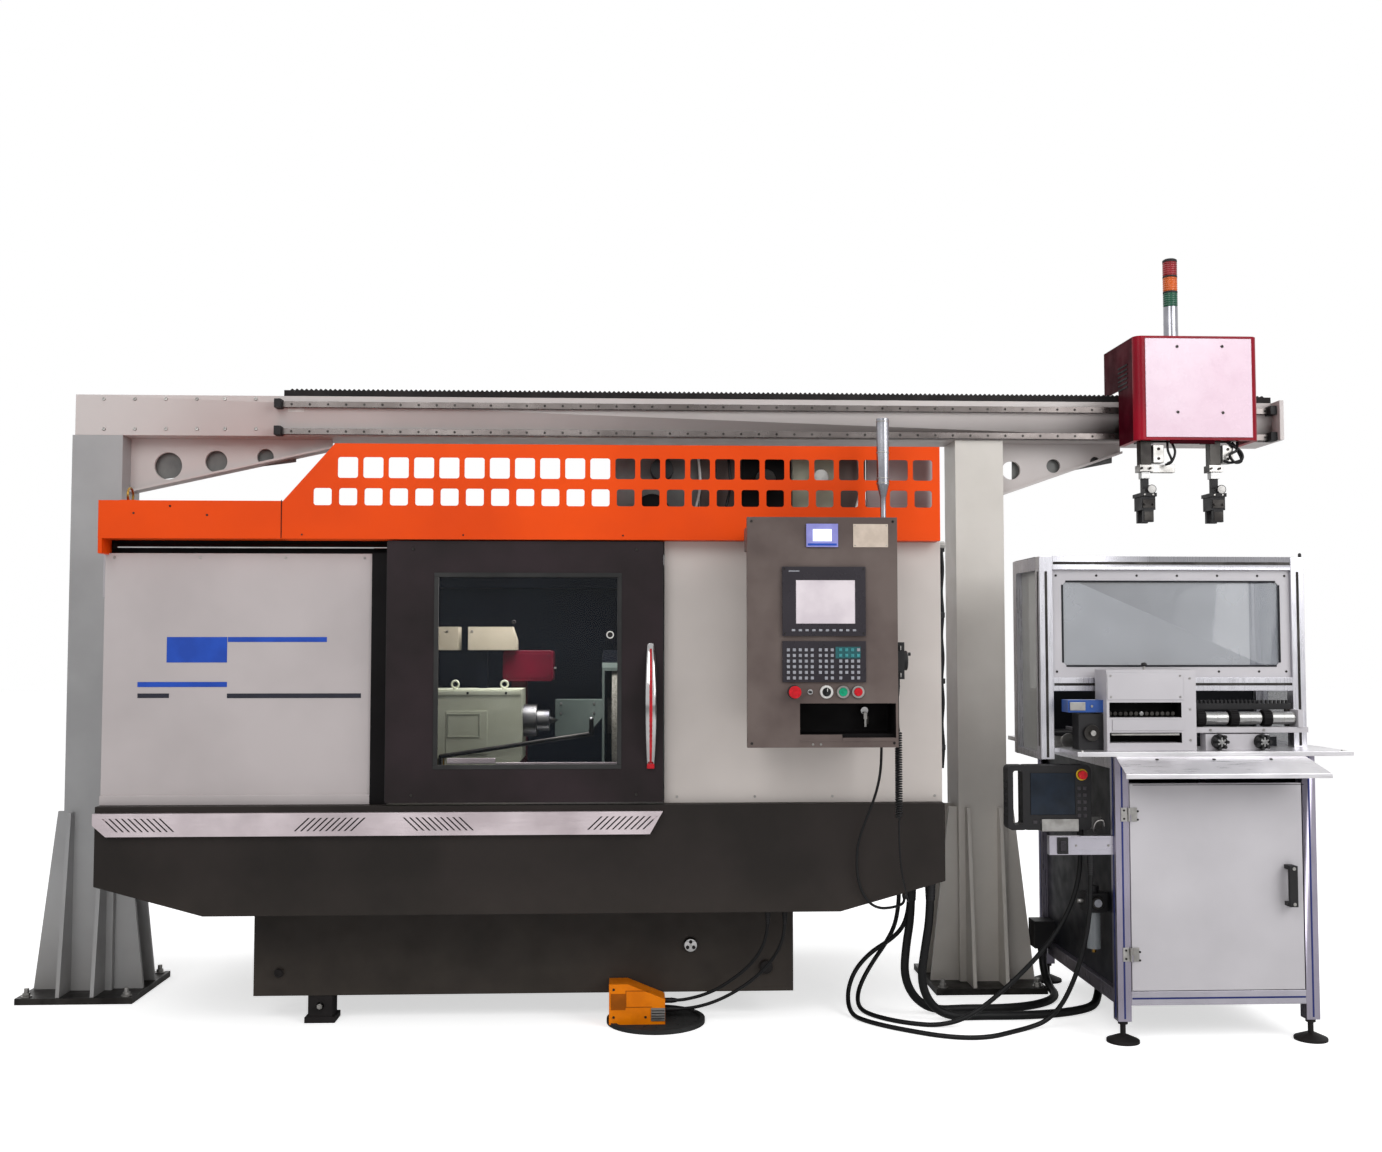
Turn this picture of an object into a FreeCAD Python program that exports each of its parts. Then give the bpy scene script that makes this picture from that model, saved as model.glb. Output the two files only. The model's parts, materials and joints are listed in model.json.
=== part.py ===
import FreeCAD, Part
import math
import os

# Automatic cylindrical grinder with a gantry loader, a feeder bench and a foot pedal.
# Millimetres, +Z up, +X to the right and +Y into depth as seen from the operator's side.
# The working frame has its zero on the floor, at the front plane of the grinder.
# At the end everything is moved so that the origin is the middle of the footprint.

# General sheet thicknesses, gaps and overruns
sheet = 3.0
slide_gap = 0.2
seat_gap = 0.3
cut_over = 5.0
bend_rim = 20.0

# Grinder: overall places
machine_left = -1542.0
machine_length = 2460.0
machine_depth = 1250.0
machine_right = machine_left + machine_length
foot_height = 82.0
work_axis_y = 450.0
work_axis_z = 905.0

# Cast base and bed
base_left_inset = 391.0
base_left = machine_left + base_left_inset
base_length_less = 812.0
base_length = machine_length - base_length_less
base_front = 250.0
base_depth_less = 350.0
base_depth = machine_depth - base_depth_less
base_height = 288.0
base_wall = 30.0
bed_inset = 60.0
bed_front_inset = 10.0
bed_height = 230.0
bed_depth_less = 190.0
bed_depth = base_depth - bed_depth_less
way_width = 280.0
way_height = 30.0
way_inset = 40.0
bridge_left_offset = -1048.0
bridge_left = machine_right + bridge_left_offset
bridge_length = 530.0
bridge_clear = 20.0
bridge_height = 100.0
base_top = foot_height + base_height
bed_top = base_top + bed_height
way_top = bed_top + way_height
bridge_top = bed_top + bridge_height

# Plug, star-shaped lock and knob on the base's front
plug_x_inset = 469.0
plug_x = machine_left + plug_x_inset
plug_z = 153.0
plug_radius = 14.0
lock_x_offset = -739.0
lock_x = machine_right + lock_x_offset
lock_z = 226.0
lock_radius = 22.0
base_knob_x_offset = -506.0
base_knob_x = machine_right + base_knob_x_offset
base_knob_z = 157.0
base_knob_radius = 21.0
base_fitting_reach = 12.0

# Levelling blocks under the base
block_width = 74.0
block_depth = 70.0
block_pad_width = 92.0
block_pad_margin = 8.0
block_pad_height = 18.0
block_hole_radius = 11.0
front_block_shares = (0.122, 0.70)
back_block_shares = (0.122, 0.50, 0.89)
block_front_inset = 4.0

# Splash pan
pan_height = 314.0
pan_side_height = 228.0
pan_slant_run = 310.0
pan_rim_width = 60.0
pan_deck_depth = 270.0
pan_sheet = 4.0
pan_top = base_top + pan_height

# Door track cover in front of the pan
cover_height = 66.0
cover_drop = 18.0
cover_depth = 18.0

cover_end_run = 38.0
vent_count = 10
vent_pitch = 17.7
vent_width = 5.5
vent_height = 38.0
vent_lean = 40.0
vent_starts = (28.0, 570.0, 880.0, 1410.0)

# Enclosure panels
panel_top = 1456.0
left_panel_drop = 39.0
left_panel_top = panel_top - left_panel_drop
left_panel_right_inset = 775.0
left_panel_right = machine_left + left_panel_right_inset
left_panel_y = 40.0
left_panel_band = 28.0
left_panel_band_step = 8.0
right_panel_gap = 4.0
right_panel_y = 32.0
right_panel_return = 36.0
side_panel_depth_less = 50.0
side_panel_depth = machine_depth - side_panel_depth_less
back_panel_drop = 76.0
back_panel_top = panel_top - back_panel_drop

# Door portal: post, header beam and rail
post_width = 48.0
post_depth = 40.0
header_y = 64.0
header_depth = 26.0
header_height = 38.0
rail_radius = 7.0
rail_drop = 19.0
rail_z = panel_top - rail_drop
rail_y = 50.0
rail_left_inset = 20.0
rail_bearer = 14.0

# Orange canopy
canopy_left_inset = 524.0
canopy_left = machine_left + canopy_left_inset
canopy_right_inset = 11.0
canopy_y = -20.0
canopy_height = 279.0
canopy_top = panel_top + canopy_height
canopy_slope_run = 150.0
canopy_shoulder = 107.0
canopy_rim = 80.0
roof_box_height = 110.0
roof_box_top = panel_top + roof_box_height
roof_box_depth = 580.0
hole_top_start = 159.0
hole_top_count = 24
hole_top_width = 58.0
hole_top_height = 61.0
hole_top_rise = 178.0
hole_top_z = panel_top + hole_top_rise
hole_low_start = 90.0
hole_low_count = 25
hole_low_width = 52.0
hole_low_height = 50.0
hole_low_rise = 98.0
hole_low_z = panel_top + hole_low_rise
hole_pitch = 73.3
hole_corner = 8.0
loop_radius = 22.0
loop_wire = 3.5
loop_x = -1480.0
loop_y = 60.0

# Door
door_left_inset = 826.0
door_left = machine_left + door_left_inset
door_width_less = 1656.0
door_width = machine_length - door_width_less
door_bottom = 692.0
door_top_drop = 4.0
door_top = panel_top - door_top_drop
door_front = -8.0
door_thick = 36.0
window_left_inset = 146.0
window_right_inset = 130.0
window_bottom = 797.0
window_top = 1350.0
door_rim = 24.0
glass_thick = 6.0
glass_inset = 8.0
hanger_width = 60.0
hanger_inset = 60.0
hanger_below = 13.0
hanger_above = 13.0
hanger_behind = 12.0
rail_clear = 0.5
door_travel = 760.0
handle_inset = 36.0
handle_bottom = 789.0
handle_length = 365.0
handle_width = 34.0
handle_end_width = 18.0
handle_reach = 52.0
handle_thick = 12.0
latch_inset = 25.0
latch_z = 1178.0
latch_radius = 9.0
latch_wire = 2.0

# Work table, work head and tailstock
table_left_inset = 642.0
table_left = machine_left + table_left_inset
table_length_less = 338.0
table_length = base_length - table_length_less
table_height = 95.0
table_travel = 60.0
table_t_slot = 22.0
head_left_inset = 772.0
head_left = machine_left + head_left_inset
head_right_inset = 1190.0
head_right = machine_left + head_right_inset
head_front = 335.0
head_depth = 190.0
head_top = 1008.0
head_chamfer = 60.0
head_recess = 95.0
head_recess_depth = 12.0
eye_radius = 16.0
eye_wire = 5.0
eye_insets = (55.0, 210.0)
nose_radius = 52.0
nose_length = 42.0
plate_radius = 34.0
plate_length = 40.0
centre_length = 30.0
centre_radius = 14.0
guard_box_bottom = 1132.0
guard_box_height = 75.0
guard_box_left_inset = 802.0
guard_box_left = machine_left + guard_box_left_inset
guard_box_split_inset = 977.0
guard_box_split = machine_left + guard_box_split_inset
guard_box_gap = 32.0
guard_box_right_inset = 1164.0
guard_box_right = machine_left + guard_box_right_inset
guard_box_front = 440.0
guard_box_depth = 90.0
guard_post = 30.0
tail_left_offset = -633.0
tail_left = machine_right + tail_left_offset
tail_length = 120.0
tail_depth = 180.0
tail_top = 1000.0
quill_radius = 24.0
quill_nose_offset = -728.0
quill_nose = machine_right + quill_nose_offset
quill_fit = 0.05
quill_travel = 35.0
tail_centre_length = 40.0

# In-process measuring head
gauge_left_inset = 1117.0
gauge_left = machine_left + gauge_left_inset
gauge_width = 165.0
gauge_bottom = 1030.0
gauge_height = 100.0
gauge_depth = 90.0
gauge_post_width = 50.0
gauge_post_x_inset = 1142.0
gauge_post_x = machine_left + gauge_post_x_inset
gauge_corner = 12.0

# Coolant pipe on the table
pipe_radius = 7.0
pipe_y = 322.0
pipe_foot_x_inset = 942.0
pipe_foot_x = machine_left + pipe_foot_x_inset
pipe_foot_rise = 75.0
pipe_end_x_offset = -1048.0
pipe_end_x = machine_right + pipe_end_x_offset
pipe_end_z = 870.0
pipe_tip_rise = 45.0
pipe_tip_reach = 40.0

# Wheel head, guard and wheel
wheel_radius = 200.0
wheel_width = 50.0
wheel_left_offset = -988.0
wheel_left = machine_right + wheel_left_offset
wheel_axis_y = 740.0
wheel_hub_radius = 62.0
wheel_spindle_radius = 32.0
wheel_spindle_fit = 0.06
wheel_guard_radius = 225.0
wheel_guard_width = 116.0
wheel_guard_sheet = 8.0
wheel_guard_front = 590.0
wheel_guard_gap = 33.0
wheel_guard_rise = 6.0
wheel_head_length = 310.0
wheel_head_front = 640.0
wheel_head_clear = 26.7
wheel_head_top = 1010.0
wheel_motor_radius = 105.0
wheel_motor_z = 1130.0
wheel_motor_inset = 130.0
wheel_belt_cover = 55.0
wheel_nose_length = 156.0
wheel_nose_height = 120.0
wheel_nose_depth = 80.0
wheel_nose_bottom = 845.0
infeed_travel = 55.0

# Electrical cabinet behind
cabinet_left_offset = -718.0
cabinet_left = machine_right + cabinet_left_offset
cabinet_width = 700.0
cabinet_depth_share = 0.2
cabinet_depth = cabinet_depth_share * machine_depth
cabinet_height = 1000.0

# Control box
control_left_offset = -601.0
control_left = machine_right + control_left_offset
control_width = 421.0
control_bottom = 864.0
control_height = 641.0
control_front = -230.0
control_plate_depth = 24.0
control_box_back = -30.0
control_box_left_inset = 28.0
control_box_bottom_rise = 41.0
control_box_top_drop = 25.0
recess_left_inset = 146.0
recess_right_inset = 7.0
recess_bottom_rise = 20.0
recess_height = 102.0
recess_depth = 120.0
recess_step_width = 150.0
recess_step_height = 16.0
bracket_left_inset = 100.0
bracket_width = 180.0
bracket_bottom_rise = 140.0
bracket_height = 350.0
hinge_block_width = 27.0
hinge_block_height = 66.0
hinge_block_depth = 90.0

# Units on the control box front
display_left_inset = 97.0
display_width = 233.0
display_bottom = 1173.0
display_height = 193.0
display_thick = 8.0
screen_side_inset = 38.0
screen_bottom_inset = 34.0
screen_height = 122.0
screen_width = 166.0
screen_depth = 3.0
keyboard_bottom = 1045.0
keyboard_height = 114.0
keyboard_thick = 6.0
touch_left_inset = 165.0
touch_width = 89.0
touch_bottom = 1421.0
touch_height = 65.0
plate_left_inset = 297.0
plate_width = 98.0
plate_thick = 2.0
button_z = 1018.0
estop_inset = 130.0
blank_inset = 174.0
selector_inset = 220.0
start_inset = 266.0
stop_inset = 308.0
bezel_radius = 15.0
bezel_wall = 3.0
bezel_thick = 6.0
button_gap = 0.5
button_height = 9.0
button_travel = 4.0
button_back = 3.0
mushroom_radius = 17.0
mushroom_thick = 12.0
mushroom_stand = 8.0
selector_grip_width = 7.0
selector_grip_height = 9.0

# Signal lamp on the control box
lamp_x_inset = 402.0
lamp_y = -120.0
lamp_foot_radius = 17.0
lamp_foot_height = 16.0
lamp_neck_radius = 8.0
lamp_neck_height = 75.0
lamp_taper = 40.0
lamp_radius = 18.0
lamp_length = 190.0

# Electronic handwheel on the side of the control box
pulse_box_bottom = 1052.0
pulse_box_height = 104.0
pulse_box_front = -190.0
pulse_box_depth = 72.0
pulse_box_width = 26.0
pulse_dial_radius = 28.0
pulse_dial_thick = 12.0
pulse_crank_radius = 5.0
pulse_crank_length = 12.0

# Gantry columns
column_size = 165.0
column_wall = 10.0
column_front = 600.0
left_column_x_inset = -326.0
left_column_x = machine_left + left_column_x_inset
right_column_x_offset = 182.0
right_column_x = machine_right + right_column_x_offset
column_foot_plate = 370.0
column_foot_thick = 20.0
column_cap_thick = 16.0
gusset_height = 600.0
gusset_top_width = 28.0
gusset_thick = 12.0
gusset_inset = 22.0
gusset_plate_inset = 8.0
anchor_spacing = 316.0
anchor_hole_radius = 9.0

# Gantry beam
beam_left_inset = -318.0
beam_left = machine_left + beam_left_inset
beam_length_more = 1620.0
beam_length = machine_length + beam_length_more
beam_bottom = 1848.0
beam_height = 136.0
beam_depth = 160.0
beam_wall = 8.0
wedge_left_length = 676.0
wedge_right_length = 435.0
wedge_drop = 178.0
wedge_tip_drop = 26.0
wedge_thick = 12.0
wedge_flange = 60.0
wedge_hole_radii = (46.0, 37.0, 28.0)
wedge_right_hole_radii = (32.0, 24.0, 17.0)
wedge_hole_shares = (0.186, 0.423, 0.667)
wedge_right_hole_shares = (0.112, 0.455, 0.795)
wedge_hole_drop_shares = (0.52, 0.43, 0.34)

# Rails and rack on the beam
rail_start_inset = 369.0
rail_start = machine_left + rail_start_inset
rail_end_inset = 16.0
rail_profile = 20.0
rail_stand = 18.0
rail_top_z = 1953.0
rail_low_z = 1862.0
stop_length = 22.0
stop_height = 30.0
stop_stand = 26.0
rack_depth = 30.0
rack_height = 20.0
end_bracket_length = 14.0
end_bracket_stand = 60.0

# Carriage and its cover
carriage_left_offset = 772.0
carriage_left = machine_right + carriage_left_offset
carriage_width = 350.0
carriage_travel = 1840.0
carriage_plate_thick = 12.0
carriage_plate_gap = 36.0
carriage_plate_bottom = 1838.0
carriage_plate_top = 2100.0
bearing_length = 60.0
bearing_height = 48.0
bearing_gap = 0.3
hood_left_offset = 737.0
hood_left = machine_right + hood_left_offset
hood_width = 415.0
hood_front = 400.0
hood_depth = 300.0
hood_bottom = 1824.0
hood_height = 347.0
hood_corner = 26.0
hood_notch_gap = 30.0
hood_notch_front = 560.0
hood_face_inset = 34.0
hood_face_thick = 3.0
hood_face_rim = 9.0
motor_width = 90.0
motor_height = 130.0
light_x_offset = 899.0
light_x = machine_right + light_x_offset
light_y = 500.0
light_radius = 24.0
light_foot_radius = 32.0
light_foot_height = 8.0
light_base_height = 112.0
light_band_height = 46.0
light_band_gap = 7.0
light_band_count = 3
light_cap_height = 6.0

# Telescopic loader arms
arm_left_x_offset = 781.0
arm_left_x = machine_right + arm_left_x_offset
arm_spacing = 234.0
arm_guide_size = 36.0
arm_guide_wall = 3.0
arm_guide_bottom = 1745.0
arm_guide_top = 2150.0
arm_collar_size = 46.0
arm_collar_height = 23.0
arm_outer_wall = 3.5
arm_outer_bottom = 1700.0
arm_inner_bottom = 1650.0
arm_inner_top = 2125.0
arm_clear = 0.5
arm_travel = 335.0
arm_bracket_depth = 82.0
gripper_width = 54.0
gripper_depth = 76.0
gripper_height = 44.0
gripper_flange_height = 12.0
jaw_width = 34.0
jaw_thick = 16.0
jaw_height = 40.0
jaw_open = 18.0
jaw_travel = 9.0
disc_radius = 15.0
disc_sink = 3.0
disc_thick = 8.0
valve_length = 76.0
valve_height = 26.0
valve_depth = 24.0

# Feeder bench frame
bench_left_offset = 483.0
bench_left = machine_right + bench_left_offset
bench_width = 595.0
bench_front = -70.0
bench_depth = 770.0
profile = 40.0
bench_foot_height = 62.0
bench_rail_z = 108.0
foot_disc_radius = 47.0
foot_disc_height = 22.0
foot_disc_edge = 8.0
foot_stem_radius = 8.0
foot_nut_radius = 14.0
foot_nut_height = 10.0
bench_door_gap = 3.0
bench_door_thick = 20.0
bench_door_bottom = 150.0
bench_door_top = 745.0
hinge_z_low = 254.0
hinge_z_high = 656.0
hinge_length = 40.0
hinge_leaf = 24.0
hinge_leaf_thick = 3.0
hinge_radius = 5.0
hinge_pin_radius = 2.5
hinge_pin_fit = 0.05
pull_inset = 44.0
pull_bottom = 392.0
pull_height = 118.0
pull_width = 24.0
pull_reach = 36.0
pull_thick = 12.0

# Feeder table with its drip apron
table_plate_left_offset = 362.0
table_plate_left = machine_right + table_plate_left_offset
table_plate_right_offset = 1175.0
table_plate_right = machine_right + table_plate_right_offset
table_plate_front = -110.0
table_plate_back = 632.0
table_plate_top = 840.0
table_plate_thick = 14.0
apron_left_offset = 474.0
apron_left = machine_right + apron_left_offset
apron_width = 556.0
apron_drop = 46.0
apron_reach = 80.0
apron_sheet = 3.0
apron_lip = 10.0
apron_end_run = 40.0

# Hood over the table
hood_frame_left_offset = 304.0
hood_frame_left = machine_right + hood_frame_left_offset
hood_frame_width = 812.0
hood_frame_front = 50.0
hood_frame_depth = 290.0
hood_frame_top = 1415.0
hood_left_post_bottom = 806.0
hood_mid_rail_top = 1050.0
pane_thick = 5.0
pane_setback = 12.0
pane_frame_top_gap = 34.0
pane_window_inset = 33.0
pane_window_rise = 35.0
pane_corner = 18.0
face_plate_thick = 4.0
back_plate_height = 170.0

# Magazine on the table
magazine_left_offset = 466.0
magazine_left = machine_right + magazine_left_offset
magazine_width = 266.0
magazine_front = -60.0
magazine_depth = 100.0
magazine_height = 235.0
magazine_end_plate = 36.0
slot_side_inset = 8.0
slot_low_rise = 22.0
slot_low_height = 30.0
slot_high_rise = 96.0
slot_high_height = 44.0
slot_depth = 70.0
magazine_chamfer = 20.0
blue_block_length = 105.0
blue_block_height = 36.0
blue_block_rise = 110.0
blue_block_depth = 60.0
drive_block_length = 74.0
drive_block_height = 105.0

# Feed rollers
roller_z = 932.0
roller_y = -20.0
roller_radius = 19.0
roller_shaft_radius = 8.0
roller_shaft_fit = 0.05
roller_count = 3
roller_length = 68.0
collar_radius = 24.0
collar_length = 26.0
roller_pitch = 100.0
roller_first = 12.0
roller_bearing_width = 14.0
roller_bearing_size = 50.0
roller_bar_height = 16.0
roller_bar_depth = 40.0
roller_bar_z = 890.0

# Adjusting knobs on their block
knob_block_left_offset = 767.0
knob_block_left = machine_right + knob_block_left_offset
knob_block_width = 190.0
knob_block_height = 46.0
knob_block_depth = 40.0
knob_insets = (37.0, 165.0)
knob_xs = tuple(knob_block_left + inset for inset in knob_insets)
knob_z = 864.0
knob_radius = 22.0
knob_thick = 14.0
knob_stem_radius = 6.0
knob_stem_length = 16.0
knob_fit = 0.05

# Teach pendant, its holder and the fittings at the bench's left side
pendant_left_offset = 232.0
pendant_left = machine_right + pendant_left_offset
pendant_width = 205.0
pendant_bottom = 603.0
pendant_height = 190.0
pendant_front = 0.0
pendant_thick = 52.0
pendant_corner = 14.0
pendant_screen_inset = 22.0
pendant_grip_width = 44.0
pendant_grip_wall = 16.0
pendant_stop_radius = 13.0
pendant_stop_thick = 9.0
pendant_stop_x_inset = 15.0
pendant_stop_drop = 28.0
pendant_stop_travel = 4.0
holder_height = 36.0
holder_width = 110.0
holder_right_inset = 40.0
holder_lip = 4.0
holder_drop = 22.0
holder_gap = 0.3
switch_bar_length = 190.0
switch_bar_height = 54.0
switch_bar_depth = 24.0
switch_bar_bottom = 538.0
switch_rocker_width = 26.0
switch_rocker_height = 40.0
filter_y = 60.0
filter_bottom = 245.0
filter_bowl_radius = 20.0
filter_bowl_height = 110.0
filter_head_width = 62.0
filter_head_height = 56.0
filter_neck = 12.0
socket_bottom = 130.0
socket_length = 76.0
socket_height = 90.0
socket_depth = 50.0

# Foot pedal on its mat
mat_radius = 150.0
mat_thick = 8.0
mat_rim = 14.0
mat_rim_height = 5.0
mat_foot_gap = 4.0
mat_x_offset = -846.0
mat_x = machine_right + mat_x_offset
mat_y = 224.0
pedal_left_offset = -988.0
pedal_left = machine_right + pedal_left_offset
pedal_length = 169.0
pedal_front = 160.0
pedal_depth = 84.0
pedal_height = 120.0
pedal_low_height = 74.0
pedal_wall = 7.0
pedal_floor = 10.0
pedal_cable_side = 30.0
treadle_length = 96.0
treadle_thick = 8.0
treadle_side_gap = 2.0
treadle_rise = 12.0
treadle_pin_radius = 4.0
treadle_pin_fit = 0.05
treadle_swing = 6.0

# Cables: diameters and the glands that they leave
trunk_diameter = 26.0
loop_diameter = 14.0
panel_cable_diameter = 8.0
curl_diameter = 22.0
curl_wire = 5.0
curl_pitch = 6.8
curl_count = 36
curl_top = 905.0
curl_lead = 11.0
curl_samples = 13
arc_reach_share = 0.45
pedal_cable_diameter = 10.0
gland_wall = 3.0
gland_length = 22.0
pedal_gland_zs = (62.0, 36.0)

# Where each cable leaves the splash pan's underside: across and into depth
trunk_front_exit_place = (-62.0, 200.0)
trunk_rear_exit_place = (-18.0, 130.0)
feeder_exit_place = (-38.0, 350.0)
pendant_exit_place = (-56.0, 425.0)
panel_exit_place = (-110.0, 62.0)
curly_exit_place = (-98.0, 95.0)
pedal_near_exit_place = (-514.0, 100.0)
pedal_far_exit_place = (-463.0, 100.0)

# Where each cable enters its other fitting: across and into depth
trunk_front_end_place = (466.0, 612.0)
trunk_rear_end_place = (571.0, 354.0)
feeder_end_place = (417.0, -42.0)
pendant_end_place = (410.0, 26.0)
panel_start_place = (-201.0, -80.0)
curly_start_place = (-166.0, -154.0)

# Routes between the first and the last point of each cable, chosen by hand from the machine's right end
trunk_front_route_places = [(-62, 200, 325), (-76, 222, 215), (-80, 232, 125), (-44, 247, 53),
                            (22, 268, 13), (122, 285, 13), (229, 280, 13), (332, 305, 13), (412, 362, 13),
                            (458, 440, 13), (466, 525, 13), (466, 578, 35), (466, 604, 66),
                            (466, 612, 92)]
trunk_rear_route_places = [(-18, 130, 335), (-32, 150, 225), (-42, 165, 130), (-13, 178, 55),
                           (50, 192, 13), (152, 200, 13), (262, 196, 13), (372, 210, 13), (467, 245, 13),
                           (537, 300, 13), (561, 338, 34), (571, 354, 68)]
feeder_route_places = [(-38, 350, 365), (-40, 360, 300), (-56, 372, 245), (-96, 382, 205),
                       (-153, 386, 170), (-206, 376, 120), (-236, 344, 68), (-245, 295, 27),
                       (-238, 240, 7), (-210, 180, 7), (-158, 118, 7), (-88, 58, 7), (-18, 8, 7),
                       (57, -18, 7), (132, -8, 7), (200, 38, 7), (262, 80, 7), (320, 92, 22),
                       (362, 74, 72), (388, 42, 148), (404, 5, 235), (414, -28, 335), (417, -42, 430)]
pendant_route_places = [(-56, 425, 360), (-58, 432, 300), (-68, 440, 240), (-96, 444, 185),
                        (-136, 440, 132), (-170, 425, 85), (-196, 395, 45), (-206, 350, 17),
                        (-200, 298, 7), (-176, 240, 7), (-132, 185, 7), (-73, 142, 7), (-6, 118, 7),
                        (67, 112, 22), (134, 112, 60), (197, 108, 112), (254, 98, 168), (307, 80, 232),
                        (354, 58, 305), (388, 38, 385), (406, 28, 465), (410, 26, 525)]
panel_route_places = [(-201, -80, 835), (-204, -74, 775), (-215, -62, 718), (-232, -50, 668),
                      (-250, -38, 617), (-263, -28, 570), (-266, -20, 520), (-262, -16, 465),
                      (-246, -14, 420), (-223, -10, 392), (-193, 2, 378), (-160, 22, 376),
                      (-133, 44, 377), (-116, 57, 381), (-110, 62, 391)]
curly_route_places = [(-166, -154, 600), (-161, -140, 545), (-150, -112, 492), (-134, -75, 445),
                      (-118, -30, 412), (-107, 15, 396), (-100, 48, 388), (-98, 72, 386), (-98, 88, 391),
                      (-98, 95, 399)]
pedal_near_route_places = [(-514, 100, 310), (-522, 110, 262), (-543, 128, 215), (-573, 150, 175),
                           (-613, 172, 138), (-658, 192, 104), (-706, 210, 80), (-752, 224, 66),
                           (-778, 229, 62)]
pedal_far_route_places = [(-463, 100, 305), (-472, 112, 255), (-496, 132, 205), (-533, 152, 158),
                          (-578, 170, 118), (-628, 187, 84), (-680, 203, 58), (-730, 218, 42),
                          (-768, 229, 36)]


def beside(place):
    """Return a place that is given from the machine's right end."""
    return (machine_right + place[0],) + tuple(place[1:])


trunk_front_exit = beside(trunk_front_exit_place)
trunk_rear_exit = beside(trunk_rear_exit_place)
feeder_exit = beside(feeder_exit_place)
pendant_exit = beside(pendant_exit_place)
panel_exit = beside(panel_exit_place)
curly_exit = beside(curly_exit_place)
pedal_near_exit = beside(pedal_near_exit_place)
pedal_far_exit = beside(pedal_far_exit_place)
trunk_front_end = beside(trunk_front_end_place)
trunk_rear_end = beside(trunk_rear_end_place)
feeder_end = beside(feeder_end_place)
pendant_end = beside(pendant_end_place)
panel_start = beside(panel_start_place)
curly_start = beside(curly_start_place)
trunk_front_route = [beside(place) for place in trunk_front_route_places]
trunk_rear_route = [beside(place) for place in trunk_rear_route_places]
feeder_route = [beside(place) for place in feeder_route_places]
pendant_route = [beside(place) for place in pendant_route_places]
panel_route = [beside(place) for place in panel_route_places]
curly_route = [beside(place) for place in curly_route_places]
pedal_near_route = [beside(place) for place in pedal_near_route_places]
pedal_far_route = [beside(place) for place in pedal_far_route_places]


def vec(x, y, z):
    """Return a vector."""
    return FreeCAD.Vector(x, y, z)


def box(x0, x1, y0, y1, z0, z1):
    """Return the block between two corners."""
    return Part.makeBox(x1 - x0, y1 - y0, z1 - z0, vec(x0, y0, z0))


def rod(x, y, z, radius, length, way):
    """Return a cylinder that starts at a point and runs along a way."""
    return Part.makeCylinder(radius, length, vec(x, y, z), way)


AX = vec(1, 0, 0)
AY = vec(0, 1, 0)
AZ = vec(0, 0, 1)


def ring(x, y, z, outer, inner, length, way):
    """Return a tube that starts at a point and runs along a way."""
    bore = rod(x, y, z, inner, length, way)
    return rod(x, y, z, outer, length, way).cut(bore)


def prism_xz(points, y0, y1):
    """Return a prism whose outline lies in the front view."""
    wire = Part.makePolygon([vec(x, y0, z) for x, z in points] + [vec(points[0][0], y0, points[0][1])])
    return Part.Face(wire).extrude(vec(0, y1 - y0, 0))


def prism_yz(points, x0, x1):
    """Return a prism whose outline lies in the side view."""
    wire = Part.makePolygon([vec(x0, y, z) for y, z in points] + [vec(x0, points[0][0], points[0][1])])
    return Part.Face(wire).extrude(vec(x1 - x0, 0, 0))


def prism_xy(points, z0, z1):
    """Return a prism whose outline lies in the plan view."""
    wire = Part.makePolygon([vec(x, y, z0) for x, y in points] + [vec(points[0][0], points[0][1], z0)])
    return Part.Face(wire).extrude(vec(0, 0, z1 - z0))


def round_slot_xz(x0, x1, z0, z1, radius, y0, y1):
    """Return a block along Y with its four long corners rounded."""
    turn = radius * (1 - math.sqrt(0.5))
    edges = []
    edges.append(Part.LineSegment(vec(x0 + radius, y0, z0), vec(x1 - radius, y0, z0)).toShape())
    edges.append(Part.Arc(vec(x1 - radius, y0, z0), vec(x1 - turn, y0, z0 + turn),
                          vec(x1, y0, z0 + radius)).toShape())
    edges.append(Part.LineSegment(vec(x1, y0, z0 + radius), vec(x1, y0, z1 - radius)).toShape())
    edges.append(Part.Arc(vec(x1, y0, z1 - radius), vec(x1 - turn, y0, z1 - turn),
                          vec(x1 - radius, y0, z1)).toShape())
    edges.append(Part.LineSegment(vec(x1 - radius, y0, z1), vec(x0 + radius, y0, z1)).toShape())
    edges.append(Part.Arc(vec(x0 + radius, y0, z1), vec(x0 + turn, y0, z1 - turn),
                          vec(x0, y0, z1 - radius)).toShape())
    edges.append(Part.LineSegment(vec(x0, y0, z1 - radius), vec(x0, y0, z0 + radius)).toShape())
    edges.append(Part.Arc(vec(x0, y0, z0 + radius), vec(x0 + turn, y0, z0 + turn),
                          vec(x0 + radius, y0, z0)).toShape())
    return Part.Face(Part.Wire(edges)).extrude(vec(0, y1 - y0, 0))


nodes = {}


def keep(name, *solids):
    """File one or more solids under a node's name."""
    nodes[name] = Part.makeCompound(list(solids)) if len(solids) > 1 else solids[0]


# Grinder base, bed and feet

door_right = door_left + door_width
cover_right = door_right
right_panel_left = door_right + right_panel_gap
bed_left = base_left + bed_inset
bed_right = base_left + base_length - bed_inset
bed_front = base_front + bed_front_inset
bed_back = bed_front + bed_depth
way_front = bed_front + way_inset
way_back = way_front + way_width
bridge_right = bridge_left + bridge_length
bridge_front = way_back + bridge_clear


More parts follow.
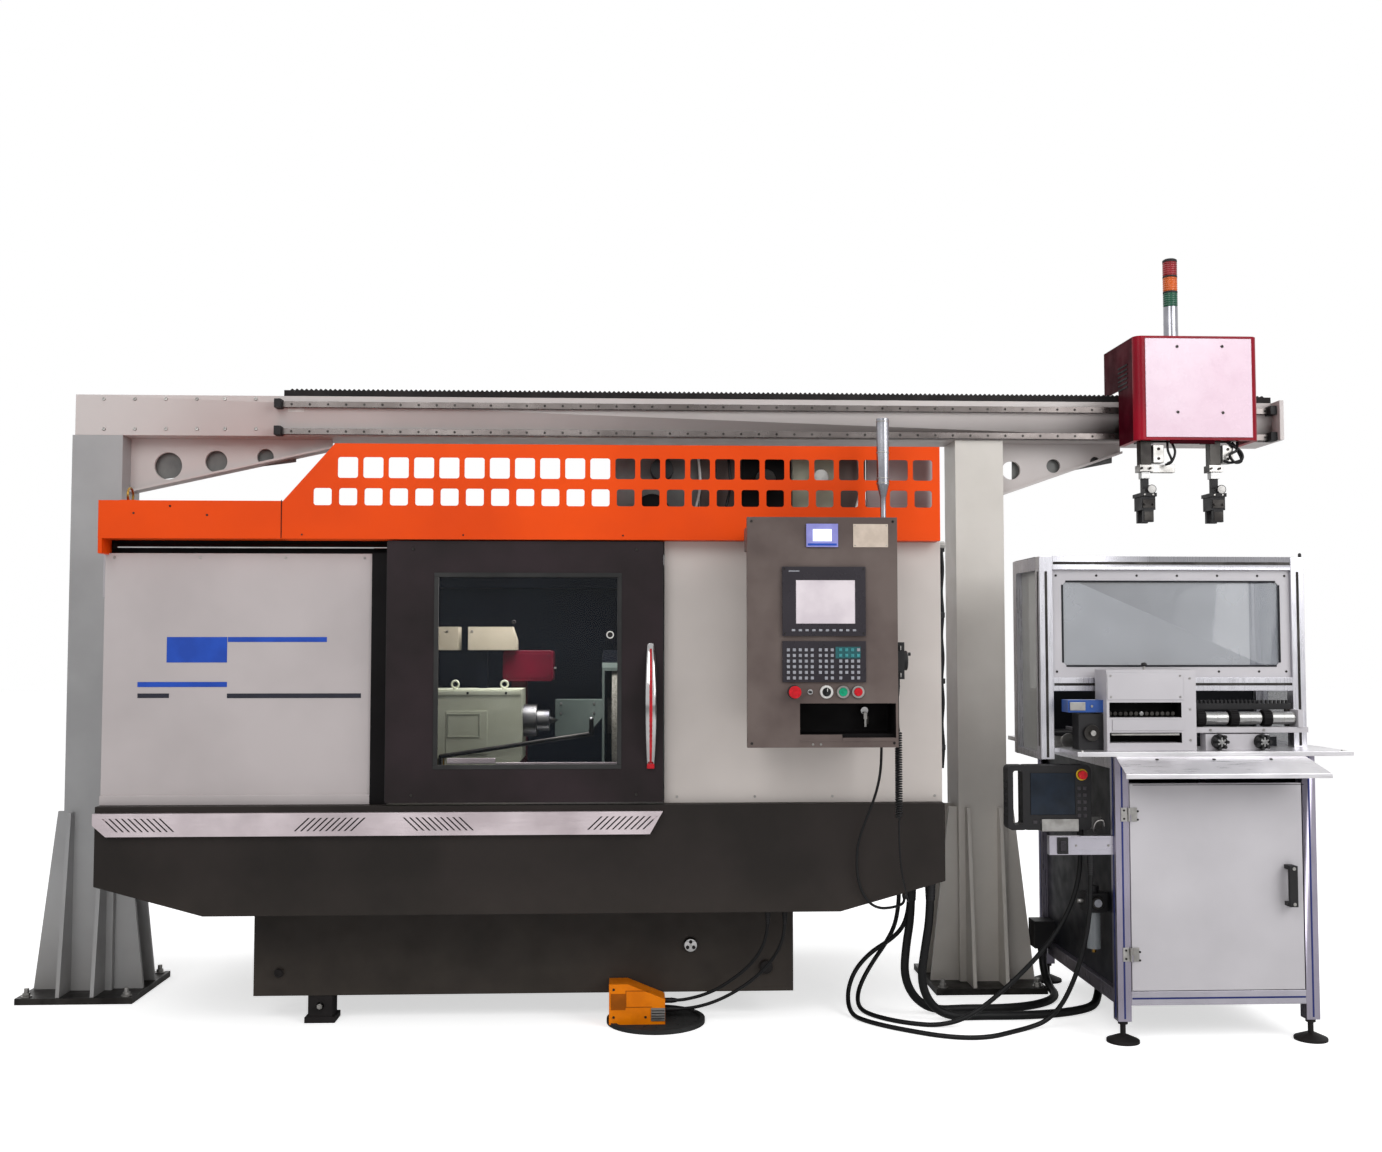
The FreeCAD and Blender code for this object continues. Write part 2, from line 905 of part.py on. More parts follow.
def make_bed():
    """Cast base, hollow from below, and the bed with its ways on top of it."""
    base = box(base_left, base_left + base_length, base_front, base_front + base_depth, foot_height,
               base_top)
    hollow = box(base_left + base_wall, base_left + base_length - base_wall, base_front + base_wall,
                 base_front + base_depth - base_wall, foot_height - cut_over, base_top - base_wall)
    bed = box(bed_left, bed_right, bed_front, bed_back, base_top, bed_top)
    ways = box(table_left - table_travel, bed_right, way_front, way_back, bed_top, way_top)
    bridge = box(bridge_left, bridge_right, bridge_front, bed_back, bed_top, bridge_top)
    fittings = []
    for x, z, radius in ((plug_x, plug_z, plug_radius), (lock_x, lock_z, lock_radius),
                         (base_knob_x, base_knob_z, base_knob_radius)):
        fittings.append(rod(x, base_front - base_fitting_reach, z, radius, base_fitting_reach, AY))
    keep("machine_bed", base.cut(hollow).fuse(fittings), bed, ways, bridge)


def make_feet():
    """Levelling blocks under the base and the threaded feet under the bench."""
    solids = []
    rows = ((front_block_shares, base_front + block_front_inset),
            (back_block_shares, base_front + base_depth - block_front_inset - block_depth))
    for shares, y in rows:
        for share in shares:
            x = base_left + share * base_length
            pad = box(x - block_pad_width / 2, x + block_pad_width / 2, y - block_pad_margin,
                      y + block_depth + block_pad_margin, 0, block_pad_height)
            block = box(x - block_width / 2, x + block_width / 2, y, y + block_depth,
                        block_pad_height, foot_height)
            hole_z = (block_pad_height + foot_height) / 2
            hole = rod(x, y - cut_over, hole_z, block_hole_radius, block_depth + 2 * cut_over, AY)
            solids.append(pad.fuse(block.cut(hole)))
    for x in (bench_left + profile / 2, bench_left + bench_width - profile / 2):
        for y in (bench_front + profile / 2, bench_front + bench_depth - profile / 2):
            disc = rod(x, y, 0, foot_disc_radius, foot_disc_edge, AZ)
            cone = Part.makeCone(foot_disc_radius, foot_nut_radius, foot_disc_height - foot_disc_edge,
                                 vec(x, y, foot_disc_edge), AZ)
            stem = rod(x, y, foot_disc_height, foot_stem_radius, bench_foot_height - foot_disc_height, AZ)
            nut = rod(x, y, bench_foot_height - foot_nut_height, foot_nut_radius, foot_nut_height, AZ)
            solids.append(disc.fuse([cone, stem, nut]))
    keep("levelling_feet", *solids)


def pan_outline(wall):
    """Front outline of the splash pan, moved in by a wall."""
    low = base_top + wall
    side = pan_top - pan_side_height + wall / 2
    top = pan_top + (cut_over if wall else 0)
    left = machine_left + wall
    right = machine_right - wall
    return [(left, top), (left, side), (machine_left + pan_slant_run, low),
            (machine_right - pan_slant_run, low), (right, side), (right, top)]


def pan_under(x):
    """Return the height of the splash pan's underside at a place across."""
    slant = (pan_top - pan_side_height - base_top) / pan_slant_run
    return base_top + max(0, x - machine_right + pan_slant_run) * slant


def make_pan():
    """Splash pan round the bed, with a rim that the enclosure stands on."""
    pan = prism_xz(pan_outline(0), 0, machine_depth)
    inner = prism_xz(pan_outline(pan_sheet), pan_sheet, machine_depth - pan_sheet)
    well = box(bed_left - seat_gap, bed_right + seat_gap, bed_front - seat_gap, bed_back + seat_gap,
               base_top - cut_over, base_top + pan_sheet + cut_over)
    rim = box(machine_left, machine_right, 0, machine_depth, pan_top - pan_sheet, pan_top)
    rim_hole = box(machine_left + pan_rim_width, machine_right - pan_rim_width, pan_rim_width + bend_rim,
                   machine_depth - pan_deck_depth, pan_top - pan_sheet - cut_over, pan_top + cut_over)
    glands = []
    for (x, y), diameter in ((trunk_front_exit, trunk_diameter), (trunk_rear_exit, trunk_diameter),
                             (feeder_exit, loop_diameter), (pendant_exit, loop_diameter),
                             (panel_exit, panel_cable_diameter), (curly_exit, curl_wire),
                             (pedal_near_exit, pedal_cable_diameter),
                             (pedal_far_exit, pedal_cable_diameter)):
        gland = rod(x, y, pan_under(x) - gland_length, diameter / 2 + gland_wall, 2 * gland_length, AZ)
        glands.append(gland.cut(pan))
    keep("splash_pan", pan.cut(inner).fuse(rim.cut(rim_hole)).cut(well), *glands)


def make_track_cover():
    """Folded cover strip below the door, with four groups of slanted vents."""
    top = pan_top - cover_drop
    low = top - cover_height
    outline = [(machine_left, top), (cover_right, top), (cover_right - cover_end_run, low),
               (machine_left + cover_end_run, low), (machine_left, low + cover_height / 2)]
    body = prism_xz(outline, -cover_depth, 0)
    pocket = box(machine_left + cover_end_run + sheet, cover_right - cover_end_run - sheet,
                 sheet - cover_depth, cut_over, low + sheet, top - sheet)
    body = body.cut(pocket)
    slots = []
    vent_low = (top + low) / 2 - vent_height / 2
    for index, start in enumerate(vent_starts):
        lean = vent_lean if index % 2 else -vent_lean
        for count in range(vent_count):
            x = machine_left + start + count * vent_pitch + (0 if index % 2 else vent_lean)
            slots.append(prism_xz([(x, vent_low), (x + vent_width, vent_low),
                                   (x + vent_width + lean, vent_low + vent_height),
                                   (x + lean, vent_low + vent_height)],
                                  -cover_depth - cut_over, sheet - cover_depth + cut_over / 2))
    keep("door_track_cover", body.cut(Part.makeCompound(slots)))


def make_panels():
    """Grey sheet panels: front left, front right, both sides and the back."""
    left = box(machine_left, left_panel_right, left_panel_y, left_panel_y + sheet, pan_top, left_panel_top)
    band = box(machine_left, left_panel_right, left_panel_y - left_panel_band_step, left_panel_y,
               pan_top, pan_top + left_panel_band)
    right = box(right_panel_left, machine_right, right_panel_y, right_panel_y + sheet, pan_top, panel_top)
    jamb = box(right_panel_left, right_panel_left + sheet, right_panel_y,
               right_panel_y + right_panel_return - sheet - seat_gap, pan_top, header_bottom - seat_gap)
    side_back = left_panel_y + side_panel_depth - sheet
    side_left = box(machine_left, machine_left + sheet, left_panel_y + sheet, side_back, pan_top,
                    header_bottom - seat_gap)
    side_right = box(machine_right - sheet, machine_right, right_panel_y + sheet, side_back, pan_top,
                     header_bottom - seat_gap)
    back = box(machine_left, machine_right, side_back, side_back + sheet, pan_top, back_panel_top)
    keep("enclosure_panels", left.fuse(band), right.fuse(jamb), side_left, side_right, back)


header_bottom = panel_top - header_height


def make_portal():
    """Door post, header beam across the machine and the door's round rail."""
    post = box(left_panel_right, left_panel_right + post_width, right_panel_y, right_panel_y + post_depth,
               pan_top, header_bottom)
    header = box(machine_left + sheet, machine_right - sheet, header_y, header_y + header_depth,
                 header_bottom, panel_top)
    rail_left = machine_left + rail_left_inset
    rail_right = door_left + door_width
    rail = rod(rail_left, rail_y, rail_z, rail_radius, rail_right - rail_left, AX)
    bearers = []
    for x in (rail_left, rail_right - rail_bearer):
        bearers.append(box(x, x + rail_bearer, rail_y - rail_bearer / 2, header_y,
                           rail_z - rail_bearer / 2, rail_z + rail_bearer / 2))
    keep("door_portal", post, header, rail.fuse(bearers))


def make_canopy():
    """Perforated orange fascia, open behind, and the orange roof box at its left."""
    right = machine_right - canopy_right_inset
    shoulder = panel_top + canopy_shoulder
    face = [(canopy_left, panel_top), (right, panel_top), (right, canopy_top),
            (canopy_left + canopy_slope_run, canopy_top), (canopy_left, shoulder)]
    plate = prism_xz(face, canopy_y, canopy_y + sheet)
    top_rim = box(canopy_left + canopy_slope_run, right, canopy_y, canopy_y + canopy_rim,
                  canopy_top - sheet, canopy_top)
    low_rim = box(canopy_left, right, canopy_y, header_y + header_depth, panel_top, panel_top + sheet)
    end = box(right - sheet, right, canopy_y, canopy_y + canopy_rim, panel_top, canopy_top)
    holes = []
    for index in range(hole_top_count):
        x = canopy_left + hole_top_start + index * hole_pitch
        holes.append(round_slot_xz(x, x + hole_top_width, hole_top_z, hole_top_z + hole_top_height,
                                   hole_corner, canopy_y - cut_over, canopy_y + sheet + cut_over))
    for index in range(hole_low_count):
        x = canopy_left + hole_low_start + index * hole_pitch
        holes.append(round_slot_xz(x, x + hole_low_width, hole_low_z, hole_low_z + hole_low_height,
                                   hole_corner, canopy_y - cut_over, canopy_y + sheet + cut_over))
    canopy = plate.cut(Part.makeCompound(holes)).fuse([top_rim, low_rim, end])
    roof = box(machine_left, canopy_left, canopy_y, canopy_y + roof_box_depth, panel_top, roof_box_top)
    inside = box(machine_left + sheet, canopy_left - sheet, header_y + header_depth,
                 canopy_y + roof_box_depth - sheet, panel_top - cut_over, roof_box_top - sheet)
    front_hollow = box(machine_left + sheet, canopy_left - sheet, canopy_y + sheet,
                       header_y + header_depth, panel_top + sheet, roof_box_top - sheet)
    roof = roof.cut(inside).cut(front_hollow)
    eye = Part.makeTorus(loop_radius, loop_wire, vec(loop_x, loop_y, roof_box_top + loop_radius), AX)
    cap = box(loop_x - loop_radius, loop_x + loop_radius, loop_y - loop_radius, loop_y + loop_radius,
              roof_box_top, roof_box_top + 2 * loop_wire)
    keep("orange_canopy", canopy, roof, cap.fuse(eye.cut(box(
        loop_x - loop_radius, loop_x + loop_radius, loop_y - 2 * loop_radius, loop_y + 2 * loop_radius,
        roof_box_top - loop_radius, roof_box_top))))


# Sliding door

window_left = door_left + window_left_inset
window_right = door_right - window_right_inset


def make_door():
    """Door frame with its hangers, window glass with latch ring, and the bow handle."""
    back = door_front + door_thick
    frame = box(door_left, door_right, door_front, back, door_bottom, door_top)
    window = box(window_left, window_right, door_front - cut_over, back + cut_over, window_bottom, window_top)
    pocket = box(door_left + door_rim, door_right - door_rim, door_front + sheet, back + cut_over,
                 door_bottom + door_rim, door_top - door_rim)
    rim = box(window_left - door_rim, window_right + door_rim, door_front + sheet, back,
              window_bottom - door_rim, window_top + door_rim)
    frame = frame.cut(pocket).fuse(rim).cut(window)
    hangers = []
    for x in (door_left + hanger_inset, door_right - hanger_inset - hanger_width):
        block = box(x, x + hanger_width, back, rail_y + hanger_behind, rail_z - hanger_below,
                    rail_z + hanger_above)
        bore = rod(x - cut_over, rail_y, rail_z, rail_radius + rail_clear,
                   hanger_width + 2 * cut_over, AX)
        hangers.append(block.cut(bore))
    keep("door_frame", frame.fuse(hangers))
    glass_y = door_front + glass_inset
    keep("door_glass", box(window_left, window_right, glass_y, glass_y + glass_thick,
                           window_bottom, window_top))
    middle = handle_bottom + handle_length / 2
    top = handle_bottom + handle_length
    outer = Part.Arc(vec(0, door_front, handle_bottom), vec(0, door_front - handle_reach, middle),
                     vec(0, door_front, top)).toShape()
    inner = Part.Arc(vec(0, door_front, top - handle_thick * 2),
                     vec(0, door_front - handle_reach + handle_thick, middle),
                     vec(0, door_front, handle_bottom + handle_thick * 2)).toShape()
    high = Part.LineSegment(vec(0, door_front, top), vec(0, door_front, top - handle_thick * 2)).toShape()
    low = Part.LineSegment(vec(0, door_front, handle_bottom + handle_thick * 2),
                           vec(0, door_front, handle_bottom)).toShape()
    x = door_right - handle_inset
    bow = Part.Face(Part.Wire([outer, high, inner, low])).extrude(vec(handle_width, 0, 0))
    bow.translate(vec(x - handle_width / 2, 0, 0))
    half = handle_width / 2
    end = handle_end_width / 2
    side = []
    side.append(Part.Arc(vec(x - end, 0, handle_bottom), vec(x - half, 0, middle),
                         vec(x - end, 0, top)).toShape())
    side.append(Part.LineSegment(vec(x - end, 0, top), vec(x + end, 0, top)).toShape())
    side.append(Part.Arc(vec(x + end, 0, top), vec(x + half, 0, middle),
                         vec(x + end, 0, handle_bottom)).toShape())
    side.append(Part.LineSegment(vec(x + end, 0, handle_bottom), vec(x - end, 0, handle_bottom)).toShape())
    lens = Part.Face(Part.Wire(side)).extrude(vec(0, door_front - 2 * handle_reach, 0))
    ring_y = glass_y - latch_wire
    latch = Part.makeTorus(latch_radius, latch_wire, vec(window_right - latch_inset, ring_y, latch_z), AY)
    keep("door_handle", bow.common(lens), latch)


# Table, work head, tailstock

table_front = way_front
table_back = way_back
table_bottom = way_top + slide_gap
table_top = table_bottom + table_height


def make_table():
    """Table with a slot along its top, and the coolant pipe that stands on it."""
    table = box(table_left, table_left + table_length, table_front, table_back, table_bottom, table_top)
    slot = box(table_left - cut_over, table_left + table_length + cut_over,
               table_front + table_t_slot, table_front + 2 * table_t_slot,
               table_top - table_t_slot, table_top + cut_over)
    foot = vec(pipe_foot_x, table_front + pipe_radius * 1.5, table_top)
    knee = vec(pipe_foot_x, table_front + pipe_radius * 1.5, table_top + pipe_foot_rise)
    elbow = vec(pipe_end_x, table_front + pipe_radius * 1.5, pipe_end_z)
    tip = vec(pipe_end_x, table_front + pipe_radius * 1.5, pipe_end_z + pipe_tip_rise)
    end = vec(pipe_end_x, table_front + pipe_tip_reach, pipe_end_z + pipe_tip_rise)
    parts = []
    for start, stop in ((foot, knee), (knee, elbow), (elbow, tip), (tip, end)):
        way = stop.sub(start)
        parts.append(Part.makeCylinder(pipe_radius, way.Length, start, way))
        parts.append(Part.makeSphere(pipe_radius, stop))
    keep("work_table", table.cut(slot), parts[0].fuse(parts[1:]))


def make_head():
    """Work head with a closed service recess, lifting eyes and the cream guard boxes above."""
    chamfer = head_chamfer
    outline = [(head_left, table_top), (head_right - chamfer, table_top),
               (head_right, table_top + chamfer), (head_right, head_top), (head_left, head_top)]
    body = prism_xz(outline, head_front, head_front + head_depth)
    recess_x = head_right - 2.2 * head_recess
    recess_z = table_top + head_recess * 0.85
    recess = box(recess_x, recess_x + head_recess, head_front - cut_over, head_front + head_recess_depth,
                 recess_z, recess_z + head_recess * 0.8)
    bore = rod(head_right - nose_length, work_axis_y, work_axis_z, plate_radius + quill_fit,
               nose_length + cut_over, AX)
    solids = [body.cut(recess).cut(bore)]
    for inset in eye_insets:
        x = head_right - inset
        y = head_front + eye_radius + eye_wire
        foot = rod(x, y, head_top, eye_wire * 1.6, eye_wire, AZ)
        eye = Part.makeTorus(eye_radius - eye_wire, eye_wire / 1.6, vec(x, y, head_top + eye_radius), AY)
        solids.append(foot.fuse(eye))
    split_end = guard_box_split + guard_box_gap
    back = guard_box_front + guard_box_depth
    top = guard_box_bottom + guard_box_height
    solids.append(box(guard_box_left, guard_box_split, guard_box_front, back, guard_box_bottom, top))
    cut = guard_box_height / 2.5
    solids.append(prism_xz([(split_end, guard_box_bottom), (guard_box_right, guard_box_bottom),
                            (guard_box_right, guard_box_bottom + cut), (guard_box_right - cut / 2, top),
                            (split_end, top)], guard_box_front, back))
    for x in (guard_box_left + guard_post, split_end + guard_post):
        solids.append(box(x, x + guard_post, back - 2 * guard_post, back - guard_post,
                          head_top, guard_box_bottom))
    y0 = work_axis_y - tail_depth / 2
    tail = box(tail_left, tail_left + tail_length, y0, y0 + tail_depth, table_top, tail_top)
    bore = rod(tail_left - cut_over, work_axis_y, work_axis_z, quill_radius + quill_fit,
               tail_length + 2 * cut_over, AX)
    keep("work_head_and_tailstock", *solids, tail.cut(bore))


def make_spindle():
    """Work spindle: shaft, driving plate and centre point."""
    shaft = rod(head_right - nose_length, work_axis_y, work_axis_z, plate_radius, nose_length, AX)
    x = head_right + slide_gap
    neck = rod(head_right, work_axis_y, work_axis_z, plate_radius, slide_gap, AX)
    nose = rod(x, work_axis_y, work_axis_z, nose_radius, nose_length, AX)
    plate = rod(x + nose_length, work_axis_y, work_axis_z, plate_radius, plate_length, AX)
    tip = Part.makeCone(centre_radius, 0, centre_length,
                        vec(x + nose_length + plate_length, work_axis_y, work_axis_z), AX)
    catch = rod(x + nose_length, work_axis_y + plate_radius, work_axis_z, centre_radius / 2,
                plate_length, AX)
    keep("work_spindle", shaft.fuse([neck, nose, plate, tip, catch]))


def make_quill():
    """Tailstock's sliding quill with its centre point."""
    point = Part.makeCone(0, centre_radius, tail_centre_length, vec(quill_nose, work_axis_y, work_axis_z), AX)
    start = quill_nose + tail_centre_length
    quill = rod(start, work_axis_y, work_axis_z, quill_radius, tail_left + tail_length - start, AX)
    keep("tailstock_quill", quill.fuse(point))


def make_gauge():
    """Measuring head on its post behind the work spindle."""
    y1 = table_back
    y0 = y1 - gauge_post_width
    post = box(gauge_post_x, gauge_post_x + gauge_post_width, y0, y1, table_top, gauge_bottom)
    y0 = y1 - gauge_depth
    head = box(gauge_left, gauge_left + gauge_width, y0, y1, gauge_bottom, gauge_bottom + gauge_height)
    upright = [edge for edge in head.Edges if abs(edge.tangentAt(edge.FirstParameter).y) > 0.9]
    keep("measuring_head", post, head.makeFillet(gauge_corner, upright))


# Wheel head

cabinet_back = left_panel_y + side_panel_depth - sheet - seat_gap
wheel_head_back = cabinet_back - cabinet_depth - wheel_head_clear
wheel_head_depth = wheel_head_back - wheel_head_front
wheel_motor_y = wheel_head_back - wheel_motor_inset
guard_left = wheel_left - wheel_guard_gap
guard_right = guard_left + wheel_guard_width
wheel_head_left = guard_right
wheel_head_right = wheel_head_left + wheel_head_length


def make_wheel_head():
    """Wheel head on its slide, with the motor, the belt cover and the wheel guard."""
    bottom = bridge_top + slide_gap
    back = wheel_head_back
    body = box(wheel_head_left, wheel_head_right, wheel_head_front, back, bottom, wheel_head_top)
    bore = rod(wheel_head_left - cut_over, wheel_axis_y, work_axis_z, wheel_spindle_radius + wheel_spindle_fit,
               wheel_head_length + 2 * cut_over, AX)
    motor = rod(wheel_head_left + wheel_belt_cover / 2, wheel_motor_y, wheel_motor_z, wheel_motor_radius,
                wheel_head_length - wheel_belt_cover / 2, AX)
    saddle = box(wheel_head_left + wheel_belt_cover, wheel_head_right - wheel_belt_cover,
                 wheel_motor_y - wheel_motor_radius, wheel_motor_y + wheel_motor_radius,
                 wheel_head_top, wheel_motor_z)
    hull_low = wheel_head_top - wheel_head_depth / 2
    belt = box(wheel_head_right, wheel_head_right + wheel_belt_cover, wheel_head_front,
               back, hull_low, wheel_motor_z + wheel_motor_radius)
    belt_hollow = rod(wheel_head_right - cut_over, wheel_axis_y, work_axis_z,
                      wheel_hub_radius + cut_over, wheel_belt_cover, AX)
    guard = rod(guard_left, wheel_axis_y, work_axis_z, wheel_guard_radius, wheel_guard_width, AX)
    hollow = rod(guard_left + wheel_guard_sheet, wheel_axis_y, work_axis_z,
                 wheel_guard_radius - wheel_guard_sheet, wheel_guard_width - 2 * wheel_guard_sheet, AX)
    mouth = box(guard_left - cut_over, guard_right + cut_over, wheel_axis_y - 2 * wheel_guard_radius,
                wheel_guard_front, work_axis_z - wheel_guard_radius, work_axis_z + wheel_guard_radius)
    shaft_hole = rod(guard_right - wheel_guard_width / 2, wheel_axis_y, work_axis_z,
                     wheel_spindle_radius + cut_over, wheel_guard_width, AX)
    below = box(guard_left - cut_over, guard_right + cut_over, wheel_axis_y - 2 * wheel_guard_radius,
                wheel_axis_y + 2 * wheel_guard_radius, work_axis_z - 2 * wheel_guard_radius,
                table_top + wheel_guard_rise)
    guard = guard.cut(hollow).cut(mouth).cut(shaft_hole).cut(below)
    nose = prism_xz([(guard_left - wheel_nose_length, wheel_nose_bottom),
                     (guard_left - wheel_nose_length / 3, wheel_nose_bottom),
                     (guard_left, wheel_nose_bottom + wheel_nose_height / 2),
                     (guard_left, wheel_nose_bottom + wheel_nose_height),
                     (guard_left - wheel_nose_length, wheel_nose_bottom + wheel_nose_height)],
                    wheel_guard_front, wheel_guard_front + wheel_nose_depth)
    housing = body.cut(bore).fuse([motor.fuse(saddle), belt.cut(belt_hollow)])
    keep("wheel_head", housing, guard, nose)


def make_wheel():
    """Grinding wheel with its flanges, spindle and pulley."""
    wheel = rod(wheel_left, wheel_axis_y, work_axis_z, wheel_radius, wheel_width, AX)
    flange = rod(wheel_left - wheel_guard_gap / 2, wheel_axis_y, work_axis_z, wheel_hub_radius,
                 wheel_width + wheel_guard_gap, AX)
    start = wheel_left + wheel_width
    end = wheel_head_right + wheel_belt_cover / 2
    shaft = rod(start, wheel_axis_y, work_axis_z, wheel_spindle_radius, end - start, AX)
    pulley = rod(wheel_head_right + slide_gap, wheel_axis_y, work_axis_z, wheel_hub_radius,
                 wheel_belt_cover / 2, AX)
    keep("grinding_wheel", wheel.fuse([flange, shaft, pulley]))


def make_cabinet():
    """Electrical cabinet on the pan's rear deck."""
    y1 = cabinet_back
    y0 = y1 - cabinet_depth
    outer = box(cabinet_left, cabinet_left + cabinet_width, y0, y1, pan_top, pan_top + cabinet_height)
    inner = box(cabinet_left + sheet, cabinet_left + cabinet_width - sheet, y0 + sheet, y1 - sheet,
                pan_top + sheet, pan_top + cabinet_height - sheet)
    keep("electrical_cabinet", outer.cut(inner))


# Control box

control_right = control_left + control_width
control_top = control_bottom + control_height


def button_hole(x):
    """Return the cut for a push button's plunger."""
    return rod(x, control_front - cut_over, button_z, bezel_radius - bezel_wall,
               sheet + 2 * cut_over, AY)


def make_control_box():
    """Control box: folded front with a tool recess, rear box, bracket and hinge block."""
    plate_back = control_front + control_plate_depth
    front = box(control_left, control_right, control_front, plate_back, control_bottom, control_top)
    pocket = box(control_left + sheet, control_right - sheet, control_front + sheet, plate_back,
                 control_bottom + sheet, control_top - sheet)
    rear_left = control_left + control_box_left_inset
    rear_low = control_bottom + control_box_bottom_rise
    rear_top = control_top - control_box_top_drop
    rear = box(rear_left, control_right, plate_back, control_box_back, rear_low, rear_top)
    hollow = box(rear_left + sheet, control_right - sheet, plate_back + sheet, control_box_back - sheet,
                 rear_low + sheet, rear_top - sheet)
    x0 = control_left + recess_left_inset
    x1 = control_right - recess_right_inset
    z0 = control_bottom + recess_bottom_rise
    z1 = z0 + recess_height
    mouth = box(x0, x1, control_front - cut_over, control_front + recess_depth, z0 + recess_step_height, z1)
    step = box(x1 - recess_step_width, x1, control_front - cut_over, control_front + control_plate_depth,
               z0, z1)
    liner = box(x0 - sheet, x1 + sheet, control_front + sheet, control_front + recess_depth + sheet,
                z0 - sheet, z1 + sheet)
    shell = front.cut(pocket).fuse(rear.cut(hollow)).fuse(liner).cut(mouth).cut(step)
    for inset in (estop_inset, selector_inset, start_inset, stop_inset):
        shell = shell.cut(button_hole(control_left + inset))
    bx = control_left + bracket_left_inset
    bz = control_bottom + bracket_bottom_rise
    bracket = box(bx, bx + bracket_width, control_box_back, right_panel_y, bz, bz + bracket_height)
    hz = control_top - hinge_block_height
    hinge = box(rear_left - hinge_block_width, rear_left, plate_back, plate_back + hinge_block_depth,
                hz - control_box_top_drop, control_top - control_box_top_drop)
    gland = rod(panel_start[0], panel_start[1], rear_low - gland_length,
                panel_cable_diameter / 2 + gland_wall, gland_length, AZ)
    keep("control_box", shell.fuse(gland), bracket, hinge)


def bezel(x):
    """Return the ring round a push button."""
    return ring(x, control_front - bezel_thick, button_z, bezel_radius, bezel_radius - bezel_wall,
                bezel_thick, AY)


def make_control_units():
    """Display, keyboard, touch panel, bare plate, button rings and the handwheel's housing."""
    x0 = control_left + display_left_inset
    x1 = x0 + display_width
    z1 = display_bottom + display_height
    display = box(x0, x1, control_front - display_thick, control_front, display_bottom, z1)
    sx = x0 + screen_side_inset
    sz = display_bottom + screen_bottom_inset
    screen = box(sx, sx + screen_width, control_front - display_thick - cut_over,
                 control_front - display_thick + screen_depth, sz, sz + screen_height)
    keyboard = box(x0, x1, control_front - keyboard_thick, control_front, keyboard_bottom,
                   keyboard_bottom + keyboard_height)
    tx = control_left + touch_left_inset
    touch = box(tx, tx + touch_width, control_front - keyboard_thick, control_front, touch_bottom,
                touch_bottom + touch_height)
    px = control_left + plate_left_inset
    plate = box(px, px + plate_width, control_front - plate_thick, control_front, touch_bottom,
                touch_bottom + touch_height)
    solids = [display.cut(screen), keyboard, touch, plate]
    for inset in (estop_inset, selector_inset, start_inset, stop_inset):
        solids.append(bezel(control_left + inset))
    blank = rod(control_left + blank_inset, control_front - bezel_thick, button_z,
                bezel_radius / 2, bezel_thick, AY)
    solids.append(blank)
    pulse = box(control_right, control_right + pulse_box_width, pulse_box_front,
                pulse_box_front + pulse_box_depth, pulse_box_bottom, pulse_box_bottom + pulse_box_height)
    gland = rod(curly_start[0], curly_start[1], pulse_box_bottom - gland_length,
                curl_wire / 2 + gland_wall, gland_length, AZ)
    solids.append(pulse.fuse(gland))
    keep("control_units", *solids)


def push_button(inset):
    """Return a push button that fills its ring with a small gap."""
    radius = bezel_radius - bezel_wall - button_gap
    return rod(control_left + inset, control_front - button_height, button_z, radius,
               button_height + button_back, AY)


def make_buttons():
    """Emergency stop, start and stop buttons, and the selector knob."""
    x = control_left + estop_inset
    radius = bezel_radius - bezel_wall - button_gap
    stem_front = control_front - bezel_thick - mushroom_stand
    stem = rod(x, stem_front, button_z, radius, bezel_thick + mushroom_stand + button_back, AY)
    cap = rod(x, stem_front - mushroom_thick, button_z, mushroom_radius, mushroom_thick, AY)
    keep("estop_button", stem.fuse(cap))
    keep("start_button", push_button(start_inset))
    keep("stop_button", push_button(stop_inset))
    base = push_button(selector_inset)
    x = control_left + selector_inset
    grip_front = control_front - button_height - selector_grip_height
    grip = box(x - selector_grip_width / 2, x + selector_grip_width / 2, grip_front,
               control_front - button_height, button_z - radius * 0.9, button_z + radius * 0.9)
    keep("selector_knob", base.fuse(grip))


def make_lamp():
    """Slim signal lamp on the control box: foot, neck, taper and tube."""
    x = control_left + lamp_x_inset
    z = control_top - control_box_top_drop
    foot = Part.makeCone(lamp_foot_radius, lamp_neck_radius, lamp_foot_height, vec(x, lamp_y, z), AZ)
    z = z + lamp_foot_height
    neck = rod(x, lamp_y, z, lamp_neck_radius, lamp_neck_height, AZ)
    z = z + lamp_neck_height
    taper = Part.makeCone(lamp_neck_radius, lamp_radius, lamp_taper, vec(x, lamp_y, z), AZ)
    z = z + lamp_taper
    tube = rod(x, lamp_y, z, lamp_radius, lamp_length, AZ)
    keep("signal_lamp", foot.fuse([neck, taper, tube]))


def make_dial():
    """Dial of the electronic handwheel with its crank pin."""
    x = control_right + pulse_box_width + slide_gap
    y = pulse_box_front + pulse_box_depth / 2
    z = pulse_box_bottom + pulse_box_height / 2
    dial = rod(x, y, z, pulse_dial_radius, pulse_dial_thick, AX)
    crank = rod(x + pulse_dial_thick, y, z + pulse_dial_radius * 0.65, pulse_crank_radius,
                pulse_crank_length, AX)
    keep("handwheel_dial", dial.fuse(crank))


# Gantry

column_foot_top = column_foot_thick
column_top = beam_bottom - column_cap_thick
column_back = column_front + column_size


def rib_front(x, direction, y_face, y_end):
    """Return a tapered rib in the side view, at the front or the back of a column."""
    points = [(y_face, column_foot_top), (y_end, column_foot_top),
              (y_face + direction * gusset_top_width, gusset_height), (y_face, gusset_height)]
    return prism_yz(points, x, x + gusset_thick)


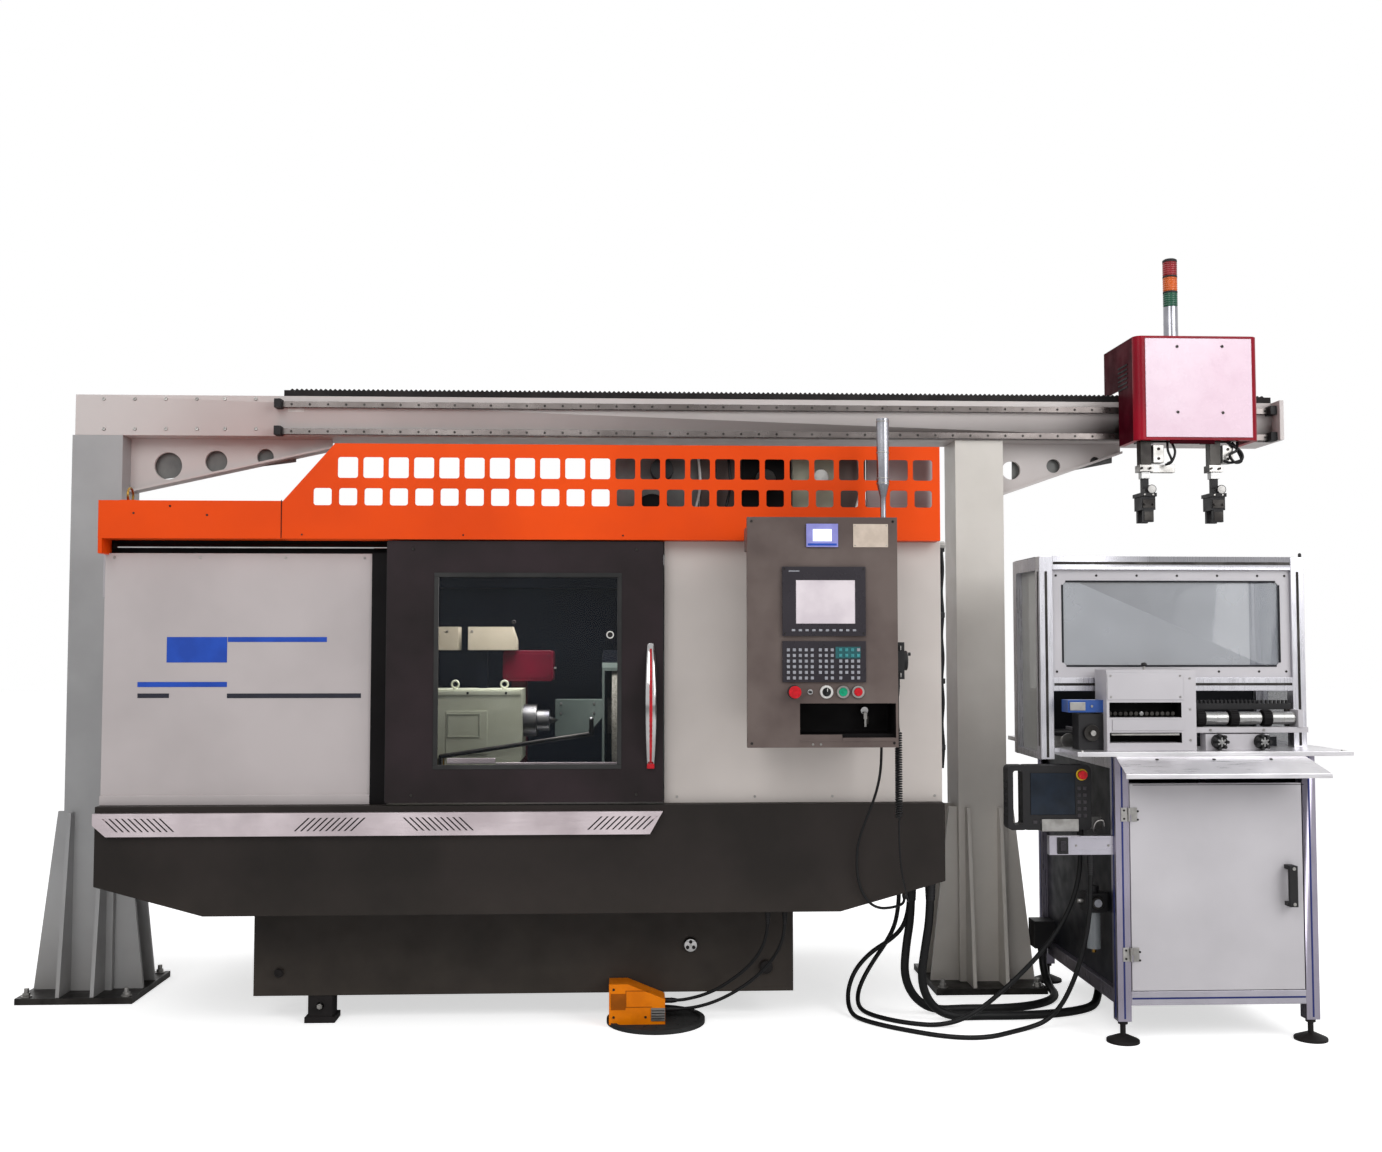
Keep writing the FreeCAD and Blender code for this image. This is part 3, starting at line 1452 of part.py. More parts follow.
def rib_side(y, direction, x_face, x_end):
    """Return a tapered rib in the front view, at the left or the right of a column."""
    points = [(x_face, column_foot_top), (x_end, column_foot_top),
              (x_face + direction * gusset_top_width, gusset_height), (x_face, gusset_height)]
    return prism_xz(points, y, y + gusset_thick)


def column(x):
    """Return a column's foot plate, tube, cap and eight ribs as one welded solid."""
    side = (column_foot_plate - column_size) / 2
    foot = box(x - side, x + column_size + side, column_front - side, column_back + side,
               0, column_foot_thick)
    centre_x = x + column_size / 2
    centre_y = column_front + column_size / 2
    for dx in (-anchor_spacing / 2, anchor_spacing / 2):
        for dy in (-anchor_spacing / 2, anchor_spacing / 2):
            foot = foot.cut(rod(centre_x + dx, centre_y + dy, -cut_over, anchor_hole_radius,
                                column_foot_thick + 2 * cut_over, AZ))
    tube = box(x, x + column_size, column_front, column_back, column_foot_top, column_top)
    bore = box(x + column_wall, x + column_size - column_wall, column_front + column_wall,
               column_back - column_wall, column_foot_top, column_top)
    cap = box(x, x + column_size, column_front, column_back, column_top, beam_bottom)
    reach = side - gusset_plate_inset
    ribs = []
    for rx in (x + gusset_inset, x + column_size - gusset_inset - gusset_thick):
        ribs.append(rib_front(rx, -1, column_front, column_front - reach))
        ribs.append(rib_front(rx, 1, column_back, column_back + reach))
    for ry in (column_front + gusset_inset, column_back - gusset_inset - gusset_thick):
        ribs.append(rib_side(ry, -1, x, x - reach))
        ribs.append(rib_side(ry, 1, x + column_size, x + column_size + reach))
    return tube.cut(bore).fuse([foot, cap] + ribs)


def make_columns():
    """Both welded columns."""
    keep("gantry_columns", column(left_column_x), column(right_column_x))


def wedge(x_root, x_tip, shares, radii):
    """Return a tapered bracket with three round holes and a flange along its lower edge."""
    y0 = column_front + column_size / 2 - wedge_thick / 2
    low_root = beam_bottom - wedge_drop
    low_tip = beam_bottom - wedge_tip_drop
    plate = prism_xz([(x_root, beam_bottom), (x_tip, beam_bottom), (x_tip, low_tip), (x_root, low_root)],
                     y0, y0 + wedge_thick)
    for share, radius, drop in zip(shares, radii, wedge_hole_drop_shares):
        x = x_root + share * (x_tip - x_root)
        plate = plate.cut(rod(x, y0 - cut_over, beam_bottom - drop * wedge_drop, radius,
                              wedge_thick + 2 * cut_over, AY))
    middle = y0 + wedge_thick / 2
    flange = prism_xz([(x_root, low_root), (x_tip, low_tip), (x_tip, low_tip - beam_wall),
                       (x_root, low_root - beam_wall)], middle - wedge_flange / 2, middle + wedge_flange / 2)
    return plate.fuse(flange)


beam_top = beam_bottom + beam_height
beam_right = beam_left + beam_length


def make_beam():
    """Box beam with closed ends, tapered brackets below and an end bracket at the right."""
    y1 = column_front + beam_depth
    beam = box(beam_left, beam_right, column_front, y1, beam_bottom, beam_top)
    hollow = box(beam_left + beam_wall, beam_right - beam_wall, column_front + beam_wall, y1 - beam_wall,
                 beam_bottom + beam_wall, beam_top - beam_wall)
    left = wedge(left_column_x + column_size, left_column_x + column_size + wedge_left_length,
                 wedge_hole_shares, wedge_hole_radii)
    right = wedge(right_column_x + column_size, right_column_x + column_size + wedge_right_length,
                  wedge_right_hole_shares, wedge_right_hole_radii)
    end = box(beam_right - end_bracket_length, beam_right, column_front - end_bracket_stand,
              column_front, beam_bottom, beam_top)
    keep("gantry_beam", beam.cut(hollow), left, right, end)


def make_rails():
    """Two guide rails with their end stops, and the rack on the beam."""
    end = beam_right - rail_end_inset
    solids = []
    for z in (rail_low_z, rail_top_z):
        solids.append(box(rail_start, end, column_front - rail_stand, column_front,
                          z - rail_profile / 2, z + rail_profile / 2))
        for x in (rail_start - stop_length, end - stop_length):
            stop = box(x, x + stop_length, column_front - stop_stand - rail_stand, column_front,
                       z - stop_height / 2, z + stop_height / 2)
            if x > rail_start:
                stop = stop.cut(solids[-1] if len(solids) % 2 else solids[-2])
            solids.append(stop)
    solids.append(box(rail_start, end, column_front, column_front + rack_depth, beam_top,
                      beam_top + rack_height))
    keep("beam_rails", *solids)


# Loader head

carriage_right = carriage_left + carriage_width
carriage_back = column_front - carriage_plate_gap
carriage_front = carriage_back - carriage_plate_thick
arm_xs = (arm_left_x, arm_left_x + arm_spacing)
guide_inner = arm_guide_size - 2 * arm_guide_wall


def square_tube(x, y, size, wall, z0, z1):
    """Return an upright square tube."""
    half = size / 2
    tube = box(x - half, x + half, y - half, y + half, z0, z1)
    bore = box(x - half + wall, x + half - wall, y - half + wall, y + half - wall, z0 - cut_over,
               z1 + cut_over)
    return tube.cut(bore)


def make_carriage():
    """Carriage plate with bearings, motor bracket and motor, and the guides of both arms."""
    plate = box(carriage_left, carriage_right, carriage_front, carriage_back, carriage_plate_bottom,
                carriage_plate_top)
    solids = []
    half = bearing_height / 2
    groove_half = rail_profile / 2 + bearing_gap
    for z in (rail_low_z, rail_top_z):
        for x in (carriage_left + bearing_length / 2, carriage_right - 1.5 * bearing_length):
            low = z - half if z > rail_low_z else carriage_plate_bottom
            block = box(x, x + bearing_length, carriage_back, column_front - bearing_gap, low, z + half)
            groove = box(x - cut_over, x + bearing_length + cut_over,
                         column_front - rail_stand - bearing_gap, column_front, z - groove_half, z + groove_half)
            solids.append(block.cut(groove))
    guides = []
    for x in arm_xs:
        tube = square_tube(x, work_axis_y, arm_guide_size, arm_guide_wall, arm_guide_bottom, arm_guide_top)
        collar = square_tube(x, work_axis_y, arm_collar_size, (arm_collar_size - guide_inner) / 2,
                             arm_guide_bottom - arm_collar_height, arm_guide_bottom)
        half = arm_guide_size / 2
        bracket = box(x - half, x + half, work_axis_y + half, carriage_front,
                      carriage_plate_bottom, carriage_plate_top - arm_bracket_depth)
        guides.append(tube.fuse([collar, bracket]))
    middle = (carriage_left + carriage_right) / 2
    shelf = box(middle - motor_width, middle + motor_width, carriage_back,
                column_front + beam_depth / 2, beam_top + hood_notch_gap + sheet,
                beam_top + hood_notch_gap + 4 * sheet)
    motor = box(middle - motor_width / 2, middle + motor_width / 2, carriage_back + sheet,
                carriage_back + sheet + motor_width, beam_top + hood_notch_gap + 4 * sheet,
                beam_top + hood_notch_gap + motor_height)
    valve_z = arm_guide_bottom - arm_collar_height
    valve_x = arm_left_x + arm_collar_size / 2
    valve = box(valve_x, valve_x + valve_length, work_axis_y - valve_depth / 2,
                work_axis_y + valve_depth / 2, valve_z - valve_height / 2 + arm_collar_height / 2,
                valve_z + valve_height / 2 + arm_collar_height / 2)
    keep("carriage", plate.fuse(solids), *guides, shelf.fuse(motor), valve)


def make_head_cover():
    """Crimson sheet cover of the loader head, with its pale face plate."""
    hood_top = hood_bottom + hood_height
    right = hood_left + hood_width
    back = hood_front + hood_depth
    outer = box(hood_left, right, hood_front, back, hood_bottom, hood_top)
    front_edges = []
    for edge in outer.Edges:
        low = edge.BoundBox
        if low.ZLength > hood_height / 2 and low.YMax < hood_front + sheet:
            front_edges.append(edge)
    outer = outer.makeFillet(hood_corner, front_edges)
    inner = box(hood_left + sheet, right - sheet, hood_front + sheet, back + cut_over,
                hood_bottom + sheet, hood_top - sheet)
    inner_edges = []
    for edge in inner.Edges:
        low = edge.BoundBox
        if low.ZLength > hood_height / 2 and low.YMax < hood_front + 2 * sheet:
            inner_edges.append(edge)
    inner = inner.makeFillet(hood_corner - sheet, inner_edges)
    mouth = box(hood_left + bend_rim, right - bend_rim, hood_front + bend_rim, back + cut_over,
                hood_bottom - cut_over, hood_bottom + 2 * sheet)
    notch = box(hood_left - cut_over, right + cut_over, hood_notch_front, back + cut_over,
                hood_bottom - cut_over, beam_top + hood_notch_gap)
    seat = box(carriage_left - slide_gap, carriage_right + slide_gap, carriage_front - sheet,
               carriage_back, hood_bottom - cut_over, carriage_plate_top)
    shell = outer.cut(inner).cut(mouth).cut(notch).cut(seat)
    tabs = []
    for x0, x1 in ((hood_left + sheet, carriage_left), (carriage_right, right - sheet)):
        tabs.append(box(x0, x1, carriage_front, carriage_back, beam_top, beam_top + 4 * bend_rim))
    face = box(hood_left + hood_face_inset, right - hood_face_inset + bend_rim / 2,
               hood_front - hood_face_thick, hood_front, hood_bottom + hood_face_rim,
               hood_top - hood_face_rim)
    keep("head_cover", shell.fuse(tabs), face)


def make_tower_light():
    """Signal tower: foot, grey base, three coloured bands and a cap."""
    z = hood_bottom + hood_height
    parts = [rod(light_x, light_y, z, light_foot_radius, light_foot_height, AZ)]
    z = z + light_foot_height
    parts.append(rod(light_x, light_y, z, light_radius, light_base_height, AZ))
    z = z + light_base_height
    for _ in range(light_band_count):
        parts.append(rod(light_x, light_y, z, light_radius, light_band_height, AZ))
        z = z + light_band_height
        parts.append(rod(light_x, light_y, z, light_radius - light_band_gap / 4, light_band_gap, AZ))
        z = z + light_band_gap
    parts.append(Part.makeCone(light_radius, light_radius - light_cap_height, light_cap_height,
                               vec(light_x, light_y, z), AZ))
    keep("tower_light", parts[0].fuse(parts[1:]))


def make_arm(side, x):
    """One telescopic arm: outer tube, inner bar with its gripper, and the moving jaw."""
    outer_size = guide_inner - 2 * arm_clear
    keep("arm_" + side + "_outer", square_tube(x, work_axis_y, outer_size, arm_outer_wall,
                                               arm_outer_bottom, arm_guide_top))
    inner_half = outer_size / 2 - arm_outer_wall - arm_clear
    bar = box(x - inner_half, x + inner_half, work_axis_y - inner_half, work_axis_y + inner_half,
              arm_inner_bottom, arm_inner_top)
    half = gripper_width / 2
    deep = gripper_depth / 2
    flange = box(x - half, x + half, work_axis_y - deep, work_axis_y + deep,
                 arm_inner_bottom - gripper_flange_height, arm_inner_bottom)
    body_top = arm_inner_bottom - gripper_flange_height
    body_low = body_top - gripper_height
    body = box(x - half * 0.85, x + half * 0.85, work_axis_y - deep * 0.9, work_axis_y + deep * 0.9,
               body_low, body_top)
    disc = rod(x + half * 0.4, work_axis_y - deep, arm_inner_bottom + disc_radius - disc_sink,
               disc_radius, disc_thick, AY)
    post = box(x - inner_half, x + half * 0.4 + disc_radius / 2, work_axis_y - deep + disc_thick,
               work_axis_y - inner_half, arm_inner_bottom, arm_inner_bottom + disc_radius)
    jaw_half = jaw_width / 2
    fixed = box(x - jaw_half, x + jaw_half, work_axis_y + jaw_open, work_axis_y + jaw_open + jaw_thick,
                body_low - jaw_height, body_low)
    keep("arm_" + side + "_inner", bar.fuse([flange, body, disc, post, fixed]))
    jaw = box(x - jaw_half, x + jaw_half, work_axis_y - jaw_open - jaw_thick, work_axis_y - jaw_open,
              body_low - jaw_height, body_low - slide_gap)
    keep("arm_" + side + "_jaw", jaw)


# Feeder bench

bench_right = bench_left + bench_width
bench_back = bench_front + bench_depth
bench_top = table_plate_top - table_plate_thick
hinge_axis_x = bench_left + profile
hinge_axis_y = bench_front - hinge_radius


def bench_bars():
    """Return the bench's profile bars and the fixed halves of the door's hinges."""
    bars = []
    for x in (bench_left, bench_right - profile):
        for y in (bench_front, bench_back - profile):
            bars.append(box(x, x + profile, y, y + profile, bench_foot_height, bench_top))
    for z in (bench_rail_z, bench_top - profile):
        for y in (bench_front, bench_back - profile):
            bars.append(box(bench_left + profile, bench_right - profile, y, y + profile, z, z + profile))
        for x in (bench_left, bench_right - profile):
            bars.append(box(x, x + profile, bench_front + profile, bench_back - profile, z, z + profile))
    for z in (hinge_z_low, hinge_z_high):
        leaf = box(hinge_axis_x - hinge_leaf, hinge_axis_x - hinge_radius, bench_front - hinge_leaf_thick,
                   bench_front, z - hinge_length / 2, z + hinge_length / 2)
        web = box(hinge_axis_x - hinge_radius, hinge_axis_x, bench_front - hinge_radius, bench_front,
                  z - hinge_length / 2, z - slide_gap)
        knuckle = rod(hinge_axis_x, hinge_axis_y, z - hinge_length / 2, hinge_radius,
                      hinge_length / 2 - slide_gap, AZ)
        pin = rod(hinge_axis_x, hinge_axis_y, z - hinge_length / 2, hinge_pin_radius, hinge_length, AZ)
        bars.append(leaf.fuse([web, knuckle, pin]))
    return bars


def make_bench_panels():
    """Dark side panels, the back and the floor of the bench."""
    x0 = bench_left + profile / 2
    x1 = bench_right - profile / 2
    y0 = bench_front + profile
    y1 = bench_back - profile
    z0 = bench_rail_z + profile
    z1 = bench_top - profile
    half = sheet / 2
    left = box(x0 - half, x0 + half, y0, y1, z0, z1)
    right = box(x1 - half, x1 + half, y0, y1, z0, z1)
    y = bench_back - profile / 2
    back = box(bench_left + profile, bench_right - profile, y - half, y + half, z0, z1)
    floor = box(bench_left + profile, bench_right - profile, y0, y1, z0 - profile / 2 - half,
                z0 - profile / 2 + half)
    gland_z = z0 - profile / 2 - half - gland_length
    gland = rod(trunk_rear_end[0], trunk_rear_end[1], gland_z, trunk_diameter / 2 + gland_wall,
                gland_length, AZ)
    keep("bench_panels", left, right, back, floor.fuse(gland))


def make_bench_door():
    """Bench door with its pull and the moving halves of its hinges."""
    x0 = bench_left + profile + bench_door_gap
    x1 = bench_right - profile - bench_door_gap
    leaf = box(x0, x1, bench_front, bench_front + bench_door_thick, bench_door_bottom, bench_door_top)
    px = x1 - pull_inset
    posts = []
    for z in (pull_bottom, pull_bottom + pull_height - pull_thick):
        posts.append(box(px - pull_width / 2, px + pull_width / 2, bench_front - pull_reach, bench_front,
                         z, z + pull_thick))
    grip = box(px - pull_width / 2, px + pull_width / 2, bench_front - pull_reach,
               bench_front - pull_reach + pull_thick, pull_bottom, pull_bottom + pull_height)
    solids = [leaf, grip.fuse(posts)]
    for z in (hinge_z_low, hinge_z_high):
        plate = box(hinge_axis_x + hinge_radius, hinge_axis_x + hinge_leaf, bench_front - hinge_leaf_thick,
                    bench_front, z - hinge_length / 2, z + hinge_length / 2)
        web = box(hinge_axis_x, hinge_axis_x + hinge_radius, bench_front - hinge_radius,
                  bench_front - hinge_leaf_thick + sheet / 2, z + slide_gap, z + hinge_length / 2)
        knuckle = ring(hinge_axis_x, hinge_axis_y, z + slide_gap, hinge_radius,
                       hinge_pin_radius + hinge_pin_fit, hinge_length / 2 - slide_gap, AZ)
        bore = rod(hinge_axis_x, hinge_axis_y, z - hinge_length, hinge_pin_radius + hinge_pin_fit,
                   2 * hinge_length, AZ)
        solids.append(plate.fuse([web.cut(bore), knuckle]))
    keep("bench_door", *solids)


def make_bench_table():
    """Table plate and the sloped drip apron below its front edge."""
    plate = box(table_plate_left, table_plate_right, table_plate_front, table_plate_back, bench_top,
                table_plate_top)
    y0 = table_plate_front
    y1 = table_plate_front - apron_reach
    z1 = bench_top
    z0 = bench_top - apron_drop
    x1 = apron_left + apron_width
    section = [(y0, z1), (y0, z1 - apron_sheet), (y1 + apron_sheet, z0), (y1 + apron_sheet, z0 - apron_lip),
               (y1, z0 - apron_lip), (y1, z0 + apron_sheet)]
    flap = prism_yz(section, apron_left, x1 + apron_end_run)
    trim = prism_xy([(x1, y0 + cut_over), (x1 + apron_end_run, y1), (x1 + apron_end_run, y1 - cut_over),
                     (x1 + 2 * apron_end_run, y1 - cut_over), (x1 + 2 * apron_end_run, y0 + cut_over)],
                    z0 - 2 * apron_lip, z1 + cut_over)
    seat = box(apron_left, x1, y0, y0 + bend_rim, bench_top - apron_sheet, bench_top)
    keep("bench_table", plate, flap.cut(trim).fuse(seat))


hood_frame_right = hood_frame_left + hood_frame_width
hood_frame_back = hood_frame_front + hood_frame_depth


def make_bench_frame():
    """Profile frame of the bench, and of the hood: posts, top ring and the rail below the window."""
    bars = bench_bars()
    y_rows = (hood_frame_front, hood_frame_back - profile)
    for y in y_rows:
        bars.append(box(hood_frame_left, hood_frame_left + profile, y, y + profile,
                        hood_left_post_bottom, hood_frame_top))
        bars.append(box(hood_frame_right - profile, hood_frame_right, y, y + profile,
                        table_plate_top, hood_frame_top))
        bars.append(box(hood_frame_left + profile, hood_frame_right - profile, y, y + profile,
                        hood_frame_top - profile, hood_frame_top))
    bars.append(box(hood_frame_left + profile, hood_frame_right - profile, hood_frame_front,
                    hood_frame_front + profile, hood_mid_rail_top - profile, hood_mid_rail_top))
    for x in (hood_frame_left, hood_frame_right - profile):
        bars.append(box(x, x + profile, hood_frame_front + profile, hood_frame_back - profile,
                        hood_frame_top - profile, hood_frame_top))
    bars.append(box(hood_frame_left, hood_frame_left + profile, hood_frame_front + profile,
                    hood_frame_back - profile, hood_left_post_bottom, hood_left_post_bottom + profile / 2))
    tie_top = table_plate_top
    bars.append(box(hood_frame_left + profile, table_plate_left, hood_frame_front,
                    hood_frame_back, bench_top, tie_top))
    keep("bench_frame", *bars)


def make_hood_panes():
    """White window frame at the front, clear panes at the front and both sides, dark back plate."""
    x0 = hood_frame_left + profile
    x1 = hood_frame_right - profile
    z0 = hood_mid_rail_top
    z1 = hood_frame_top - profile
    y = hood_frame_front + pane_setback
    frame = box(x0, x1, y, y + face_plate_thick, z0, z1)
    opening = round_slot_xz(x0 + pane_window_inset, x1 - pane_window_inset, z0 + pane_window_rise,
                            z1 - pane_window_rise, pane_corner, y - cut_over, y + face_plate_thick + cut_over)
    pane = box(x0, x1, y + face_plate_thick, y + face_plate_thick + pane_thick, z0, z1)
    solids = [frame.cut(opening), pane]
    side_y0 = hood_frame_front + profile
    side_y1 = hood_frame_back - profile
    half = pane_thick / 2
    x = hood_frame_left + profile / 2
    solids.append(box(x - half, x + half, side_y0, side_y1, hood_left_post_bottom + profile / 2, z1))
    x = hood_frame_right - profile / 2
    solids.append(box(x - half, x + half, side_y0, side_y1, table_plate_top, z1))
    y = hood_frame_back - profile / 2
    solids.append(box(x0, x1, y - half, y + half, table_plate_top, table_plate_top + back_plate_height))
    keep("hood_panes", *solids)


magazine_right = magazine_left + magazine_width
magazine_back = magazine_front + magazine_depth


def make_magazine():
    """Part magazine: housing with two slots, end plate, top knob, blue bracket and drive block."""
    x0 = magazine_left
    x1 = magazine_right - magazine_end_plate
    z0 = table_plate_top
    z1 = z0 + magazine_height
    body = box(x0, x1, magazine_front, magazine_back, z0, z1)
    for rise, height in ((slot_low_rise, slot_low_height), (slot_high_rise, slot_high_height)):
        body = body.cut(box(x0 + slot_side_inset, x1 - slot_side_inset, magazine_front - cut_over,
                            magazine_front + slot_depth, z0 + rise, z0 + rise + height))
    end = box(x1, magazine_right, magazine_front, magazine_back, z0, z1)
    bore = rod(x1 - cut_over, roller_y, roller_z, roller_shaft_radius + roller_shaft_fit,
               magazine_end_plate + 2 * cut_over, AX)
    solids = [body, end.cut(bore)]
    blue_z = z0 + blue_block_rise
    solids.append(box(x0 - blue_block_length, x0, magazine_front + blue_block_depth / 2,
                      magazine_front + 1.5 * blue_block_depth, blue_z, blue_z + blue_block_height))
    solids.append(box(x0 - drive_block_length, x0, magazine_front + blue_block_depth / 2,
                      magazine_front + 1.5 * blue_block_depth, z0, z0 + drive_block_height))
    bar_end = hood_frame_right - profile
    bearing_x = magazine_right + roller_first + roller_count * roller_pitch + slide_gap
    half = roller_bearing_size / 2
    bar_top = roller_bar_z + roller_bar_height
    bearing = box(bearing_x, bearing_x + roller_bearing_width, roller_y - half, roller_y + half,
                  bar_top, roller_z + half)
    bearing = bearing.cut(rod(bearing_x - cut_over, roller_y, roller_z,
                              roller_shaft_radius + roller_shaft_fit,
                              roller_bearing_width + 2 * cut_over, AX))
    bar = box(magazine_right, bar_end, roller_y - roller_bar_depth / 2, roller_y + roller_bar_depth / 2,
              roller_bar_z, bar_top)
    block = box(knob_block_left, knob_block_left + knob_block_width, roller_y - knob_block_depth / 2,
                roller_y + knob_block_depth / 2, table_plate_top, table_plate_top + knob_block_height)
    for x in knob_xs:
        block = block.cut(rod(x, roller_y - knob_block_depth / 2 - cut_over, knob_z,
                              knob_stem_radius + knob_fit, knob_stem_length + cut_over, AY))
    tie = box(knob_block_left, knob_block_left + knob_block_width, roller_y, roller_y + knob_block_depth / 2,
              table_plate_top + knob_block_height, roller_bar_z)
    solids.append(bearing.fuse([bar, block, tie]))
    keep("magazine", *solids)


def make_rollers():
    """Feed roller shaft: three steel rollers with dark collars on one shaft."""
    x0 = magazine_right - magazine_end_plate
    end = magazine_right + roller_first + roller_count * roller_pitch
    parts = [rod(x0, roller_y, roller_z, roller_shaft_radius, end + roller_bearing_width - x0, AX)]
    for index in range(roller_count):
        x = magazine_right + roller_first + index * roller_pitch
        parts.append(rod(x, roller_y, roller_z, collar_radius, collar_length, AX))
        parts.append(rod(x + collar_length, roller_y, roller_z, roller_radius, roller_length, AX))
    keep("feed_rollers", parts[0].fuse(parts[1:]))


def make_knobs():
    """Two adjusting knobs on their stems."""
    front = roller_y - knob_block_depth / 2
    for name, x in zip(("knob_left", "knob_right"), knob_xs):
        disc = rod(x, front - slide_gap - knob_thick, knob_z, knob_radius, knob_thick, AY)
        stem = rod(x, front - slide_gap, knob_z, knob_stem_radius, knob_stem_length, AY)
        keep(name, disc.fuse(stem))


def make_pendant():
    """Teach pendant with its grip, and its emergency stop."""
    x0 = pendant_left
    x1 = x0 + pendant_width
    z1 = pendant_bottom + pendant_height
    y1 = pendant_front + pendant_thick
    body = round_slot_xz(x0, x1, pendant_bottom, z1, pendant_corner, pendant_front, y1)
    inset = pendant_screen_inset
    screen = box(x0 + inset, x1 - inset - pendant_stop_radius * 2, pendant_front - cut_over,
                 pendant_front + sheet, pendant_bottom + 2 * inset, z1 - inset)
    gx = x0 - pendant_grip_width
    grip = round_slot_xz(gx, x0 + pendant_corner, pendant_bottom, z1, pendant_corner,
                         pendant_front, y1)
    hole = round_slot_xz(gx + pendant_grip_wall, x0, pendant_bottom + pendant_grip_wall,
                         z1 - pendant_grip_wall, pendant_corner / 2, pendant_front - cut_over, y1 + cut_over)
    sx = x1 - pendant_stop_x_inset - pendant_stop_radius
    sz = z1 - pendant_stop_drop
    well = rod(sx, pendant_front - cut_over, sz, pendant_stop_radius * 0.7 + button_gap,
               cut_over + pendant_stop_travel + 2 * button_back, AY)
    gland = rod(pendant_end[0], pendant_end[1], pendant_bottom - gland_length,
                loop_diameter / 2 + gland_wall, gland_length, AZ)
    keep("teach_pendant", body.cut(screen).cut(well).fuse([grip.cut(hole), gland]))
    stem = rod(sx, pendant_front - pendant_stop_travel - slide_gap, sz, pendant_stop_radius * 0.7,
               pendant_stop_travel + button_back, AY)
    cap = rod(sx, pendant_front - pendant_stop_travel - slide_gap - pendant_stop_thick, sz,
              pendant_stop_radius, pendant_stop_thick, AY)
    keep("pendant_stop", stem.fuse(cap))


def make_side_fittings():
    """Pendant holder, switch bar, air filter and cable box on the bench's left side."""
    post_x = bench_left
    y0 = pendant_front - holder_lip - holder_gap
    y1 = pendant_front + pendant_thick + holder_gap + holder_lip
    hx1 = pendant_left + pendant_width - holder_right_inset
    hx0 = hx1 - holder_width
    low = pendant_bottom - holder_lip
    tray = box(hx0, hx1, y0, y1, low, low + holder_height)
    room = box(hx0 - cut_over, hx1 + cut_over, pendant_front - holder_gap,
               pendant_front + pendant_thick + holder_gap, pendant_bottom, low + holder_height + cut_over)
    arm = box(hx1 - holder_lip, post_x, y1 - holder_lip, y1, low, low + holder_height)
    bar = box(post_x - switch_bar_length, post_x, bench_front + profile - switch_bar_depth,
              bench_front + profile, switch_bar_bottom, switch_bar_bottom + switch_bar_height)
    rx = post_x - switch_bar_length + switch_rocker_width
    rz = switch_bar_bottom + (switch_bar_height - switch_rocker_height) / 2
    rocker = box(rx, rx + switch_rocker_width, bench_front + profile - switch_bar_depth - sheet,
                 bench_front + profile - switch_bar_depth, rz, rz + switch_rocker_height)
    gland = rod(feeder_end[0], feeder_end[1], switch_bar_bottom - gland_length,
                loop_diameter / 2 + gland_wall, gland_length, AZ)
    panel_x = bench_left + profile / 2 - sheet / 2
    fx = panel_x - filter_neck - filter_head_width / 2
    bowl = rod(fx, filter_y, filter_bottom, filter_bowl_radius, filter_bowl_height, AZ)
    head_z = filter_bottom + filter_bowl_height
    head = box(fx - filter_head_width / 2, fx + filter_head_width / 2, filter_y - filter_head_width / 2,
               filter_y + filter_head_width / 2, head_z, head_z + filter_head_height)
    cap = rod(fx, filter_y, head_z + filter_head_height, filter_bowl_radius * 0.8, filter_bowl_radius, AZ)
    neck = box(fx + filter_head_width / 2, panel_x, filter_y - filter_neck, filter_y + filter_neck,
               head_z, head_z + filter_head_height)
    socket = box(bench_left - socket_depth, bench_left, bench_back - profile - socket_length,
                 bench_back - profile, socket_bottom, socket_bottom + socket_height)
    tie = box(bench_left, panel_x, bench_back - profile - socket_length, bench_back - profile,
              bench_rail_z + profile, socket_bottom + socket_height)
    keep("side_fittings", tray.cut(room).fuse(arm), bar.fuse([rocker, gland]), bowl.fuse([head, cap, neck]),
         socket.fuse(tie))


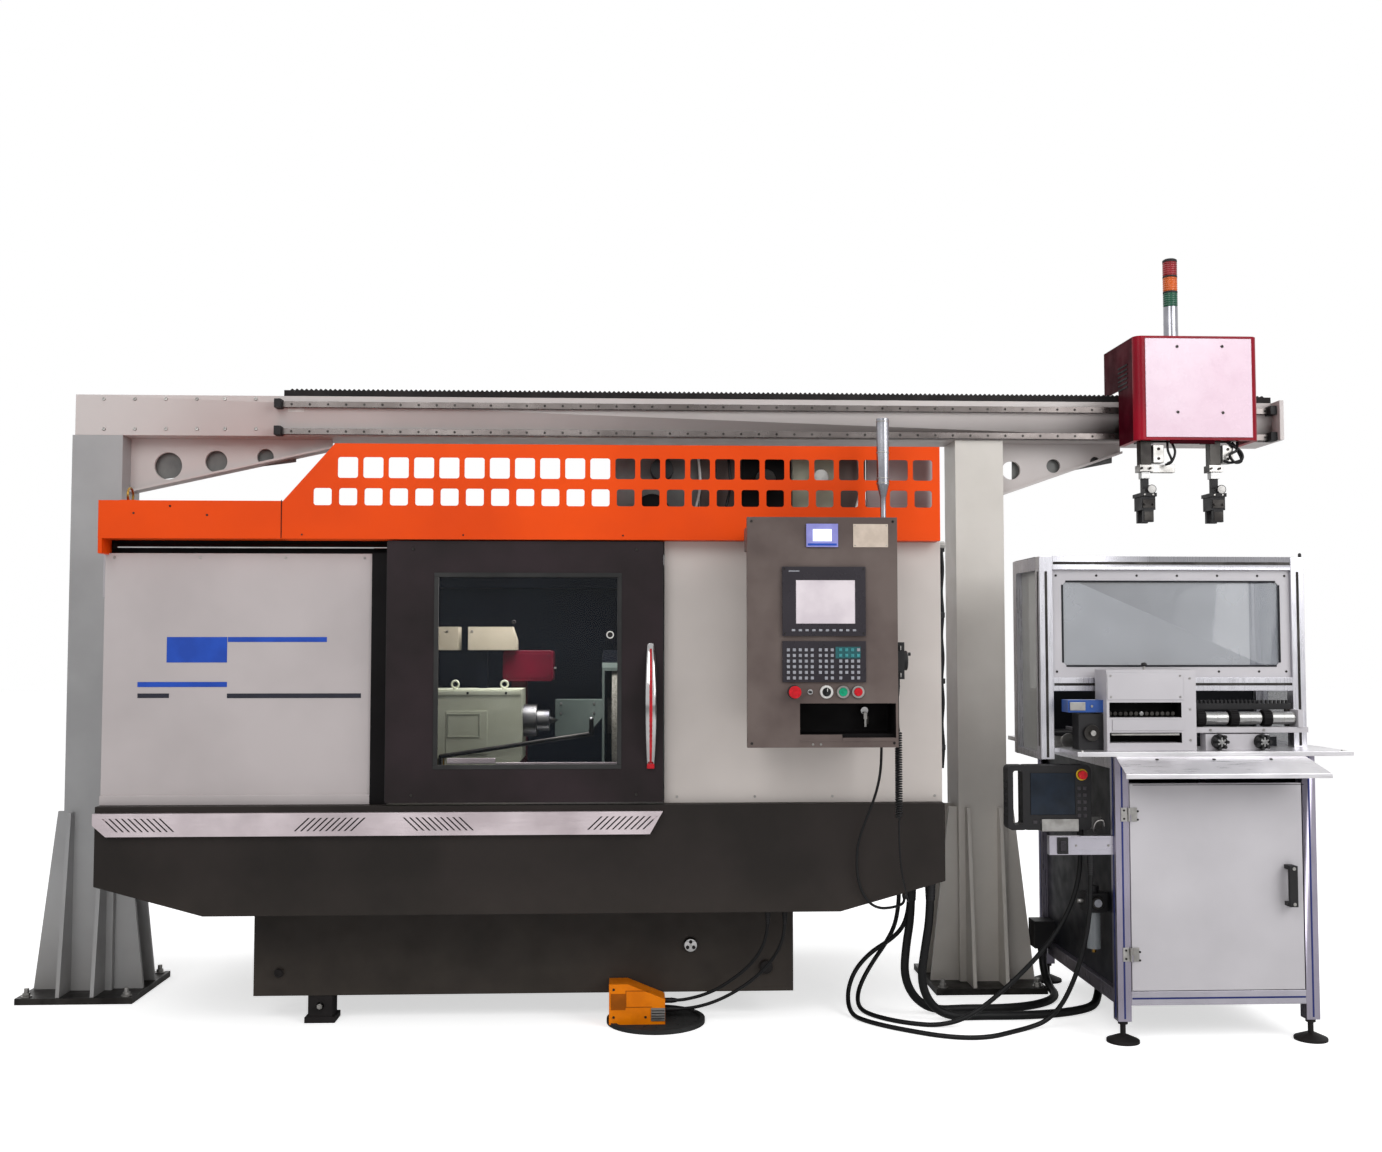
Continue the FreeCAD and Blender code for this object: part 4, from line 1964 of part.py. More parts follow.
def make_pedal():
    """Foot pedal housing on a round rubber mat cut out around a levelling block, and its treadle."""
    mat = rod(mat_x, mat_y, 0, mat_radius, mat_thick, AZ)
    rim = ring(mat_x, mat_y, mat_thick, mat_radius, mat_radius - mat_rim, mat_rim_height, AZ)
    foot_x = base_left + front_block_shares[1] * base_length
    half = block_pad_width / 2 + mat_foot_gap
    foot_y = base_front + block_front_inset - block_pad_margin - mat_foot_gap
    foot_notch = box(foot_x - half, foot_x + half, foot_y, mat_y + mat_radius + cut_over,
                     -cut_over, mat_thick + mat_rim_height + cut_over)
    x0 = pedal_left
    x1 = x0 + pedal_length
    y0 = pedal_front
    y1 = y0 + pedal_depth
    z0 = mat_thick
    outline = [(x0, z0), (x1, z0), (x1, z0 + pedal_low_height), (x0 + pedal_length / 3, z0 + pedal_height),
               (x0, z0 + pedal_height)]
    shell = prism_xz(outline, y0, y1)
    room = prism_xz([(x0 + pedal_wall, z0 + pedal_floor), (x1 + cut_over, z0 + pedal_floor),
                     (x1 + cut_over, z0 + pedal_low_height - pedal_wall),
                     (x0 + pedal_length / 3, z0 + pedal_height - pedal_wall),
                     (x0 + pedal_wall, z0 + pedal_height - pedal_wall)], y0 + pedal_wall, y1 - pedal_cable_side)
    shell = shell.cut(room)
    pin_x = x1 - treadle_length
    pin_z = z0 + pedal_floor + treadle_rise
    pin = rod(pin_x, y0 + pedal_wall, pin_z, treadle_pin_radius,
              pedal_depth - pedal_wall - pedal_cable_side, AY)
    rim_cut = box(x0 - cut_over, x1, y0 - seat_gap, y1 + seat_gap, z0, z0 + 2 * mat_rim_height)
    glands = []
    for z in pedal_gland_zs:
        glands.append(rod(x1, y1 - pedal_cable_side / 2, z, pedal_cable_diameter / 2 + gland_wall,
                          gland_length, AX))
    whole_mat = mat.fuse(rim.cut(rim_cut)).cut(foot_notch)
    keep("pedal_body", whole_mat, shell.fuse([pin] + glands))
    ty0 = y0 + pedal_wall + treadle_side_gap
    ty1 = y1 - pedal_cable_side - treadle_side_gap
    hub = rod(pin_x, ty0, pin_z, 2 * treadle_pin_radius, ty1 - ty0, AY)
    plate = box(pin_x, x1 - treadle_side_gap, ty0, ty1, pin_z, pin_z + treadle_thick)
    bore = rod(pin_x, ty0 - cut_over, pin_z, treadle_pin_radius + treadle_pin_fit,
               ty1 - ty0 + 2 * cut_over, AY)
    keep("pedal_treadle", hub.fuse(plate).cut(bore))


def path_edges(points):
    """Return straight runs joined by tangent arcs, and the radius of each arc."""
    knots = [vec(*point) for point in points]
    edges = []
    radii = []
    here = knots[0]
    for before, corner, after in zip(knots, knots[1:], knots[2:]):
        back = before.sub(corner)
        forth = after.sub(corner)
        reach = arc_reach_share * min(back.Length, forth.Length)
        half = (math.pi - back.getAngle(forth)) / 2
        back.normalize()
        forth.normalize()
        enter = corner + back * reach
        leave = corner + forth * reach
        radius = reach / math.tan(half)
        inward = (back + forth).normalize()
        middle = corner + inward * (radius / math.cos(half) - radius)
        edges.append(Part.LineSegment(here, enter).toShape())
        edges.append(Part.Arc(enter, middle, leave).toShape())
        radii.append(radius)
        here = leave
    edges.append(Part.LineSegment(here, knots[-1]).toShape())
    return edges, radii


def swept(edges, diameter):
    """Return the solid of a round section along a chain of tangent edges."""
    path = Part.Wire(edges)
    first = edges[0]
    start = first.valueAt(first.FirstParameter)
    way = first.tangentAt(first.FirstParameter)
    section = Part.Wire([Part.makeCircle(diameter / 2, start, way)])
    return path.makePipeShell([section], True, False)


def report_cable(name, solid, edges, diameter, radii):
    """Print a cable's length, least radius and how its volume compares."""
    length = sum(edge.Length for edge in edges)
    ratio = solid.Volume / (math.pi * (diameter / 2) ** 2 * length)
    print(name, "length", round(length, 1), "least radius", round(min(radii), 1), "in diameters",
          round(min(radii) / diameter, 2), "volume ratio", round(ratio, 4))


def make_cable(name, diameter, points):
    """Make a free cable along a hand-chosen route."""
    edges, radii = path_edges(points)
    solid = swept(edges, diameter)
    keep(name, solid)
    report_cable(name, solid, edges, diameter, radii)


def biarc(start, start_way, end, end_way):
    """Return two tangent arcs between two points with given ways."""
    chord = end - start
    both = start_way + end_way
    spread = 2 * (1 - start_way.dot(end_way))
    along = chord.dot(both)
    reach = (math.sqrt(along ** 2 + spread * chord.dot(chord)) - along) / spread
    joint = (start + end + (start_way - end_way) * reach) / 2
    edges = []
    for low, high, apex in ((start, joint, start + start_way * reach),
                            (joint, end, end - end_way * reach)):
        centre = (low + high) / 2
        rise = apex - centre
        span = (high - low).Length / 2
        quarter = math.atan2(rise.Length, span) / 2
        middle = centre + rise.normalize() * span * math.tan(quarter)
        edges.append(Part.Arc(low, middle, high).toShape())
    return edges


def make_curly_cord():
    """Coiled lead of the electronic handwheel: straight, curls, straight, then under the pan."""
    x, y = curly_start
    mean = (curl_diameter - curl_wire) / 2
    climb = curl_pitch / (2 * math.pi)
    drop = vec(0, 0, -1)
    edges = []
    here = vec(x, y, pulse_box_bottom - gland_length)
    lead = vec(x, y, curl_top + curl_lead)
    edges.append(Part.LineSegment(here, lead).toShape())

    def point(turn):
        angle = 2 * math.pi * turn
        return vec(x + mean * math.cos(angle), y + mean * math.sin(angle), curl_top - curl_pitch * turn)

    def way(turn):
        angle = 2 * math.pi * turn
        return vec(-mean * math.sin(angle), mean * math.cos(angle), -climb).normalize()

    edges.extend(biarc(lead, drop, point(0), way(0)))
    for index in range(2 * curl_count):
        low = index / 2
        high = (index + 1) / 2
        edges.extend(biarc(point(low), way(low), point(high), way(high)))
    tail = vec(x, y, curl_top - curl_pitch * curl_count - curl_lead)
    edges.extend(biarc(point(curl_count), way(curl_count), tail, drop))
    end = curly_exit + (pan_under(curly_exit[0]) - gland_length,)
    run, radii = path_edges([tuple(tail)] + curly_route + [end])
    edges.extend(run)
    solid = swept(edges, curl_wire)
    keep("handwheel_curly_cord", solid)
    report_cable("handwheel_curly_cord", solid, edges, curl_wire, radii)
    samples = []
    along = 0
    for edge in edges:
        for knot in edge.discretize(curl_samples):
            if samples:
                along = along + (knot - samples[-1][1]).Length
            samples.append((along, knot))
    least = curl_top
    for index, (first_along, first) in enumerate(samples):
        for second_along, second in samples[index + 1:]:
            if second_along - first_along > curl_diameter and abs(second.z - first.z) < 2 * curl_pitch:
                least = min(least, (second - first).Length)
    print("handwheel_curly_cord least gap to itself", round(least - curl_wire, 3))


def make_cables():
    """Make every free cable of the photograph."""

    def pan_exit(place):
        return place + (pan_under(place[0]) - gland_length,)

    make_cable("trunk_cable_front", trunk_diameter,
               [pan_exit(trunk_front_exit)] + trunk_front_route + [trunk_front_end + (socket_bottom,)])
    floor_under = bench_rail_z + profile / 2 - sheet / 2
    make_cable("trunk_cable_rear", trunk_diameter,
               [pan_exit(trunk_rear_exit)] + trunk_rear_route
               + [trunk_rear_end + (floor_under - gland_length,)])
    make_cable("feeder_cable", loop_diameter,
               [pan_exit(feeder_exit)] + feeder_route + [feeder_end + (switch_bar_bottom - gland_length,)])
    make_cable("pendant_cable", loop_diameter,
               [pan_exit(pendant_exit)] + pendant_route + [pendant_end + (pendant_bottom - gland_length,)])
    make_cable("panel_cable", panel_cable_diameter,
               [panel_start + (control_bottom + control_box_bottom_rise - gland_length,)]
               + panel_route + [pan_exit(panel_exit)])
    pedal_end = (pedal_left + pedal_length + gland_length,
                 pedal_front + pedal_depth - pedal_cable_side / 2)
    make_cable("pedal_cable_near", pedal_cable_diameter,
               [pan_exit(pedal_near_exit)] + pedal_near_route + [pedal_end + (pedal_gland_zs[0],)])
    make_cable("pedal_cable_far", pedal_cable_diameter,
               [pan_exit(pedal_far_exit)] + pedal_far_route + [pedal_end + (pedal_gland_zs[1],)])
    make_curly_cord()


def make_all():
    """Make every rigid node in the working frame."""
    make_bed()
    make_feet()
    make_pan()
    make_track_cover()
    make_panels()
    make_portal()
    make_canopy()
    make_door()
    make_table()
    make_head()
    make_spindle()
    make_quill()
    make_gauge()
    make_wheel_head()
    make_wheel()
    make_cabinet()
    make_control_box()
    make_control_units()
    make_buttons()
    make_lamp()
    make_dial()
    make_columns()
    make_beam()
    make_rails()
    make_carriage()
    make_head_cover()
    make_tower_light()
    make_arm("left", arm_xs[0])
    make_arm("right", arm_xs[1])
    make_bench_panels()
    make_bench_door()
    make_bench_table()
    make_bench_frame()
    make_hood_panes()
    make_magazine()
    make_rollers()
    make_knobs()
    make_pendant()
    make_side_fittings()
    make_pedal()


make_all()

# Origin in the middle of the footprint, on the floor
whole = FreeCAD.BoundBox()
for shape in nodes.values():
    whole.add(shape.BoundBox)
make_cables()
shift = vec(-(whole.XMin + whole.XMax) / 2, -(whole.YMin + whole.YMax) / 2, -whole.ZMin)
os.makedirs("parts", exist_ok=True)
for name, shape in nodes.items():
    placed = shape.copy()
    placed.translate(shift)
    if not placed.isValid():
        print("not valid:", name)
    placed.exportStep("parts/" + name + ".step")
print("nodes", len(nodes), "size", round(whole.XLength, 1), round(whole.YLength, 1), round(whole.ZLength, 1))
print("shift", round(shift.x, 3), round(shift.y, 3), round(shift.z, 3))
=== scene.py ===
"""Dressed model of a cylindrical grinding cell: grinder, gantry loader and feeder bench."""

import json
import logging
import math
from dataclasses import dataclass
from enum import Enum
from itertools import product
from typing import Iterable

import bmesh
import bpy
from mathutils import Matrix, Vector


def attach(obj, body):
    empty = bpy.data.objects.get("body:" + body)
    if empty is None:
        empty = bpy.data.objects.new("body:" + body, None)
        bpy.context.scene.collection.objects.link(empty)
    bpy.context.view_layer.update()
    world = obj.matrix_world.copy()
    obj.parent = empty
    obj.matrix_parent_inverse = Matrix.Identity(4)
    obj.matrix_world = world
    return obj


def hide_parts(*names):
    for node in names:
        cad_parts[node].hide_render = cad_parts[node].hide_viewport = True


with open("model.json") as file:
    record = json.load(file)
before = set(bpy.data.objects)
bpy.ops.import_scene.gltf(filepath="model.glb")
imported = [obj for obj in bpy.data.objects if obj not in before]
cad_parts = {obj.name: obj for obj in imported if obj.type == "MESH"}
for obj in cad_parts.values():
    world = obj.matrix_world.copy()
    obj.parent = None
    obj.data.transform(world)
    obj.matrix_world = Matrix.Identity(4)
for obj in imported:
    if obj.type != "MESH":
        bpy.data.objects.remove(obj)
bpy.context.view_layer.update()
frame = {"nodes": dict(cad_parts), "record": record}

LOG = logging.getLogger("scene")

Point = tuple[float, float, float]
Pair = tuple[float, float]
Sides = tuple[float, float, float, float]
Zone = tuple[Point, Point, "Finish"]

SHIFT = Vector((-124.75, -497.0, 0.0))


def srgb(code: str) -> tuple[float, float, float, float]:
    """Turn a hex colour into linear values.

    Args:
        code: Colour as written on screen, such as "#f0601f".

    Returns:
        Linear red, green and blue with full opacity.
    """
    parts = (int(code[start:start + 2], 16) / 255 for start in (1, 3, 5))
    return (*(part / 12.92 if part <= 0.04045 else ((part + 0.055) / 1.055) ** 2.4 for part in parts), 1.0)


def metres(point: Point) -> Vector:
    """Move a point from the drawing's millimetres into the scene.

    Args:
        point: X, Y and Z in millimetres as drawn.

    Returns:
        The same place in metres in the scene's frame.
    """
    return (Vector(point) + SHIFT) / 1000


class Axis(Enum):
    """Direction of a round or extruded form."""

    X = (1, 0, 0)
    Y = (0, 1, 0)
    Z = (0, 0, 1)

    @property
    def turn(self) -> Matrix:
        """Rotation that takes +Z to this axis."""
        return Vector((0, 0, 1)).rotation_difference(Vector(self.value)).to_matrix().to_4x4()


class Surface(Enum):
    """Kinds of surface that the finishes are made of."""

    ENAMEL = "enamel"
    DARK_ENAMEL = "dark enamel"
    METAL = "metal"
    BRUSHED = "brushed"
    PLASTIC = "plastic"
    RUBBER = "rubber"
    GLASS = "glass"
    GLOW = "glow"
    STONE = "stone"


@dataclass(frozen=True)
class Finish:
    """One surface: its kind, its two tones and the real sizes of its detail in millimetres."""

    name: str
    surface: Surface
    colour: str
    second: str
    rough: float = 0.4
    grain: float = 3.0
    bump: float = 0.08
    patch: float = 220.0
    clear: float = 1.0
    glow: float = 0.0
    shine: float = 1.0
    brush: Point = (1.0, 1.0, 1.0)
    dust: float = 0.0


ALONG_X = (0.03, 1.0, 1.0)
ALONG_Z = (1.0, 1.0, 0.03)

# Sprayed enamels: the orange-peel grain of 3 to 6 mm breaks up the lamps' reflection, and the two
# close tones drift over a few decimetres as on real sheet.  Dark ones hold back the white room.
# The right panel, the right column and the beam stand nearer the light and look paler; the panel's and the
# column's paler greys are painted light.
CHARCOAL = Finish("charcoal_sprayed_steel", Surface.DARK_ENAMEL, "#211d1b", "#292422", 0.48, 4, 0.10, 300,
                  dust=0.22)
DOOR_BLACK = Finish("black_sprayed_door", Surface.DARK_ENAMEL, "#1f191a", "#2a2124", 0.40, 4, 0.08, 260)
# Near-black: the real black post and trims, and painted shade in the control box's recess, the magazine's
# slots and behind the track strip's slots.
BLACK_AND_PAINTED_SHADE = Finish("black_sprayed_post_and_painted_shade", Surface.DARK_ENAMEL, "#0d0b0c", "#141213", 0.50, 4, 0.08, shine=0.5)
# Its two tones lie further apart than the other enamels' and drift over some 18 cm: a painted sheen over the
# box's own taupe.
TAUPE = Finish("taupe_sprayed_box", Surface.DARK_ENAMEL, "#665b57", "#564b48", 0.40, 4, 0.08, 180)
BENCH_DARK = Finish("slate_sprayed_panel", Surface.DARK_ENAMEL, "#191a1e", "#202126", 0.42, 4, 0.06, 300)
# Near-black grey: painted shade inside the enclosure, on the work head's post, atop the wheel head and inside
# the back rail.
SHADE_GREY = Finish("painted_shade_inner_grey", Surface.DARK_ENAMEL, "#0a0c13", "#10131c", 0.70, 5, 0.10, 300,
                    shine=0.3)
# A dark copy of the crimson: painted shade on the cover's side and under its lip.
CRIMSON_DARK = Finish("crimson_lacquer_shade", Surface.DARK_ENAMEL, "#4c0416", "#30020c", 0.50, 4, 0.04, 200,
                      shine=0.15)
WARM_GREY = Finish("warm_grey_sprayed_steel", Surface.ENAMEL, "#b6aeae", "#aca4a4", 0.40, 4, 0.06, 450)
# A paler copy of the warm grey: painted light on the right panel's front.
PANEL_PAINTED_LIGHT = Finish("painted_light_grey_steel", Surface.ENAMEL, "#cbc3be", "#c1b9b4", 0.40, 4, 0.06, 450)
COLUMN_GREY = Finish("column_sprayed_weldment", Surface.ENAMEL, "#a6a6a7", "#9a9a9b", 0.45, 6, 0.12, 330,
                     dust=0.35)
# A paler copy of the column grey: painted light on the right column.
COLUMN_PAINTED_LIGHT = Finish("painted_light_weldment", Surface.ENAMEL, "#d7d2cb", "#ccc7c0", 0.45, 6, 0.12, 330,
                     dust=0.35)
BEAM_GREY = Finish("beam_sprayed_weldment", Surface.ENAMEL, "#c8c1bf", "#beb7b5", 0.42, 6, 0.10, 500)
ORANGE = Finish("orange_sprayed_steel", Surface.DARK_ENAMEL, "#e54a08", "#d84306", 0.40, 4, 0.06, 400)
CRIMSON = Finish("crimson_lacquered_steel", Surface.DARK_ENAMEL, "#98001f", "#7e0019", 0.34, 5, 0.04, 250)
# Pale pink over the crimson: painted reflection of the bright room on the cover's front.
CRIMSON_PAINTED_REFLECTION = Finish("painted_reflection_pale_face", Surface.ENAMEL, "#dec9d6", "#d5b9c8", 0.26, 5, 0.03, 330)
CREAM = Finish("cream_painted_casting", Surface.ENAMEL, "#cdd0bb", "#c1c4ae", 0.42, 6, 0.14, 120)
GUARD_BEIGE = Finish("beige_painted_guard", Surface.ENAMEL, "#a89f8d", "#9c9381", 0.45, 6, 0.10, 120)
# A darker copy of the cream, used as painted shade.
SHADE_CREAM = Finish("painted_shade_cream", Surface.ENAMEL, "#a9ac99", "#9da08d", 0.45, 6, 0.10, 120)
GUARD_GREEN = Finish("green_painted_guard", Surface.DARK_ENAMEL, "#6b7570", "#5f6964", 0.50, 6, 0.12, 120)
GAUGE_RED = Finish("red_painted_gauge", Surface.DARK_ENAMEL, "#5e0a20", "#4f081a", 0.36, 4, 0.05, 110)
SHEET_WHITE = Finish("white_powder_coat", Surface.ENAMEL, "#bcb9bd", "#b1aeb2", 0.45, 3, 0.10, 400)
PEDAL = Finish("orange_painted_casting", Surface.DARK_ENAMEL, "#ef8200", "#e07600", 0.35, 5, 0.20, 50)
# A darker orange for a patch and thin lines on the housing's face.
PEDAL_DARK = Finish("darker_orange_casting", Surface.DARK_ENAMEL, "#a85600", "#8f4a00", 0.42, 5, 0.20, 50)
EQUIPMENT = Finish("grey_painted_housing", Surface.ENAMEL, "#6d6e6c", "#5e5f5e", 0.50, 4, 0.08, 60)
BLUE_PART = Finish("blue_painted_block", Surface.ENAMEL, "#1f4f9c", "#1a4388", 0.35, 4, 0.06, 80)

# Metals take the colour of the white room, so their own tone sets how pale they look.  Rolled and
# ground ones carry streaks some 30 times longer than wide, that stretch the highlights.
STAINLESS = Finish("stainless_rolled_strip", Surface.BRUSHED, "#d9cdd1", "#bfb3b7", 0.34, 2.5, 0.06,
                   brush=ALONG_X)
STEEL = Finish("ground_tool_steel", Surface.BRUSHED, "#a5a5a4", "#8d8d8c", 0.30, 2.5, 0.06, brush=ALONG_X)
PLATE_SILVER = Finish("milled_table_plate", Surface.BRUSHED, "#dedcdf", "#c9c7ca", 0.33, 3, 0.06,
                      brush=ALONG_X)
ALUMINIUM = Finish("anodised_upright", Surface.BRUSHED, "#9b96a4", "#8b8693", 0.32, 3, 0.04, brush=ALONG_Z)
ALUMINIUM_X = Finish("anodised_rail", Surface.BRUSHED, "#b2afb8", "#a3a0a9", 0.32, 3, 0.04, brush=ALONG_X)
RAIL_STEEL = Finish("hardened_rail_steel", Surface.METAL, "#6e6866", "#5e5856", 0.28, 6, 0.04, 140)
DARK_STEEL = Finish("phosphated_steel", Surface.METAL, "#3f3d3b", "#2c2a29", 0.42, 4, 0.12, 80)
ZINC = Finish("zinc_plated_steel", Surface.METAL, "#a8a6a3", "#8b8986", 0.34, 4, 0.06, 40)
CHROME = Finish("polished_chrome", Surface.METAL, "#bdbcbc", "#acabab", 0.10, 6, 0.01, 90)
CAST_BLACK = Finish("black_sand_casting", Surface.DARK_ENAMEL, "#191717", "#232020", 0.60, 5, 0.40, 60)
SIGNAL_WHITE = Finish("polished_lamp_tube", Surface.METAL, "#9e9ea4", "#87878d", 0.20, 6, 0.02, 60)
BRASS = Finish("turned_brass", Surface.METAL, "#8d6c33", "#745826", 0.30, 4, 0.05, 50)
HOOD_ALUMINIUM = Finish("bright_anodised_upright", Surface.BRUSHED, "#cdccd2", "#bdbcc2", 0.30, 3, 0.04,
                        brush=ALONG_Z)
HEAD_STEEL = Finish("dark_turned_steel", Surface.METAL, "#6b6a69", "#55545a", 0.36, 4, 0.05, 40)
ABRASIVE = Finish("vitrified_abrasive", Surface.STONE, "#aeaba1", "#77746c", 0.90, 2.5, 0.60, 4)

# Plastics: a fine moulded grain, drawn at 3 mm so that it still shows at this distance.
MATT_BLACK = Finish("matt_moulded_plastic", Surface.PLASTIC, "#121113", "#1a191b", 0.55, 3, 0.16)
GLOSS_BLACK = Finish("gloss_moulded_plastic", Surface.PLASTIC, "#262228", "#2d292f", 0.26, 4, 0.03)
PROFILE_BLUE = Finish("blue_slot_insert", Surface.PLASTIC, "#1a2766", "#16215a", 0.45, 4, 0.04)
KEY_DARK = Finish("dark_key_caps", Surface.PLASTIC, "#2f2c30", "#3a373b", 0.50, 4, 0.05, 15)
KEY_GREY = Finish("grey_key_caps", Surface.PLASTIC, "#9b9ca3", "#8c8d94", 0.45, 4, 0.05, 15)
# A darker copy of the key teal behind the teal keys: painted shade in the gaps between them.
TEAL_PAINTED_SHADE = Finish("painted_shade_teal_key_gaps", Surface.PLASTIC, "#235a5e", "#1d4f53", 0.50, 4, 0.05, 15)
KEY_TEAL = Finish("teal_key_caps", Surface.PLASTIC, "#418f93", "#377f83", 0.45, 4, 0.05, 15)
PLATE_BEIGE = Finish("beige_laminate_plate", Surface.PLASTIC, "#c8b9ab", "#bbac9e", 0.45, 4, 0.05, 30)
PLATE_YELLOW = Finish("yellow_ring_plate", Surface.PLASTIC, "#d8b31c", "#c7a314", 0.40, 4, 0.04, 20)
LILAC = Finish("lilac_moulded_frame", Surface.PLASTIC, "#8f8fd0", "#8383c4", 0.35, 4, 0.03, 40)
BUTTON_RED = Finish("red_moulded_button", Surface.PLASTIC, "#c8101f", "#ad0e1a", 0.25, 4, 0.03, 12)
BUTTON_GREEN = Finish("green_moulded_button", Surface.PLASTIC, "#0c9870", "#0a825f", 0.25, 4, 0.03, 12)
BUTTON_WHITE = Finish("white_moulded_plastic", Surface.PLASTIC, "#d6d4d1", "#c8c6c3", 0.35, 4, 0.03, 20)
LABEL_BLUE = Finish("blue_vinyl_film", Surface.PLASTIC, "#1f4bb0", "#1b43a2", 0.35, 4, 0.02, 60)
LABEL_DARK = Finish("dark_vinyl_film", Surface.PLASTIC, "#22232f", "#1c1d28", 0.40, 4, 0.02, 60)
STRIPE_RED = Finish("red_handle_inlay", Surface.PLASTIC, "#b8101e", "#9e0e1a", 0.30, 4, 0.02, 40)
PENDANT_SCREEN = Finish("dark_pendant_screen", Surface.PLASTIC, "#141b24", "#1b2430", 0.12, 4, 0.01, 60)
MAT = Finish("pressed_mat_rubber", Surface.RUBBER, "#2a2a2a", "#333333", 0.80, 4, 0.35)
CABLE = Finish("black_cable_jacket", Surface.RUBBER, "#0d0d0e", "#151516", 0.50, 3, 0.14)
HOSE = Finish("black_hose_jacket", Surface.RUBBER, "#0f0f11", "#171719", 0.38, 3, 0.06)

# Lit screens and lenses: a little light of their own lifts them from the housings round them.
SCREEN = Finish("lit_display_screen", Surface.GLOW, "#b3aab0", "#c6bec2", 0.15, glow=0.35, patch=90,
                bump=0.01)
SCREEN_BLUE = Finish("lit_touch_screen", Surface.GLOW, "#e6edf8", "#d3def2", 0.15, glow=0.5, patch=30)
LENS_RED = Finish("red_ribbed_lens", Surface.GLOW, "#8d0a18", "#74080f", 0.22, glow=0.06, patch=30, bump=0.01)
LENS_AMBER = Finish("amber_ribbed_lens", Surface.GLOW, "#c4570c", "#ad4c0a", 0.22, glow=0.08, patch=30,
                    bump=0.01)
LENS_GREEN = Finish("green_ribbed_lens", Surface.GLOW, "#075038", "#06422e", 0.22, glow=0.05, patch=30,
                    bump=0.01)

# Panes: thin sheets that keep a share of their own tone and reflect the room.
GLASS = Finish("laminated_window_glass", Surface.GLASS, "#12171c", "#171d22", 0.03, 6, clear=0.78, shine=0.7)
ACRYLIC = Finish("smoked_acrylic_sheet", Surface.GLASS, "#7c8088", "#8a8e96", 0.06, 6, clear=0.42)
FROST = Finish("frosted_acrylic_sheet", Surface.GLASS, "#a3a49f", "#afb0ab", 0.40, 6, clear=0.25)
SMOKE = Finish("polycarbonate_bowl", Surface.GLASS, "#8f9498", "#9ea3a7", 0.10, 6, clear=0.35)

DUST = "#8a7f72"
DUST_TOP = 0.50


def add(tree: bpy.types.NodeTree, kind: str, settings: dict[str | int, object],
        links: dict[str | int, bpy.types.NodeSocket], **traits: object) -> bpy.types.Node:
    """Add a node with its settings and its incoming links.

    Args:
        tree: Node tree to add to.
        kind: Kind of node, without the leading "ShaderNode".
        settings: Values of its input sockets, by name or place.
        links: Output sockets that feed its input sockets, by name or place.
        traits: Properties of the node itself.

    Returns:
        The new node.
    """
    made = tree.nodes.new("ShaderNode" + kind)
    for trait, value in traits.items():
        setattr(made, trait, value)
    for socket, value in settings.items():
        made.inputs[socket].default_value = value
    for socket, source in links.items():
        tree.links.new(source, made.inputs[socket])
    return made


